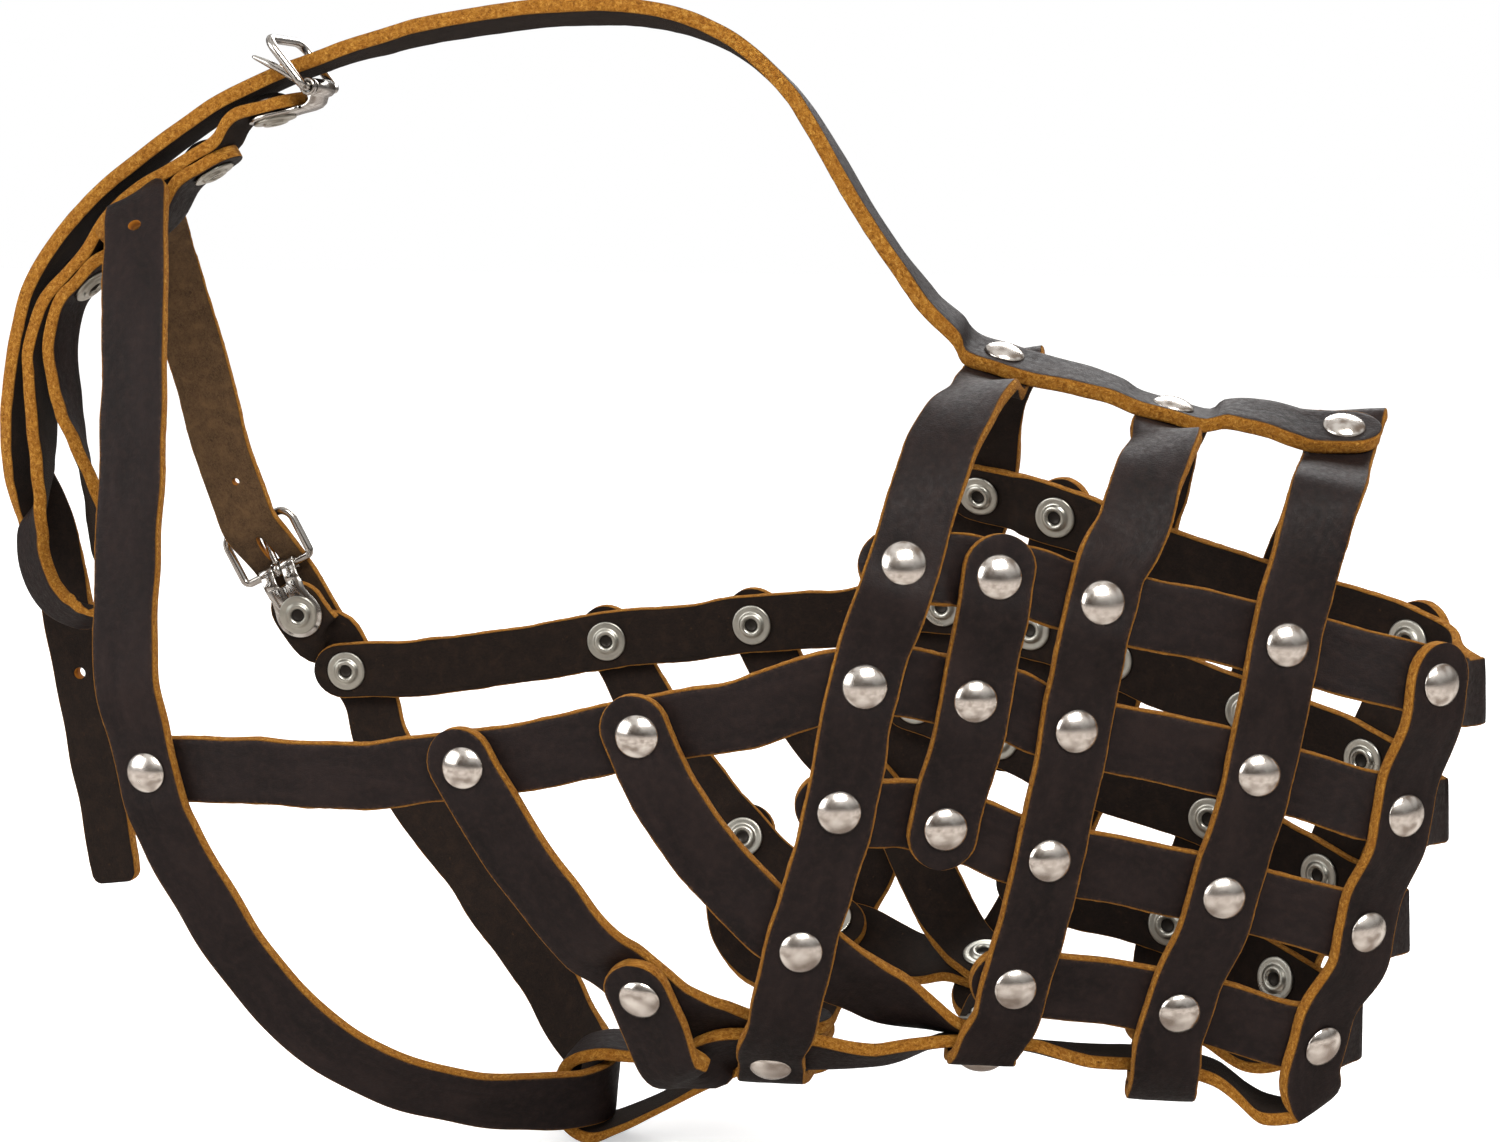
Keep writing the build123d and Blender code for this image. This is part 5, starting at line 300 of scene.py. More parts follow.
RIVETS = {
    "E_r": ((-164.76, -52.5, -27.52), (-0.07, -0.998, 0), 0, 1),
    "E_l": ((-159.98, 52.5, -25.11), (-0.07, 0.998, 0), 0, 1),
    "F_r": ((-88.02, -57.5, -21.38), (-0.035, -0.999, 0), 0, 1),
    "F_l": ((-88.8, 57.5, -15.08), (-0.035, 0.999, 0), 0, 1),
    "G_r": ((-49.08, -58, -12.36), (0.035, -0.999, 0.02), 0, 1),
    "G_l": ((-49.52, 58, -9.24), (0.035, 0.999, 0.02), 0, 1),
    "A1_r": ((6.75, -57, 25.47), (0.231, -0.926, 0.3), 0, 1),
    "A1_l": ((9.49, 57, 26.72), (0.231, 0.926, 0.3), 0, 1),
    "A2_r": ((-0.87, -57.5, 0.4), (0.242, -0.97, 0.04), 0, 1),
    "A2_l": ((0.44, 57.5, -2.44), (0.242, 0.97, 0.04), 0, 1),
    "A3_r": ((-6.65, -56, -26.86), (0.242, -0.969, -0.05), 0, 1),
    "A3_l": ((-6.15, 56, -27.95), (0.242, 0.969, -0.05), 0, 1),
    "A4_r": ((-14.87, -55, -57.91), (0.24, -0.963, -0.12), 0, 1),
    "A4_l": ((-14.22, 55, -54.58), (0.24, 0.963, -0.12), 0, 1),
    "A5_r": ((-23.76, -41, -87.38), (0.047, -0.671, -0.74), -1, 1),
    "A5_l": ((-24.43, 41, -84.55), (0.047, 0.671, -0.74), -1, 1),
    "S1_r": ((25.66, -50.5, 22.94), (0.291, -0.952, 0.1), 0, 1),
    "S1_l": ((29.43, 50.5, 22.37), (0.291, 0.952, 0.1), 0, 1),
    "S2_r": ((20.97, -49.5, -3.01), (0.292, -0.956, 0), 0, 1),
    "S2_l": ((23.88, 49.5, -6.14), (0.292, 0.956, 0), 0, 1),
    "S3_r": ((14.63, -48, -31.33), (0.292, -0.956, -0.03), 0, 1),
    "S3_l": ((16.76, 48, -34.22), (0.292, 0.956, -0.03), 0, 1),
    "B1_r": ((46.28, -43.5, 17.05), (0.339, -0.93, 0.14), 0, 1),
    "B1_l": ((50.14, 43.5, 15.88), (0.339, 0.93, 0.14), 0, 1),
    "B2_r": ((41.21, -42.5, -10.22), (0.342, -0.94, 0), 0, 1),
    "B2_l": ((44.94, 42.5, -11.67), (0.342, 0.94, 0), 0, 1),
    "B3_r": ((36.03, -41.5, -38.9), (0.342, -0.94, -0.02), 0, 1),
    "B3_l": ((37.1, 41.5, -40.51), (0.342, 0.94, -0.02), 0, 1),
    "B4_r": ((29.22, -40.5, -67.78), (0.34, -0.933, -0.12), 0, 1),
    "B4_l": ((25.51, 40.5, -69.98), (0.34, 0.933, -0.12), 0, 1),
    "B5_r": ((21.74, -31, -85.59), (0.027, -0.311, -0.95), -1, 1),
    "B5_l": ((15.57, 31, -89.39), (0.027, 0.311, -0.95), -1, 1),
    "C1_r": ((84.21, -30, 7.35), (0.291, -0.953, 0.08), 0, 1),
    "C1_l": ((84.42, 30, 7.21), (0.291, 0.953, 0.08), 0, 1),
    "C2_r": ((79.37, -30, -20.71), (0.292, -0.956, 0), 0, 1),
    "C2_l": ((77.62, 30, -20.52), (0.292, 0.956, 0), 0, 1),
    "C3_r": ((72.91, -29.5, -48.16), (0.292, -0.956, -0.03), 0, 1),
    "C3_l": ((69.7, 29.5, -47.11), (0.292, 0.956, -0.03), 0, 1),
    "C4_r": ((64.1, -29, -74.41), (0.291, -0.952, -0.1), 0, 1),
    "C4_l": ((60.82, 29, -74.12), (0.291, 0.952, -0.1), 0, 1),
    "D1_r": ((114.93, -22, -1.32), (0.615, -0.788, 0.03), 0, 1),
    "D1_l": ((114.03, 22, -0.53), (0.615, 0.788, 0.03), 0, 1),
    "D2_r": ((109.01, -21.5, -30.13), (0.616, -0.788, 0), 0, 1),
    "D2_l": ((105.08, 21.5, -29.03), (0.616, 0.788, 0), 0, 1),
    "D3_r": ((102.2, -20.5, -56.5), (0.615, -0.788, -0.03), 0, 1),
    "D3_l": ((96.17, 20.5, -57), (0.615, 0.788, -0.03), 0, 1),
    "D4_r": ((93.55, -19.5, -82.9), (0.608, -0.778, -0.16), 0, 1),
    "D4_l": ((86.96, 19.5, -82.91), (0.608, 0.778, -0.16), 0, 1),
    "K_r": ((-50.08, -52, -71.34), (-0.05, -0.953, -0.3), 0, 1),
    "K_l": ((-50.85, 52, -65.1), (-0.05, 0.953, -0.3), 0, 1),
    "TA": ((19.93, 1.69, 61.77), (0.269, -0.299, 0.916), 0, 1),
    "TB": ((58.08, 0.57, 50.42), (0.241, -0.101, 0.965), 0, 1),
    "TC": ((96.07, 2.56, 46.91), (0.081, -0.454, 0.887), 0, 1),
    "BA": ((-27, 0, -101.5), (0, 0, -1), -2, 1),
    "BB": ((21, 0, -94.5), (0, 0, -1), -1, 0),
    "BC": ((60.5, 0, -101.4), (0, 0, -1), -1, 0),
    "L0": ((-154.3, 0, 121.8), (-0.235, 0, 0.972), 0, 0),
    "L1": ((-172.2, 0, 110.6), (-0.5, 0, 0.866), -1, 0),
    "L2": ((-206, 0, 82.8), (-0.7, 0, 0.714), -1, 0),
    "NB": ((-171.8, 50, -9.5), (-0.101, 0.992, 0.072), 0, 0),
}
HOLES = {
    "upper_side_band": ["A1_l", "A1_r", "B1_l", "B1_r", "C1_l", "C1_r", "D1_l", "D1_r", "S1_l", "S1_r"],
    "cheek_band": ["A2_l", "A2_r", "B2_l", "B2_r", "C2_l", "C2_r", "D2_l", "D2_r", "E_l", "E_r", "F_l", "F_r", "G_l", "G_r", "S2_l", "S2_r"],
    "lower_side_band": ["A3_l", "A3_r", "B3_l", "B3_r", "C3_l", "C3_r", "D3_l", "D3_r", "S3_l", "S3_r"],
    "jaw_band": ["B4_l", "B4_r", "C4_l", "C4_r", "D4_l", "D4_r"],
    "rear_hoop": ["A1_l", "A1_r", "A2_l", "A2_r", "A3_l", "A3_r", "A4_l", "A4_r", "A5_l", "A5_r", "BA", "TA"],
    "middle_hoop": ["B1_l", "B1_r", "B2_l", "B2_r", "B3_l", "B3_r", "B4_l", "B4_r", "B5_l", "B5_r", "BB", "TB"],
    "front_hoop": ["BC", "C1_l", "C1_r", "C2_l", "C2_r", "C3_l", "C3_r", "C4_l", "C4_r", "TC"],
    "right_side_tie": ["S1_r", "S2_r", "S3_r"],
    "left_side_tie": ["S1_l", "S2_l", "S3_l"],
    "right_chin_strap": ["A5_r", "B5_r", "D1_r", "D2_r", "D3_r", "D4_r", "K_r"],
    "left_chin_strap": ["A5_l", "B5_l", "D1_l", "D2_l", "D3_l", "D4_l", "K_l"],
    "right_rear_jaw_strap": ["A5_r", "F_r", "K_r"],
    "left_rear_jaw_strap": ["A5_l", "F_l", "K_l"],
    "right_front_jaw_strap": ["A4_r", "B5_r", "G_r"],
    "left_front_jaw_strap": ["A4_l", "B5_l", "G_l"],
    "chin_loop": ["BA"],
    "crown_strap": ["TA", "TB", "TC"],
    "crown_loop_strap": ["L0", "L1", "L2"],
    "neck_throat_strap": ["E_l", "E_r", "NB"],
}
NECK_O = (-171.8, 50.0, -9.5)
NECK_S = (-0.4405, -0.1101, 0.891)
NECK_N = (-0.1014, 0.9922, 0.0725)

MM = 0.001
rng = np.random.default_rng(11)


# ------------------------------------------------------------------ strap centre lines
def unit(v):
    v = np.asarray(v, float)
    return v / np.linalg.norm(v)


def centre_line(st, step):
    """Centripetal Catmull-Rom through the stations, resampled at about step mm; a crease station breaks the curve."""
    P = [np.array(s[:3], float) for s in st]
    N = [unit(s[3:6]) for s in st]
    C = [s[6] for s in st]
    n = len(P)
    raw = []
    for i in range(n - 1):
        p1, p2 = P[i], P[i + 1]
        p0 = P[i - 1] if i > 0 and not C[i] else p1 + (p1 - p2)
        p3 = P[i + 2] if i < n - 2 and not C[i + 1] else p2 + (p2 - p1)
        k = lambda a, b: max(1e-6, np.linalg.norm(b - a)) ** 0.5
        t0 = 0.0
        t1 = t0 + k(p0, p1)
        t2 = t1 + k(p1, p2)
        t3 = t2 + k(p2, p3)
        m = max(2, int(round(np.linalg.norm(p2 - p1) / (step * 0.5))))
        for j in range(m):
            t = t1 + (t2 - t1) * j / m
            a1 = (t1 - t) / (t1 - t0) * p0 + (t - t0) / (t1 - t0) * p1
            a2 = (t2 - t) / (t2 - t1) * p1 + (t - t1) / (t2 - t1) * p2
            a3 = (t3 - t) / (t3 - t2) * p2 + (t - t2) / (t3 - t2) * p3
            b1 = (t2 - t) / (t2 - t0) * a1 + (t - t0) / (t2 - t0) * a2
            b2 = (t3 - t) / (t3 - t1) * a2 + (t - t1) / (t3 - t1) * a3
            f = j / m
            f = f * f * (3 - 2 * f)
            raw.append(((t2 - t) / (t2 - t1) * b1 + (t - t1) / (t2 - t1) * b2, unit(N[i] * (1 - f) + N[i + 1] * f), 0.0))
    raw.append((P[-1], N[-1], 0.0))
    pts = np.array([r[0] for r in raw])
    nor = np.array([r[1] for r in raw])
    seg = np.linalg.norm(np.diff(pts, axis=0), axis=1)
    s = np.concatenate([[0], np.cumsum(seg)])
    m = max(3, int(round(s[-1] / step)))
    # crease stations keep their exact place
    keep = []
    for i in range(n):
        if C[i]:
            j = int(np.argmin(np.linalg.norm(pts - P[i], axis=1)))
            keep.append(s[j])
    q = np.linspace(0, s[-1], m + 1)
    for kk in keep:
        q[int(np.argmin(abs(q - kk)))] = kk
    p = np.stack([np.interp(q, s, pts[:, a]) for a in range(3)], 1)
    nn = np.stack([np.interp(q, s, nor[:, a]) for a in range(3)], 1)
    nn /= np.linalg.norm(nn, axis=1)[:, None]
    t = np.zeros_like(p)
    t[1:-1] = p[2:] - p[:-2]
    t[0] = p[1] - p[0]
    t[-1] = p[-1] - p[-2]
    t -= nn * (t * nn).sum(1)[:, None]
    t /= np.linalg.norm(t, axis=1)[:, None]
    return q, p, nn, t, np.cross(t, nn)


def waves(x, seed, lengths, amps):
    """Sum of sine waves with seeded phases: slow, smooth unevenness along a strap."""
    g = np.random.default_rng(seed)
    out = np.zeros_like(x)
    for L, a in zip(lengths, amps):
        for _ in range(2):
            out += a * 0.7 * np.sin(2 * math.pi * x / (L * g.uniform(0.75, 1.3)) + g.uniform(0, 2 * math.pi))
    return out


def hash_noise(i, j, seed):
    h = (i.astype(np.int64) * 374761393 + j.astype(np.int64) * 668265263 + seed * 2246822519) & 0xFFFFFFFF
    h = ((h ^ (h >> 13)) * 1274126177) & 0xFFFFFFFF
    h = h ^ (h >> 16)
    return (h & 0xFFFFFF) / float(0xFFFFFF) * 2 - 1


def value_noise(x, y, seed):
    """Smooth 2-D value noise in [-1, 1]."""
    xi, yi = np.floor(x), np.floor(y)
    fx, fy = x - xi, y - yi
    fx, fy = fx * fx * (3 - 2 * fx), fy * fy * (3 - 2 * fy)
    a = hash_noise(xi, yi, seed)
    b = hash_noise(xi + 1, yi, seed)
    c = hash_noise(xi, yi + 1, seed)
    d = hash_noise(xi + 1, yi + 1, seed)
    return (a * (1 - fx) + b * fx) * (1 - fy) + (c * (1 - fx) + d * fx) * fy


RIV_P = {k: np.array(v[0], float) for k, v in RIVETS.items()}
RIV_N = {k: unit(v[1]) for k, v in RIVETS.items()}


def add_strap(name, step=1.3, seed=1):
    """Fine leather strap: grain side, flesh side and raw fibrous edges, with rounded ends and dents round the rivets."""
    q, p, n, t, w = centre_line(STATIONS[name], step)
    R = WIDTHS.get(name, W) / 2
    # rounded ends: extra rings beyond the first and last station
    ang = np.radians([14, 28, 41, 53, 64, 73, 80, 85.5])
    ends0 = [(-R * math.sin(a), R * math.cos(a)) for a in ang][::-1]
    ends1 = [(R * math.sin(a), R * math.cos(a)) for a in ang]
    if name in SQUARE_TAIL:
        rc = 2.6
        ends1 = [(f, R - 0.1 * f) for f in (1.3, 2.6, 3.8)]
        ends1 += [(R - rc - 0.6 + rc * math.sin(a), R - 0.4 - rc + rc * math.cos(a)) for a in np.radians([15, 40, 62, 80])]
    S = np.concatenate([[q[0] + e[0] for e in ends0], q, [q[-1] + e[0] for e in ends1]])
    HW = np.concatenate([[e[1] for e in ends0], np.full(len(q), R), [e[1] for e in ends1]])
    Pp = np.concatenate([[p[0] + t[0] * e[0] for e in ends0], p, [p[-1] + t[-1] * e[0] for e in ends1]])
    k0, k1 = len(ends0), len(ends1)
    rep = lambda a: np.concatenate([np.repeat(a[:1], k0, 0), a, np.repeat(a[-1:], k1, 0)])
    Nn, Tt, Ww = rep(n), rep(t), rep(w)
    S = S + 1000.0 * (seed % 17)
    # slow unevenness of a hand-cut strap
    side = waves(S, seed * 7 + 1, (55, 21), (0.16, 0.10))
    lift = waves(S, seed * 7 + 2, (48, 19), (0.12, 0.05))
    wid = waves(S, seed * 7 + 3, (40, 15), (0.10, 0.06))
    fade = np.clip((HW / R), 0.2, 1)
    rivs = HOLES[name]
    # closeness to a rivet, for pinning
    dmin = np.full(len(S), 99.0)
    for k in rivs:
        dmin = np.minimum(dmin, np.linalg.norm(Pp - RIV_P[k], axis=1))
    free = np.clip((dmin - 6.0) / 10.0, 0, 1)
    Pp = Pp + Ww * (side * fade)[:, None] + Nn * (lift * free)[:, None]
    HWv = HW + wid * fade
    ht = SWELL.get(name, 3.05) / 2
    rows = []
    rb, rf = 0.42, 0.30
    nx = 11
    xs_top = np.linspace(1, -1, nx)
    # section points: (kind, value) run right top edge -> left top edge -> left side -> bottom -> right side
    sec = []
    for x in xs_top:
        sec.append(("top", x))
    sec.append(("bevT", -1))
    for y in (0.62, 0.2, -0.22, -0.62):
        sec.append(("side", -1, y))
    sec.append(("bevB", -1))
    for x in np.linspace(-1, 1, 9):
        sec.append(("bot", x))
    sec.append(("bevB", 1))
    for y in (-0.62, -0.22, 0.2, 0.62):
        sec.append(("side", 1, y))
    sec.append(("bevT", 1))
    m = len(sec)
    verts = np.zeros((len(S), m, 3))
    across = np.zeros((len(S), m))
    for j, c in enumerate(sec):
        lim = np.minimum(rb, HWv * 0.4)
        if c[0] == "top":
            x = c[1] * (HWv - lim)
            y = np.full(len(S), ht) - 0.10 * abs(c[1]) ** 4
            y = y + 0.05 * value_noise(S / 3.2, x / 3.2 + 50, seed + 5)
        elif c[0] == "bot":
            x = c[1] * (HWv - np.minimum(rf, HWv * 0.4))
            y = np.full(len(S), -ht) + 0.07 * abs(c[1]) ** 4
            y = y + 0.06 * value_noise(S / 2.1, x / 2.1 + 90, seed + 6)
        elif c[0] == "bevT":
            x = c[1] * (HWv - lim * 0.28)
            y = np.full(len(S), ht - 0.24)
        elif c[0] == "bevB":
            x = c[1] * (HWv - lim * 0.2)
            y = np.full(len(S), -ht + 0.18)
        else:
            x = c[1] * (HWv + 0.10 * (1 - c[2] ** 2) + 0.11 * value_noise(S / 1.5, c[2] * 2.1 + c[1] * 9, seed + 9) * np.clip(HWv / 3, 0, 1))
            y = np.full(len(S), c[2] * ht * 0.93) + 0.10 * value_noise(S / 2.3, c[2] * 3 + c[1] * 5, seed + 12)
        verts[:, j, :] = Pp + Ww * x[:, None] + Nn * y[:, None]
        across[:, j] = x
    # rivet dents: the leather is pinched under each cap and back
    near = np.full(verts.shape[:2], 99.0)
    for k in rivs:
        d = verts - RIV_P[k]
        h = (d * RIV_N[k]).sum(2)
        r = np.sqrt(np.maximum((d * d).sum(2) - h * h, 0))
        r = np.where(abs(h) < 14, r, 99)
        near = np.minimum(near, r)
    dent = 0.34 * np.exp(-np.maximum(near - 4.2, 0) / 1.9)
    sgn = np.zeros(m)
    for j, c in enumerate(sec):
        sgn[j] = {"top": 1, "bevT": 0.9, "bot": -1, "bevB": -0.9}.get(c[0], 0)
        if c[0] == "side":
            sgn[j] = c[2]
    verts -= Nn[:, None, :] * (dent * sgn[None, :])[:, :, None]
    ring = len(S)
    V = verts.reshape(-1, 3) * MM
    faces, mats = [], []
    kind = [c[0] for c in sec]
    for i in range(ring - 1):
        a, b = i * m, (i + 1) * m
        for j in range(m):
            j2 = (j + 1) % m
            faces.append((a + j, a + j2, b + j2, b + j))
            ka, kb = kind[j], kind[j2]
            mats.append(0 if ka == kb == "top" else (1 if ka == kb == "bot" else 2))
    faces.append(tuple(range(m - 1, -1, -1)))
    mats.append(2)
    faces.append(tuple((ring - 1) * m + j for j in range(m)))
    mats.append(2)
    me = bpy.data.meshes.new(name + "_leather")
    me.from_pydata(V.tolist(), [], faces)
    me.update()
    # consistent outward winding
    a0 = V[faces[(ring // 2) * m][0]]
    if poly_outward(me, (ring // 2) * m, Pp[ring // 2] * MM) < 0:
        me.flip_normals()
    # the throat strap takes the flesh copy with painted light towards the top
    for mt in (GRAIN, FLESH_PAINTED_LIGHT if name == "neck_throat_strap" else FLESH, EDGE):
        me.materials.append(mt)
    me.polygons.foreach_set("material_index", mats)
    me.polygons.foreach_set("use_smooth", [True] * len(mats))
    uv = me.uv_layers.new(name="strap")
    vi = np.zeros(len(me.loops), dtype=np.int64)
    me.loops.foreach_get("vertex_index", vi)
    su = np.repeat(S[:, None], m, 1).reshape(-1)
    # unrolled coordinate round the section, so that the edges get their own texture rows
    peri = np.zeros(m)
    for j, c in enumerate(sec):
        peri[j] = {"top": 0.0, "bevT": 8.0, "bot": 20.0, "bevB": 16.0}.get(c[0], 12.0)
    sv = across.copy()
    for j, c in enumerate(sec):
        if c[0] in ("side", "bevT", "bevB"):
            yy = c[2] if c[0] == "side" else (0.95 if c[0] == "bevT" else -0.95)
            sv[:, j] = 40.0 + (c[1] * 10) + yy * 1.4
    sv = sv.reshape(-1)
    co = np.stack([su[vi] * 0.1, sv[vi] * 0.1], 1).astype(np.float32)
    uv.data.foreach_set("uv", co.ravel())
    at = me.attributes.new("rivet_near", "FLOAT", "POINT")
    at.data.foreach_set("value", near.reshape(-1).astype(np.float32))
    ed = me.attributes.new("edge_near", "FLOAT", "POINT")
    edge = (np.repeat(HWv[:, None], m, 1) - abs(across)).reshape(-1)
    ed.data.foreach_set("value", edge.astype(np.float32))
    hh = me.attributes.new("height", "FLOAT", "POINT")
    hv = np.zeros(m)
    for j, c in enumerate(sec):
        hv[j] = {"top": 1.0, "bevT": 0.85, "bot": -1.0, "bevB": -0.85}.get(c[0], 0.0)
        if c[0] == "side":
            hv[j] = c[2]
    hh.data.foreach_set("value", np.repeat(hv[None, :], ring, 0).reshape(-1).astype(np.float32))
    ob = bpy.data.objects.new(name + "_leather", me)
    bpy.context.scene.collection.objects.link(ob)
    return ob


def poly_outward(me, idx, centre):
    pl = me.polygons[idx]
    return (pl.center - Vector(centre)).dot(pl.normal)


# ------------------------------------------------------------------ materials
def nodes_of(name):
    mt = bpy.data.materials.new(name)
    mt.use_nodes = True
    nt = mt.node_tree
    nt.nodes.clear()
    out = nt.nodes.new("ShaderNodeOutputMaterial")
    bs = nt.nodes.new("ShaderNodeBsdfPrincipled")
    nt.links.new(bs.outputs[0], out.inputs[0])
    return mt, nt, bs


def N(nt, kind, **kw):
    nd = nt.nodes.new(kind)
    for k, v in kw.items():
        if k in nd.inputs:
            nd.inputs[k].default_value = v
        else:
            setattr(nd, k, v)
    return nd


def noise(nt, vec, scale, detail=4.0, rough=0.55, dist=0.0):
    nd = nt.nodes.new("ShaderNodeTexNoise")
    nd.inputs["Scale"].default_value = scale
    nd.inputs["Detail"].default_value = detail
    nd.inputs["Roughness"].default_value = rough
    nd.inputs["Distortion"].default_value = dist
    nt.links.new(vec, nd.inputs["Vector"])
    return nd.outputs["Fac"]


def ramp(nt, fac, stops, interp="LINEAR"):
    nd = nt.nodes.new("ShaderNodeValToRGB")
    cr = nd.color_ramp
    cr.interpolation = interp
    while len(cr.elements) < len(stops):
        cr.elements.new(0.5)
    for e, (pos, col) in zip(cr.elements, stops):
        e.position = pos
        e.color = (*col, 1) if len(col) == 3 else col
    nt.links.new(fac, nd.inputs[0])
    return nd.outputs[0]


def mix(nt, fac, a, b, mode="MIX"):
    nd = nt.nodes.new("ShaderNodeMix")
    nd.data_type = "RGBA"
    nd.blend_type = mode
    if isinstance(fac, (int, float)):
        nd.inputs[0].default_value = fac
    else:
        nt.links.new(fac, nd.inputs[0])
    for k, v in ((6, a), (7, b)):
        if isinstance(v, tuple):
            nd.inputs[k].default_value = (*v, 1)
        else:
            nt.links.new(v, nd.inputs[k])
    return nd.outputs[2]


def maths(nt, op, a, b=0.5, c=None):
    nd = nt.nodes.new("ShaderNodeMath")
    nd.operation = op
    for k, v in ((0, a), (1, b), (2, c)):
        if v is None:
            continue
        if isinstance(v, (int, float)):
            nd.inputs[k].default_value = v
        else:
            nt.links.new(v, nd.inputs[k])
    return nd.outputs[0]


def bump(nt, height, strength, distance, prev=None):
    nd = nt.nodes.new("ShaderNodeBump")
    nd.inputs["Strength"].default_value = strength
    nd.inputs["Distance"].default_value = distance
    nt.links.new(height, nd.inputs["Height"])
    if prev is not None:
        nt.links.new(prev, nd.inputs["Normal"])
    return nd.outputs[0]


def srgb(r, g, b):
    f = lambda c: (c / 255 / 12.92) if c / 255 <= 0.04045 else ((c / 255 + 0.055) / 1.055) ** 2.4
    return (f(r), f(g), f(b))


def strap_uv(nt, stretch=1.0):
    tc = nt.nodes.new("ShaderNodeUVMap")
    tc.uv_map = "strap"
    mp = nt.nodes.new("ShaderNodeMapping")
    mp.inputs["Scale"].default_value = (stretch, 1, 1)
    nt.links.new(tc.outputs[0], mp.inputs[0])
    return mp.outputs[0]


def attr(nt, name):
    nd = nt.nodes.new("ShaderNodeAttribute")
    nd.attribute_name = name
    return nd.outputs["Fac"]


def grain_material():
    mt, nt, bs = nodes_of("leather_grain")
    v = strap_uv(nt)
    vl = strap_uv(nt, 0.35)
    big = noise(nt, vl, 1.3, 5, 0.6, 0.6)
    mid = noise(nt, v, 5.5, 6, 0.62, 0.4)
    col = ramp(nt, big, [(0.30, srgb(17, 11, 10)), (0.52, srgb(24, 16, 15)), (0.74, srgb(33, 23, 21))])
    col = mix(nt, ramp(nt, mid, [(0.45, (0, 0, 0)), (0.75, (0.55, 0.55, 0.55))]), col, srgb(40, 28, 24))
    # pores
    vo = nt.nodes.new("ShaderNodeTexVoronoi")
    vo.feature = "DISTANCE_TO_EDGE"
    vo.inputs["Scale"].default_value = 13.0
    nt.links.new(v, vo.inputs["Vector"])
    cell = vo.outputs["Distance"]
    fine = noise(nt, v, 48.0, 3, 0.6)
    # wrinkles round the rivets: bumped, and their lines darkened in colour as painted shade and dirt
    rv = attr(nt, "rivet_near")
    near = ramp(nt, maths(nt, "DIVIDE", rv, 14.0), [(0.30, (1, 1, 1)), (0.62, (0.25, 0.25, 0.25)), (1.0, (0, 0, 0))])
    crease = noise(nt, strap_uv(nt, 2.2), 3.6, 5, 0.65, 2.2)
    crease_line = ramp(nt, crease, [(0.46, (0, 0, 0)), (0.50, (1, 1, 1)), (0.54, (0, 0, 0))])
    # painted shade and dirt: crease lines near the rivets darkened towards srgb(15, 11, 11)
    col = mix(nt, maths(nt, "MULTIPLY", crease_line, maths(nt, "MULTIPLY", near, 0.55)), col, srgb(15, 11, 11))
    # scuffs along the strap edges
    en = attr(nt, "edge_near")
    scuff = ramp(nt, maths(nt, "DIVIDE", en, 2.0), [(0.16, (1, 1, 1)), (0.55, (0, 0, 0))])
    sn = ramp(nt, noise(nt, v, 9.0, 6, 0.7), [(0.48, (0, 0, 0)), (0.68, (1, 1, 1))])
    col = mix(nt, maths(nt, "MULTIPLY", scuff, maths(nt, "MULTIPLY", sn, 0.65)), col, srgb(96, 68, 48))
    nt.links.new(col, bs.inputs["Base Color"])
    rough = ramp(nt, noise(nt, v, 7.0, 5, 0.6), [(0.3, (0.48, 0.48, 0.48)), (0.7, (0.68, 0.68, 0.68))])
    nt.links.new(rough, bs.inputs["Roughness"])
    bs.inputs["Specular IOR Level"].default_value = 0.15
    b1 = bump(nt, big, 0.30, 0.0012)
    b2 = bump(nt, ramp(nt, cell, [(0.0, (0, 0, 0)), (0.16, (1, 1, 1))]), 0.16, 0.00018, b1)
    b3 = bump(nt, fine, 0.22, 0.00012, b2)
    b4 = bump(nt, maths(nt, "MULTIPLY", crease_line, near), -0.55, 0.00028, b3)
    nt.links.new(b4, bs.inputs["Normal"])
    return mt


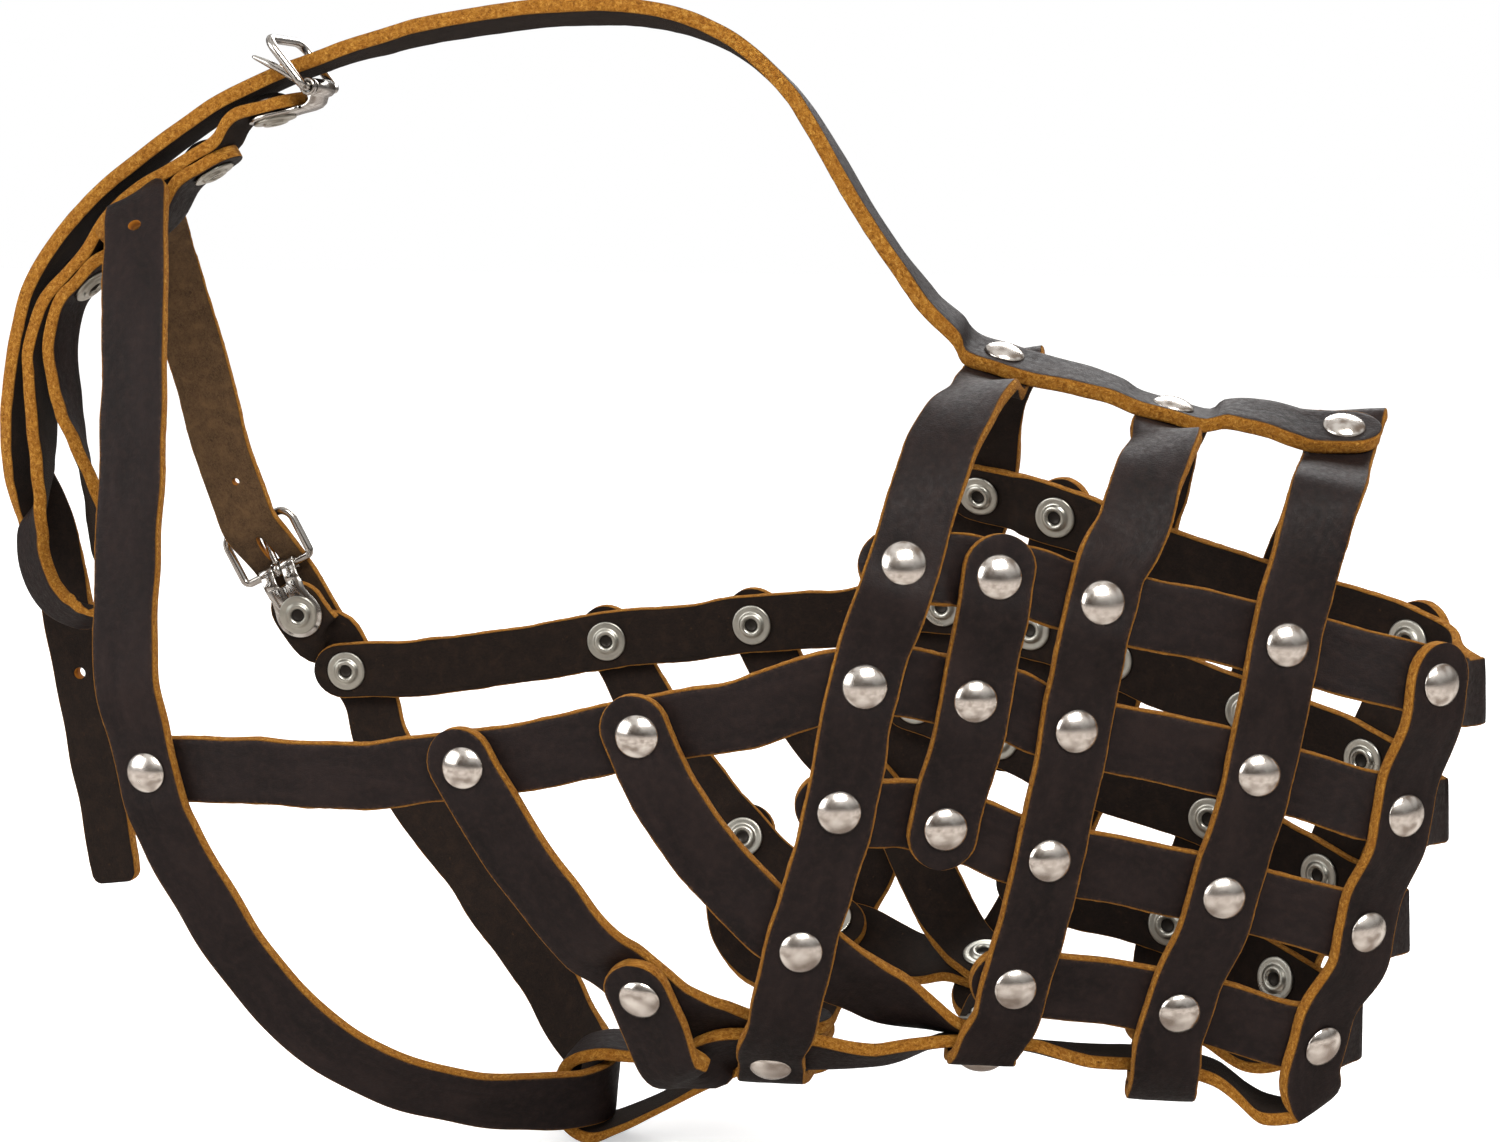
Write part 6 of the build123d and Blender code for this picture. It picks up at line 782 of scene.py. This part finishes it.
def flesh_material(name="leather_flesh", worn=False):
    mt, nt, bs = nodes_of(name)
    v = strap_uv(nt)
    big = noise(nt, v, 2.4, 6, 0.68, 0.5)
    fib = noise(nt, strap_uv(nt, 0.6), 22.0, 8, 0.75, 1.2)
    dark = ramp(nt, big, [(0.28, srgb(11, 7, 5)), (0.5, srgb(20, 13, 9)), (0.75, srgb(36, 24, 16))])
    dark = mix(nt, ramp(nt, fib, [(0.4, (0, 0, 0)), (0.7, (0.5, 0.5, 0.5))]), dark, srgb(46, 31, 21))
    col = dark
    # painted light: by world height the flesh blends into a lighter olive copy, lighter towards the top
    if worn:
        olive = ramp(nt, big, [(0.28, srgb(40, 27, 17)), (0.5, srgb(66, 47, 31)), (0.75, srgb(94, 70, 45))])
        olive = mix(nt, ramp(nt, fib, [(0.38, (0, 0, 0)), (0.68, (0.7, 0.7, 0.7))]), olive, srgb(108, 82, 52))
        ge = nt.nodes.new("ShaderNodeNewGeometry")
        se = nt.nodes.new("ShaderNodeSeparateXYZ")
        nt.links.new(ge.outputs["Position"], se.inputs[0])
        up = nt.nodes.new("ShaderNodeMapRange")
        up.inputs[1].default_value = -0.012
        up.inputs[2].default_value = 0.014
        nt.links.new(se.outputs[2], up.inputs[0])
        col = mix(nt, up.outputs[0], dark, olive)
    spots = ramp(nt, noise(nt, v, 6.0, 7, 0.8), [(0.60, (0, 0, 0)), (0.74, (0.45, 0.45, 0.45))])
    col = mix(nt, spots, col, srgb(104, 70, 38))
    nt.links.new(col, bs.inputs["Base Color"])
    bs.inputs["Roughness"].default_value = 0.92
    bs.inputs["Specular IOR Level"].default_value = 0.2
    bs.inputs["Sheen Weight"].default_value = 0.05
    bs.inputs["Sheen Roughness"].default_value = 0.5
    bs.inputs["Sheen Tint"].default_value = (*srgb(150, 120, 90), 1)
    b1 = bump(nt, fib, 0.9, 0.00035)
    b2 = bump(nt, noise(nt, v, 70, 4, 0.7), 0.6, 0.00018, b1)
    nt.links.new(b2, bs.inputs["Normal"])
    return mt


def edge_material():
    mt, nt, bs = nodes_of("leather_cut_edge")
    v = strap_uv(nt)
    fib = noise(nt, strap_uv(nt, 0.7), 15.0, 8, 0.80, 0.8)
    big = noise(nt, v, 3.0, 5, 0.6, 0.3)
    col = ramp(nt, fib, [(0.30, srgb(44, 22, 6)), (0.41, srgb(132, 80, 22)), (0.52, srgb(180, 120, 40)), (0.68, srgb(226, 176, 88))])
    col = mix(nt, ramp(nt, big, [(0.40, (0, 0, 0)), (0.78, (0.5, 0.5, 0.5))]), col, srgb(140, 82, 24))
    # dye creeps over both rims
    h = attr(nt, "height")
    rag = maths(nt, "ADD", h, maths(nt, "MULTIPLY", maths(nt, "SUBTRACT", noise(nt, v, 14.0, 5, 0.7), 0.5), 0.55))
    top = ramp(nt, rag, [(0.86, (0, 0, 0)), (1.0, (0.85, 0.85, 0.85))])
    col = mix(nt, top, col, srgb(50, 30, 16))
    neg = maths(nt, "MULTIPLY", rag, -1.0)
    bot = ramp(nt, neg, [(0.88, (0, 0, 0)), (1.0, (0.6, 0.6, 0.6))])
    col = mix(nt, bot, col, srgb(60, 36, 17))
    nt.links.new(col, bs.inputs["Base Color"])
    bs.inputs["Roughness"].default_value = 0.95
    bs.inputs["Specular IOR Level"].default_value = 0.10
    bs.inputs["Sheen Weight"].default_value = 0.03
    b1 = bump(nt, fib, 1.0, 0.0007)
    b2 = bump(nt, noise(nt, v, 60, 5, 0.75), 1.0, 0.0004, b1)
    nt.links.new(b2, bs.inputs["Normal"])
    return mt


def metal_material(name, base, rough, dirt=0.0, bumpy=0.05):
    mt, nt, bs = nodes_of(name)
    tc = nt.nodes.new("ShaderNodeTexCoord")
    v = tc.outputs["Object"]
    spot = noise(nt, v, 420.0, 6, 0.65)
    cloud = noise(nt, v, 90.0, 4, 0.6)
    col = mix(nt, ramp(nt, spot, [(0.5, (0, 0, 0)), (0.85, (dirt, dirt, dirt))]), base, tuple(c * 0.55 for c in base))
    nt.links.new(col, bs.inputs["Base Color"])
    bs.inputs["Metallic"].default_value = 1.0
    rr = ramp(nt, cloud, [(0.3, (rough * 0.7,) * 3), (0.75, (rough * 1.5,) * 3)])
    nt.links.new(rr, bs.inputs["Roughness"])
    b1 = bump(nt, noise(nt, v, 260.0, 3, 0.5), bumpy, 0.0004)
    sc = nt.nodes.new("ShaderNodeMapping")
    sc.inputs["Scale"].default_value = (1, 14, 3)
    nt.links.new(v, sc.inputs[0])
    b2 = bump(nt, noise(nt, sc.outputs[0], 500.0, 2, 0.5), bumpy * 0.7, 0.0001, b1)
    nt.links.new(b2, bs.inputs["Normal"])
    return mt


GRAIN, FLESH, EDGE = grain_material(), flesh_material(), edge_material()
# flesh copy with painted light: lighter towards the top, used on the throat strap
FLESH_PAINTED_LIGHT = flesh_material("leather_flesh_worn", True)
CAP = metal_material("nickel_cap", srgb(224, 217, 209), 0.19, 0.24, 0.06)
BACK = metal_material("nickel_back", srgb(188, 186, 176), 0.34, 0.5, 0.12)
WIRE = metal_material("nickel_wire", srgb(196, 192, 186), 0.17, 0.4, 0.05)
# painted shade: dark colour for the disc in each rivet bore, standing in for the shadowed hollow
BORE_SHADE, _nt, _bs = nodes_of("rivet_bore_painted_shade")
_bs.inputs["Base Color"].default_value = (*srgb(46, 42, 38), 1)
_bs.inputs["Metallic"].default_value = 0.8
_tc = _nt.nodes.new("ShaderNodeTexCoord")
_nt.links.new(ramp(_nt, noise(_nt, _tc.outputs["Object"], 300, 4), [(0.3, (0.3,) * 3), (0.8, (0.7,) * 3)]), _bs.inputs["Roughness"])


# ------------------------------------------------------------------ revolved metal
def basis(n):
    n = unit(n)
    x = np.cross([0, 0, 1.0], n) if abs(n[2]) < 0.9 else np.cross([1.0, 0, 0], n)
    x = unit(x)
    return x, np.cross(n, x), n


def lathe(profile, seg=56):
    """Closed profile of (r, h) points turned about h; returns vertices (r cos, r sin, h) and faces."""
    verts, faces = [], []
    idx = []
    for r, h in profile:
        if r < 1e-6:
            idx.append([len(verts)] * seg)
            verts.append((0, 0, h))
        else:
            row = []
            for k in range(seg):
                a = 2 * math.pi * k / seg
                row.append(len(verts))
                verts.append((r * math.cos(a), r * math.sin(a), h))
            idx.append(row)
    for i in range(len(idx) - 1):
        for k in range(seg):
            k2 = (k + 1) % seg
            f = [idx[i][k], idx[i][k2], idx[i + 1][k2], idx[i + 1][k]]
            g = []
            for v in f:
                if v not in g:
                    g.append(v)
            if len(g) > 2:
                faces.append(tuple(g))
    return verts, faces


def cap_profile(top, foot, R=4.75, H=1.95):
    """Underside hidden in the leather, rolled rim, shallow dome."""
    pr = [(0, foot), (1.55, foot), (1.6, foot + 0.3), (1.6, top - 0.35), (R - 0.75, top - 0.30), (R - 0.28, top - 0.26)]
    for a in np.radians([-60, -25, 10, 40]):
        pr.append((R - 0.30 + 0.30 * math.cos(a), top + 0.02 + 0.30 * math.sin(a)))
    for f in (0.93, 0.86, 0.76, 0.64, 0.5, 0.36, 0.22, 0.1):
        pr.append((R * f, top + 0.22 + (H - 0.22) * (1 - f ** 2.25) ** 0.92))
    pr.append((0, top + H))
    return pr


def back_profile(f, Rb=5.2):
    """Flange, valley, rolled ring round the bore."""
    pr = [(0.0, f + 0.05), (Rb - 0.35, f + 0.10), (Rb - 0.1, f + 0.0)]
    for a in np.radians([20, -20, -60, -90]):
        pr.append((Rb - 0.32 + 0.32 * math.cos(a), f - 0.36 + 0.32 * math.sin(a)))
    pr += [(4.3, f - 0.70), (3.75, f - 0.62), (3.35, f - 0.70)]
    for a in np.radians([200, 230, 270, 310, 350, 20]):
        pass
    for a in np.radians([-20, -55, -90, -125, -160]):
        pr.append((2.45 + 0.78 * math.cos(a), f - 0.72 + 0.78 * math.sin(a) * 0.9))
    pr += [(1.62, f - 0.55), (1.5, f + 0.0)]
    pr.append((0.0, f + 0.02))
    return pr


def place(verts, origin, n, jitter=0.0, seed=0):
    x, y, z = basis(n)
    A = np.array(verts)
    M = np.stack([x, y, z], 1)
    return A @ M.T + np.asarray(origin)


def mesh_object(name, chunks, mats):
    """chunks: list of (verts Nx3 in mm, faces, material index)."""
    V, F, Mi = [], [], []
    for v, f, m in chunks:
        o = len(V)
        V += [tuple(c * MM for c in p) for p in v]
        F += [tuple(i + o for i in g) for g in f]
        Mi += [m] * len(f) if isinstance(m, int) else m
    me = bpy.data.meshes.new(name)
    me.from_pydata(V, [], F)
    for mt in mats:
        me.materials.append(mt)
    me.polygons.foreach_set("material_index", Mi)
    me.polygons.foreach_set("use_smooth", [True] * len(F))
    me.update()
    import bmesh
    bm = bmesh.new()
    bm.from_mesh(me)
    bmesh.ops.recalc_face_normals(bm, faces=bm.faces)
    bm.to_mesh(me)
    bm.free()
    ob = bpy.data.objects.new(name, me)
    bpy.context.scene.collection.objects.link(ob)
    return ob


CHAPE_EXTRA = {"L0": 1.35, "NB": 1.35}


def rivets(name, keys):
    caps, backs = [], []
    for i, k in enumerate(keys):
        p, n, lo, hi = RIVETS[k]
        g = np.random.default_rng(100 + sum(map(ord, k)))
        n = unit(np.array(unit(n)) + g.normal(0, 0.02, 3))
        top = hi * PITCH + T / 2 + 0.0
        foot = lo * PITCH - T / 2 - 0.3 - CHAPE_EXTRA.get(k, 0)
        v, f = lathe(cap_profile(top, foot, R=4.75 + g.uniform(-0.06, 0.06), H=1.95 + g.uniform(-0.12, 0.12)))
        caps.append((place(v, p, n), f, 0))
        fl = lo * PITCH - T / 2 - CHAPE_EXTRA.get(k, 0)
        v, f = lathe(back_profile(fl))
        seg = 56
        backs.append((place(v, p, n), f, 0))
        # dark bore disc, dished: painted shade standing in for the shadowed hollow of the bore
        v, f = lathe([(0.0, fl - 0.30), (0.7, fl - 0.33), (1.25, fl - 0.50), (1.72, fl - 0.80), (1.74, fl - 0.2), (0.0, fl + 0.0)])
        backs.append((place(v, p, n), f, 1))
    return caps, backs


# ------------------------------------------------------------------ wires and plates
def tube(path, r, seg=20, closed=True, taper=None):
    """Round wire along a list of points, with parallel-transported sections."""
    P = np.array(path, float)
    n = len(P)
    Tn = np.zeros_like(P)
    for i in range(n):
        a = P[(i - 1) % n] if closed or i > 0 else P[i]
        b = P[(i + 1) % n] if closed or i < n - 1 else P[i]
        Tn[i] = unit(b - a)
    ref = np.array([0, 0, 1.0]) if abs(Tn[0][2]) < 0.9 else np.array([1.0, 0, 0])
    u = unit(np.cross(Tn[0], ref))
    V, F = [], []
    for i in range(n):
        u = unit(u - Tn[i] * (u @ Tn[i]))
        v = np.cross(Tn[i], u)
        rr = r * (taper[i] if taper is not None else 1.0)
        for k in range(seg):
            a = 2 * math.pi * k / seg
            V.append(P[i] + rr * (math.cos(a) * u + math.sin(a) * v))
    m = n if closed else n - 1
    for i in range(m):
        j = (i + 1) % n
        for k in range(seg):
            k2 = (k + 1) % seg
            F.append((i * seg + k, i * seg + k2, j * seg + k2, j * seg + k))
    if not closed:
        F.append(tuple(range(seg))[::-1])
        F.append(tuple((n - 1) * seg + k for k in range(seg)))
    return V, F


class Seat:
    def __init__(self, o, s, n, bar_n):
        self.o, self.s = np.array(o, float), unit(s)
        n = np.array(n, float)
        self.n = unit(n - self.s * (n @ self.s))
        self.w = np.cross(self.s, self.n)
        self.bar_n = bar_n
        self.bar = self.at(13.0, bar_n)

    def at(self, s, n, w=0.0):
        return self.o + self.s * s + self.n * n + self.w * w


CROWN = Seat((-154.3, 0, 121.8), (0.972, 0, 0.235), (-0.235, 0, 0.972), 1.6)
NECK = Seat(NECK_O, NECK_S, NECK_N, 0.8)


def frame_wire(seat, u, name):
    u = unit(u)
    L, h, ri, ro = 14.0, 10.2, 1.6, 3.4
    pts = []
    for y in np.linspace(-h + ri, h - ri, 15):
        pts.append((0, y))
    for a in np.radians([15, 30, 45, 60, 75, 90]):
        pts.append((ri - ri * math.cos(a), h - ri + ri * math.sin(a)))
    for x in np.linspace(ri + 1, L - ro, 7):
        pts.append((x, h))
    for a in np.radians([12, 24, 36, 48, 60, 72, 84, 90]):
        pts.append((L - ro + ro * math.sin(a), h - ro + ro * math.cos(a)))
    for y in np.linspace(h - ro - 1, -h + ro, 11):
        pts.append((L, y))
    for a in np.radians([12, 24, 36, 48, 60, 72, 84, 90]):
        pts.append((L - ro + ro * math.cos(a), -h + ro - ro * math.sin(a)))
    for x in np.linspace(L - ro - 1, ri, 7):
        pts.append((x, -h))
    for a in np.radians([15, 30, 45, 60, 75]):
        pts.append((ri - ri * math.sin(a), -h + ri - ri * math.cos(a)))
    P = [seat.bar + u * x + seat.w * y for x, y in pts]
    v, f = tube(P, 1.08)
    return mesh_object(name, [(v, f, 0)], [WIRE])


def prong(seat, u, w, name):
    u = unit(u)
    side = unit(np.cross(seat.w, u))
    eye = []
    for k in range(28):
        a = 2 * math.pi * k / 28
        eye.append(seat.bar + seat.w * w + 1.62 * (math.cos(a) * u + math.sin(a) * side))
    v1, f1 = tube(eye, 0.46, seg=14)
    # flatten the eye across the bar so that it reads as a bent strip
    c = seat.bar + seat.w * w
    v1 = [p + seat.w * (((p - c) @ seat.w) * 0.9) for p in v1]
    root = c + u * 1.75
    n = 26
    xs = np.linspace(0, 15.4 - 1.75, n)
    bend = lambda x: 0.35 * math.sin(math.pi * x / xs[-1])
    P = [root + u * x + side * 0.0 + unit(np.cross(u, seat.w)) * bend(x) for x in xs]
    tp = [1.0 if x < 9 else 1.0 - 0.48 * ((x - 9) / (xs[-1] - 9)) for x in xs]
    tp[-1] *= 0.55
    v2, f2 = tube(P, 0.9, seg=18, closed=False, taper=tp)
    return mesh_object(name, [(v1, f1, 0), (v2, f2, 0)], [WIRE])


def sheet_solid(outline, t0, t1, to3):
    """Flat plate: outline is a list of (a, b), thickness t0..t1, to3 maps (a, b, t) to space; small bevel on both rims."""
    n = len(outline)
    O = np.array(outline)
    c = O.mean(0)
    rows = []
    for ins, tt in ((0.22, t0), (0.0, t0 + 0.2), (0.0, t1 - 0.2), (0.22, t1)):
        d = O - c
        k = 1 - ins / np.linalg.norm(d, axis=1)[:, None]
        rows.append([to3(a, b, tt) for a, b in (c + d * k)])
    V = [p for r in rows for p in r]
    F = []
    for r in range(3):
        for i in range(n):
            j = (i + 1) % n
            F.append((r * n + i, r * n + j, (r + 1) * n + j, (r + 1) * n + i))
    F.append(tuple(range(n))[::-1])
    F.append(tuple(3 * n + i for i in range(n)))
    return V, F


def chape_plate(seat, name, notch):
    top = -T / 2 - 0.35
    o = []
    for a in np.radians(np.linspace(90, 270, 31)):
        o.append((6.3 * math.cos(a), 6.3 * math.sin(a)))
    o += [(1.5, -6.1), (4.0, -5.4), (6.0, -5.0), (7.4, -5.2), (9.4, -5.2)]
    if notch:
        o += [(9.4, -1.25), (8.6, -0.9), (8.6, 0.9), (9.4, 1.25)]
    o += [(9.4, 5.2), (7.4, 5.2), (6.0, 5.0), (4.0, 5.4), (1.5, 6.1)]
    chunks = []
    v, f = sheet_solid(o, top - 0.95, top, lambda a, b, t: seat.at(a, t, b))
    chunks.append((v, f, 0))
    # curl: swept strip from the plate's end round the bar
    bn = seat.bar_n
    path = [(8.6, top - 0.48), (9.6, top - 0.48), (10.6, top - 0.30), (11.6, top + 0.30), (12.3, bn - 1.9)]
    r = 1.62
    for a in np.radians(np.arange(-95, 175, 15)):
        path.append((13.0 + r * math.cos(a), bn + r * math.sin(a)))
    P = np.array(path)
    Tn = np.gradient(P, axis=0)
    Tn /= np.linalg.norm(Tn, axis=1)[:, None]
    Nn = np.stack([-Tn[:, 1], Tn[:, 0]], 1)
    spans = ((-5.2, -1.3), (1.3, 5.2)) if notch else ((-5.2, 5.2),)
    for w0, w1 in spans:
        V, F = [], []
        sec = [(w0, -0.30), (w0 + 0.2, -0.42), (w1 - 0.2, -0.42), (w1, -0.30), (w1, 0.30), (w1 - 0.2, 0.42), (w0 + 0.2, 0.42), (w0, 0.30)]
        for p, nn in zip(P, Nn):
            for w, h in sec:
                q = p + nn * h
                V.append(seat.at(q[0], q[1], w))
        m = len(sec)
        for i in range(len(P) - 1):
            for k in range(m):
                k2 = (k + 1) % m
                F.append((i * m + k, i * m + k2, (i + 1) * m + k2, (i + 1) * m + k))
        F.append(tuple(range(m))[::-1])
        F.append(tuple((len(P) - 1) * m + k for k in range(m)))
        chunks.append((V, F, 0))
    ob = mesh_object(name, chunks, [WIRE])
    ob.data.polygons.foreach_set("use_smooth", [True] * len(ob.data.polygons))
    return ob


# ------------------------------------------------------------------ build the leather
def cut(ob, cutters):
    """Punch the buckle holes."""
    for i, (p, n, r, stretch, along) in enumerate(cutters):
        x, y, z = basis(n)
        if along is not None:
            x = unit(np.array(along) - z * (np.array(along) @ z))
            y = np.cross(z, x)
        V, F = [], []
        seg = 24
        for h in (-5, 5):
            for k in range(seg):
                a = 2 * math.pi * k / seg
                V.append(np.array(p) + x * r * stretch * math.cos(a) + y * r * math.sin(a) + z * h)
        for k in range(seg):
            k2 = (k + 1) % seg
            F.append((k, k2, seg + k2, seg + k))
        F.append(tuple(range(seg))[::-1])
        F.append(tuple(seg + k for k in range(seg)))
        c = mesh_object("cutter_%d" % i, [(V, F, 0)], [EDGE])
        md = ob.modifiers.new("hole", "BOOLEAN")
        md.operation = "DIFFERENCE"
        md.object = c
        md.solver = "EXACT"
        bpy.context.view_layer.update()
        dg = bpy.context.evaluated_depsgraph_get()
        me = bpy.data.meshes.new_from_object(ob.evaluated_get(dg))
        old = ob.data
        if len(me.polygons) > 0.8 * len(old.polygons):
            ob.modifiers.clear()
            ob.data = me
        else:
            ob.modifiers.clear()
        bpy.data.objects.remove(c, do_unlink=True)


CUTS = {
    "neck_throat_strap": [((-179.6, -21.6, 93.5), (0.05, -0.8, 0.56), 1.55, 1.0, None),
                          ((-186.3, 43.6, 26.4), (-0.13, 0.98, 0.09), 0.95, 1.0, None),
                          (tuple(NECK.at(18.3, 0)), tuple(NECK.n), 1.4, 3.65, tuple(NECK.s))],
    "crown_strap": [((-216.0, 11.3, -20.0), (-0.04, 1.0, -0.02), 1.5, 1.0, None)],
}
for i, name in enumerate(STATIONS):
    ob = add_strap(name, seed=i + 3)
    if name in CUTS:
        cut(ob, CUTS[name])
    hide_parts(name)
    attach(ob, "muzzle")

GROUPS = {
    "right": [k for k in RIVETS if k.endswith("_r")],
    "left": [k for k in RIVETS if k.endswith("_l")],
    "top": ["TA", "TB", "TC"],
    "chin": ["BA", "BB", "BC"],
    "crown_loop": ["L0", "L1", "L2"],
}
for g, keys in GROUPS.items():
    caps, backs = rivets(g, keys)
    ob = mesh_object(g + "_caps_nickel", caps, [CAP])
    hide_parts(g + "_rivet_caps"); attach(ob, "muzzle")
    ob = mesh_object(g + "_backs_nickel", backs, [BACK, BORE_SHADE])
    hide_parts(g + "_rivet_backs"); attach(ob, "muzzle")
caps, backs = rivets("neck", ["NB"])
ob = mesh_object("neck_chape_cap_nickel", caps, [CAP]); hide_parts("neck_chape_rivet_cap"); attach(ob, "muzzle")
ob = mesh_object("neck_chape_back_nickel", backs, [BACK, BORE_SHADE]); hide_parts("neck_chape_rivet_back"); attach(ob, "muzzle")

ob = frame_wire(CROWN, (-0.62, 0, 0.785), "crown_frame_wire"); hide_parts("crown_buckle_frame"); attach(ob, "crown_frame")
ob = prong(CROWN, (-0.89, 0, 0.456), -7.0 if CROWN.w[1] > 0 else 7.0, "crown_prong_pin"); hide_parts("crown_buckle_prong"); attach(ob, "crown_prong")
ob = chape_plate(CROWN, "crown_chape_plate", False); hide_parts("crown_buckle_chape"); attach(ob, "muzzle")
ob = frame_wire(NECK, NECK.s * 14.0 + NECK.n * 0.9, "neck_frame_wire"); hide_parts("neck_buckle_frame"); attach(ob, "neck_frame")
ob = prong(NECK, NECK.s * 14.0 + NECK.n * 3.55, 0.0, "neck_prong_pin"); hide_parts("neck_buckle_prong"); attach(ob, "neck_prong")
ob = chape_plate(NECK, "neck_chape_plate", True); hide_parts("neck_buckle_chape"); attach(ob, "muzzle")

# ------------------------------------------------------------------ stage, light, camera
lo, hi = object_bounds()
floor_z = lo[2] - 0.0005
me = bpy.data.meshes.new("floor")
s = 6.0
me.from_pydata([(-s, -s, floor_z), (s, -s, floor_z), (s, s, floor_z), (-s, s, floor_z)], [], [(0, 1, 2, 3)])
floor = bpy.data.objects.new("floor", me)
bpy.context.scene.collection.objects.link(floor)
mt, nt, bs = nodes_of("pale_floor")
tc = nt.nodes.new("ShaderNodeTexCoord")
pale = ramp(nt, noise(nt, tc.outputs["Object"], 3.0, 2), [(0.3, (0.86, 0.86, 0.86)), (0.7, (0.88, 0.88, 0.88))])
lpg = nt.nodes.new("ShaderNodeLightPath")
dusk = ramp(nt, noise(nt, tc.outputs["Object"], 9.0, 3), [(0.38, (0.20, 0.165, 0.145)), (0.62, (0.62, 0.59, 0.565))])
nt.links.new(mix(nt, lpg.outputs["Is Glossy Ray"], pale, dusk), bs.inputs["Base Color"])
bs.inputs["Roughness"].default_value = 0.9
bs.inputs["Specular IOR Level"].default_value = 0.1
lpf = nt.nodes.new("ShaderNodeLightPath")
em = maths(nt, "MULTIPLY", lpf.outputs["Is Camera Ray"], 0.52)
bs.inputs["Emission Color"].default_value = (1, 1, 1, 1)
nt.links.new(em, bs.inputs["Emission Strength"])
me.materials.append(mt)

world = bpy.data.worlds.new("studio")
bpy.context.scene.world = world
world.use_nodes = True
wt = world.node_tree
wt.nodes.clear()
wo = wt.nodes.new("ShaderNodeOutputWorld")
lp = wt.nodes.new("ShaderNodeLightPath")
bgc = wt.nodes.new("ShaderNodeBackground")
bgc.inputs[0].default_value = (1, 1, 1, 1)
bgc.inputs[1].default_value = 1.0
bgl = wt.nodes.new("ShaderNodeBackground")
tcw = wt.nodes.new("ShaderNodeTexCoord")
sep = wt.nodes.new("ShaderNodeSeparateXYZ")
wt.links.new(tcw.outputs["Generated"], sep.inputs[0])
rp = wt.nodes.new("ShaderNodeValToRGB")
cr = rp.color_ramp
for pos, c in ((0.0, 0.44), (0.42, 0.52), (0.50, 0.26), (0.60, 0.42), (0.74, 0.82), (1.0, 1.0)):
    e = cr.elements.new(pos) if pos not in (0.0, 1.0) else cr.elements[0 if pos == 0.0 else -1]
    e.color = (c, c * 0.985, c * 0.97, 1)
mr = wt.nodes.new("ShaderNodeMapRange")
mr.inputs[1].default_value = -1
mr.inputs[2].default_value = 1
wt.links.new(sep.outputs[2], mr.inputs[0])
wt.links.new(mr.outputs[0], rp.inputs[0])
wn = wt.nodes.new("ShaderNodeTexNoise")
wn.inputs["Scale"].default_value = 2.2
wn.inputs["Detail"].default_value = 2.0
wt.links.new(tcw.outputs["Generated"], wn.inputs["Vector"])
wr = wt.nodes.new("ShaderNodeValToRGB")
wr.color_ramp.elements[0].position = 0.40
wr.color_ramp.elements[0].color = (0.30, 0.24, 0.20, 1)
wr.color_ramp.elements[1].position = 0.58
wr.color_ramp.elements[1].color = (1, 1, 1, 1)
wt.links.new(wn.outputs["Fac"], wr.inputs[0])
wm = wt.nodes.new("ShaderNodeMix")
wm.data_type = "RGBA"
wm.blend_type = "MULTIPLY"
wt.links.new(lp.outputs["Is Glossy Ray"], wm.inputs[0])
wt.links.new(rp.outputs[0], wm.inputs[6])
# the dark side of the studio, behind the camera, which the domed caps mirror
vd = wt.nodes.new("ShaderNodeVectorMath")
vd.operation = "DOT_PRODUCT"
vd.inputs[1].default_value = Vector((0.16, -0.90, -0.40)).normalized()
wt.links.new(tcw.outputs["Generated"], vd.inputs[0])
vr = wt.nodes.new("ShaderNodeValToRGB")
vr.color_ramp.elements[0].position = 0.70
vr.color_ramp.elements[0].color = (1, 1, 1, 1)
vr.color_ramp.elements[1].position = 0.93
vr.color_ramp.elements[1].color = (0.20, 0.15, 0.12, 1)
wt.links.new(vd.outputs["Value"], vr.inputs[0])
vm = wt.nodes.new("ShaderNodeMix")
vm.data_type = "RGBA"
vm.blend_type = "MULTIPLY"
vm.inputs[0].default_value = 1.0
wt.links.new(wr.outputs[0], vm.inputs[6])
wt.links.new(vr.outputs[0], vm.inputs[7])
wt.links.new(vm.outputs[2], wm.inputs[7])
wt.links.new(wm.outputs[2], bgl.inputs[0])
bgl.inputs[1].default_value = 0.85
mx = wt.nodes.new("ShaderNodeMixShader")
wt.links.new(lp.outputs["Is Camera Ray"], mx.inputs[0])
wt.links.new(bgl.outputs[0], mx.inputs[1])
wt.links.new(bgc.outputs[0], mx.inputs[2])
wt.links.new(mx.outputs[0], wo.inputs[0])


def area(name, loc, target, size, power, col=(1, 1, 1)):
    l = bpy.data.lights.new(name, "AREA")
    l.shape = "RECTANGLE"
    l.size, l.size_y = size
    l.energy = power
    l.color = col
    o = bpy.data.objects.new(name, l)
    bpy.context.scene.collection.objects.link(o)
    o.location = loc
    d = Vector(target) - Vector(loc)
    o.rotation_euler = d.to_track_quat("-Z", "Y").to_euler()
    return o


mid = (-0.05, 0, 0.02)
area("key", (0.35, -0.75, 0.85), mid, (0.7, 0.5), 14.0, (1, 0.985, 0.96))
area("fill", (-0.85, -0.6, 0.35), mid, (0.8, 0.6), 6.0, (1, 1, 1))
area("back", (0.1, 0.9, 0.75), mid, (0.9, 0.6), 10.0, (1, 1, 1))

cam_data = bpy.data.cameras.new("camera")
cam_data.sensor_width = 36.0
cam_data.lens = 57.6
cam_data.clip_start = 0.01
cam = bpy.data.objects.new("camera", cam_data)
bpy.context.scene.collection.objects.link(cam)
CAM_R = ((0.977032, -0.033410, 0.210457), (0.213093, 0.153186, -0.964949), (0.000000, 0.987632, 0.156787))
cam.matrix_world = Matrix.Translation(Vector((80.803, -543.890, 102.467)) * MM) @ Matrix(CAM_R).to_4x4()
bpy.context.scene.camera = cam
bpy.context.scene.view_settings.view_transform = "Standard"
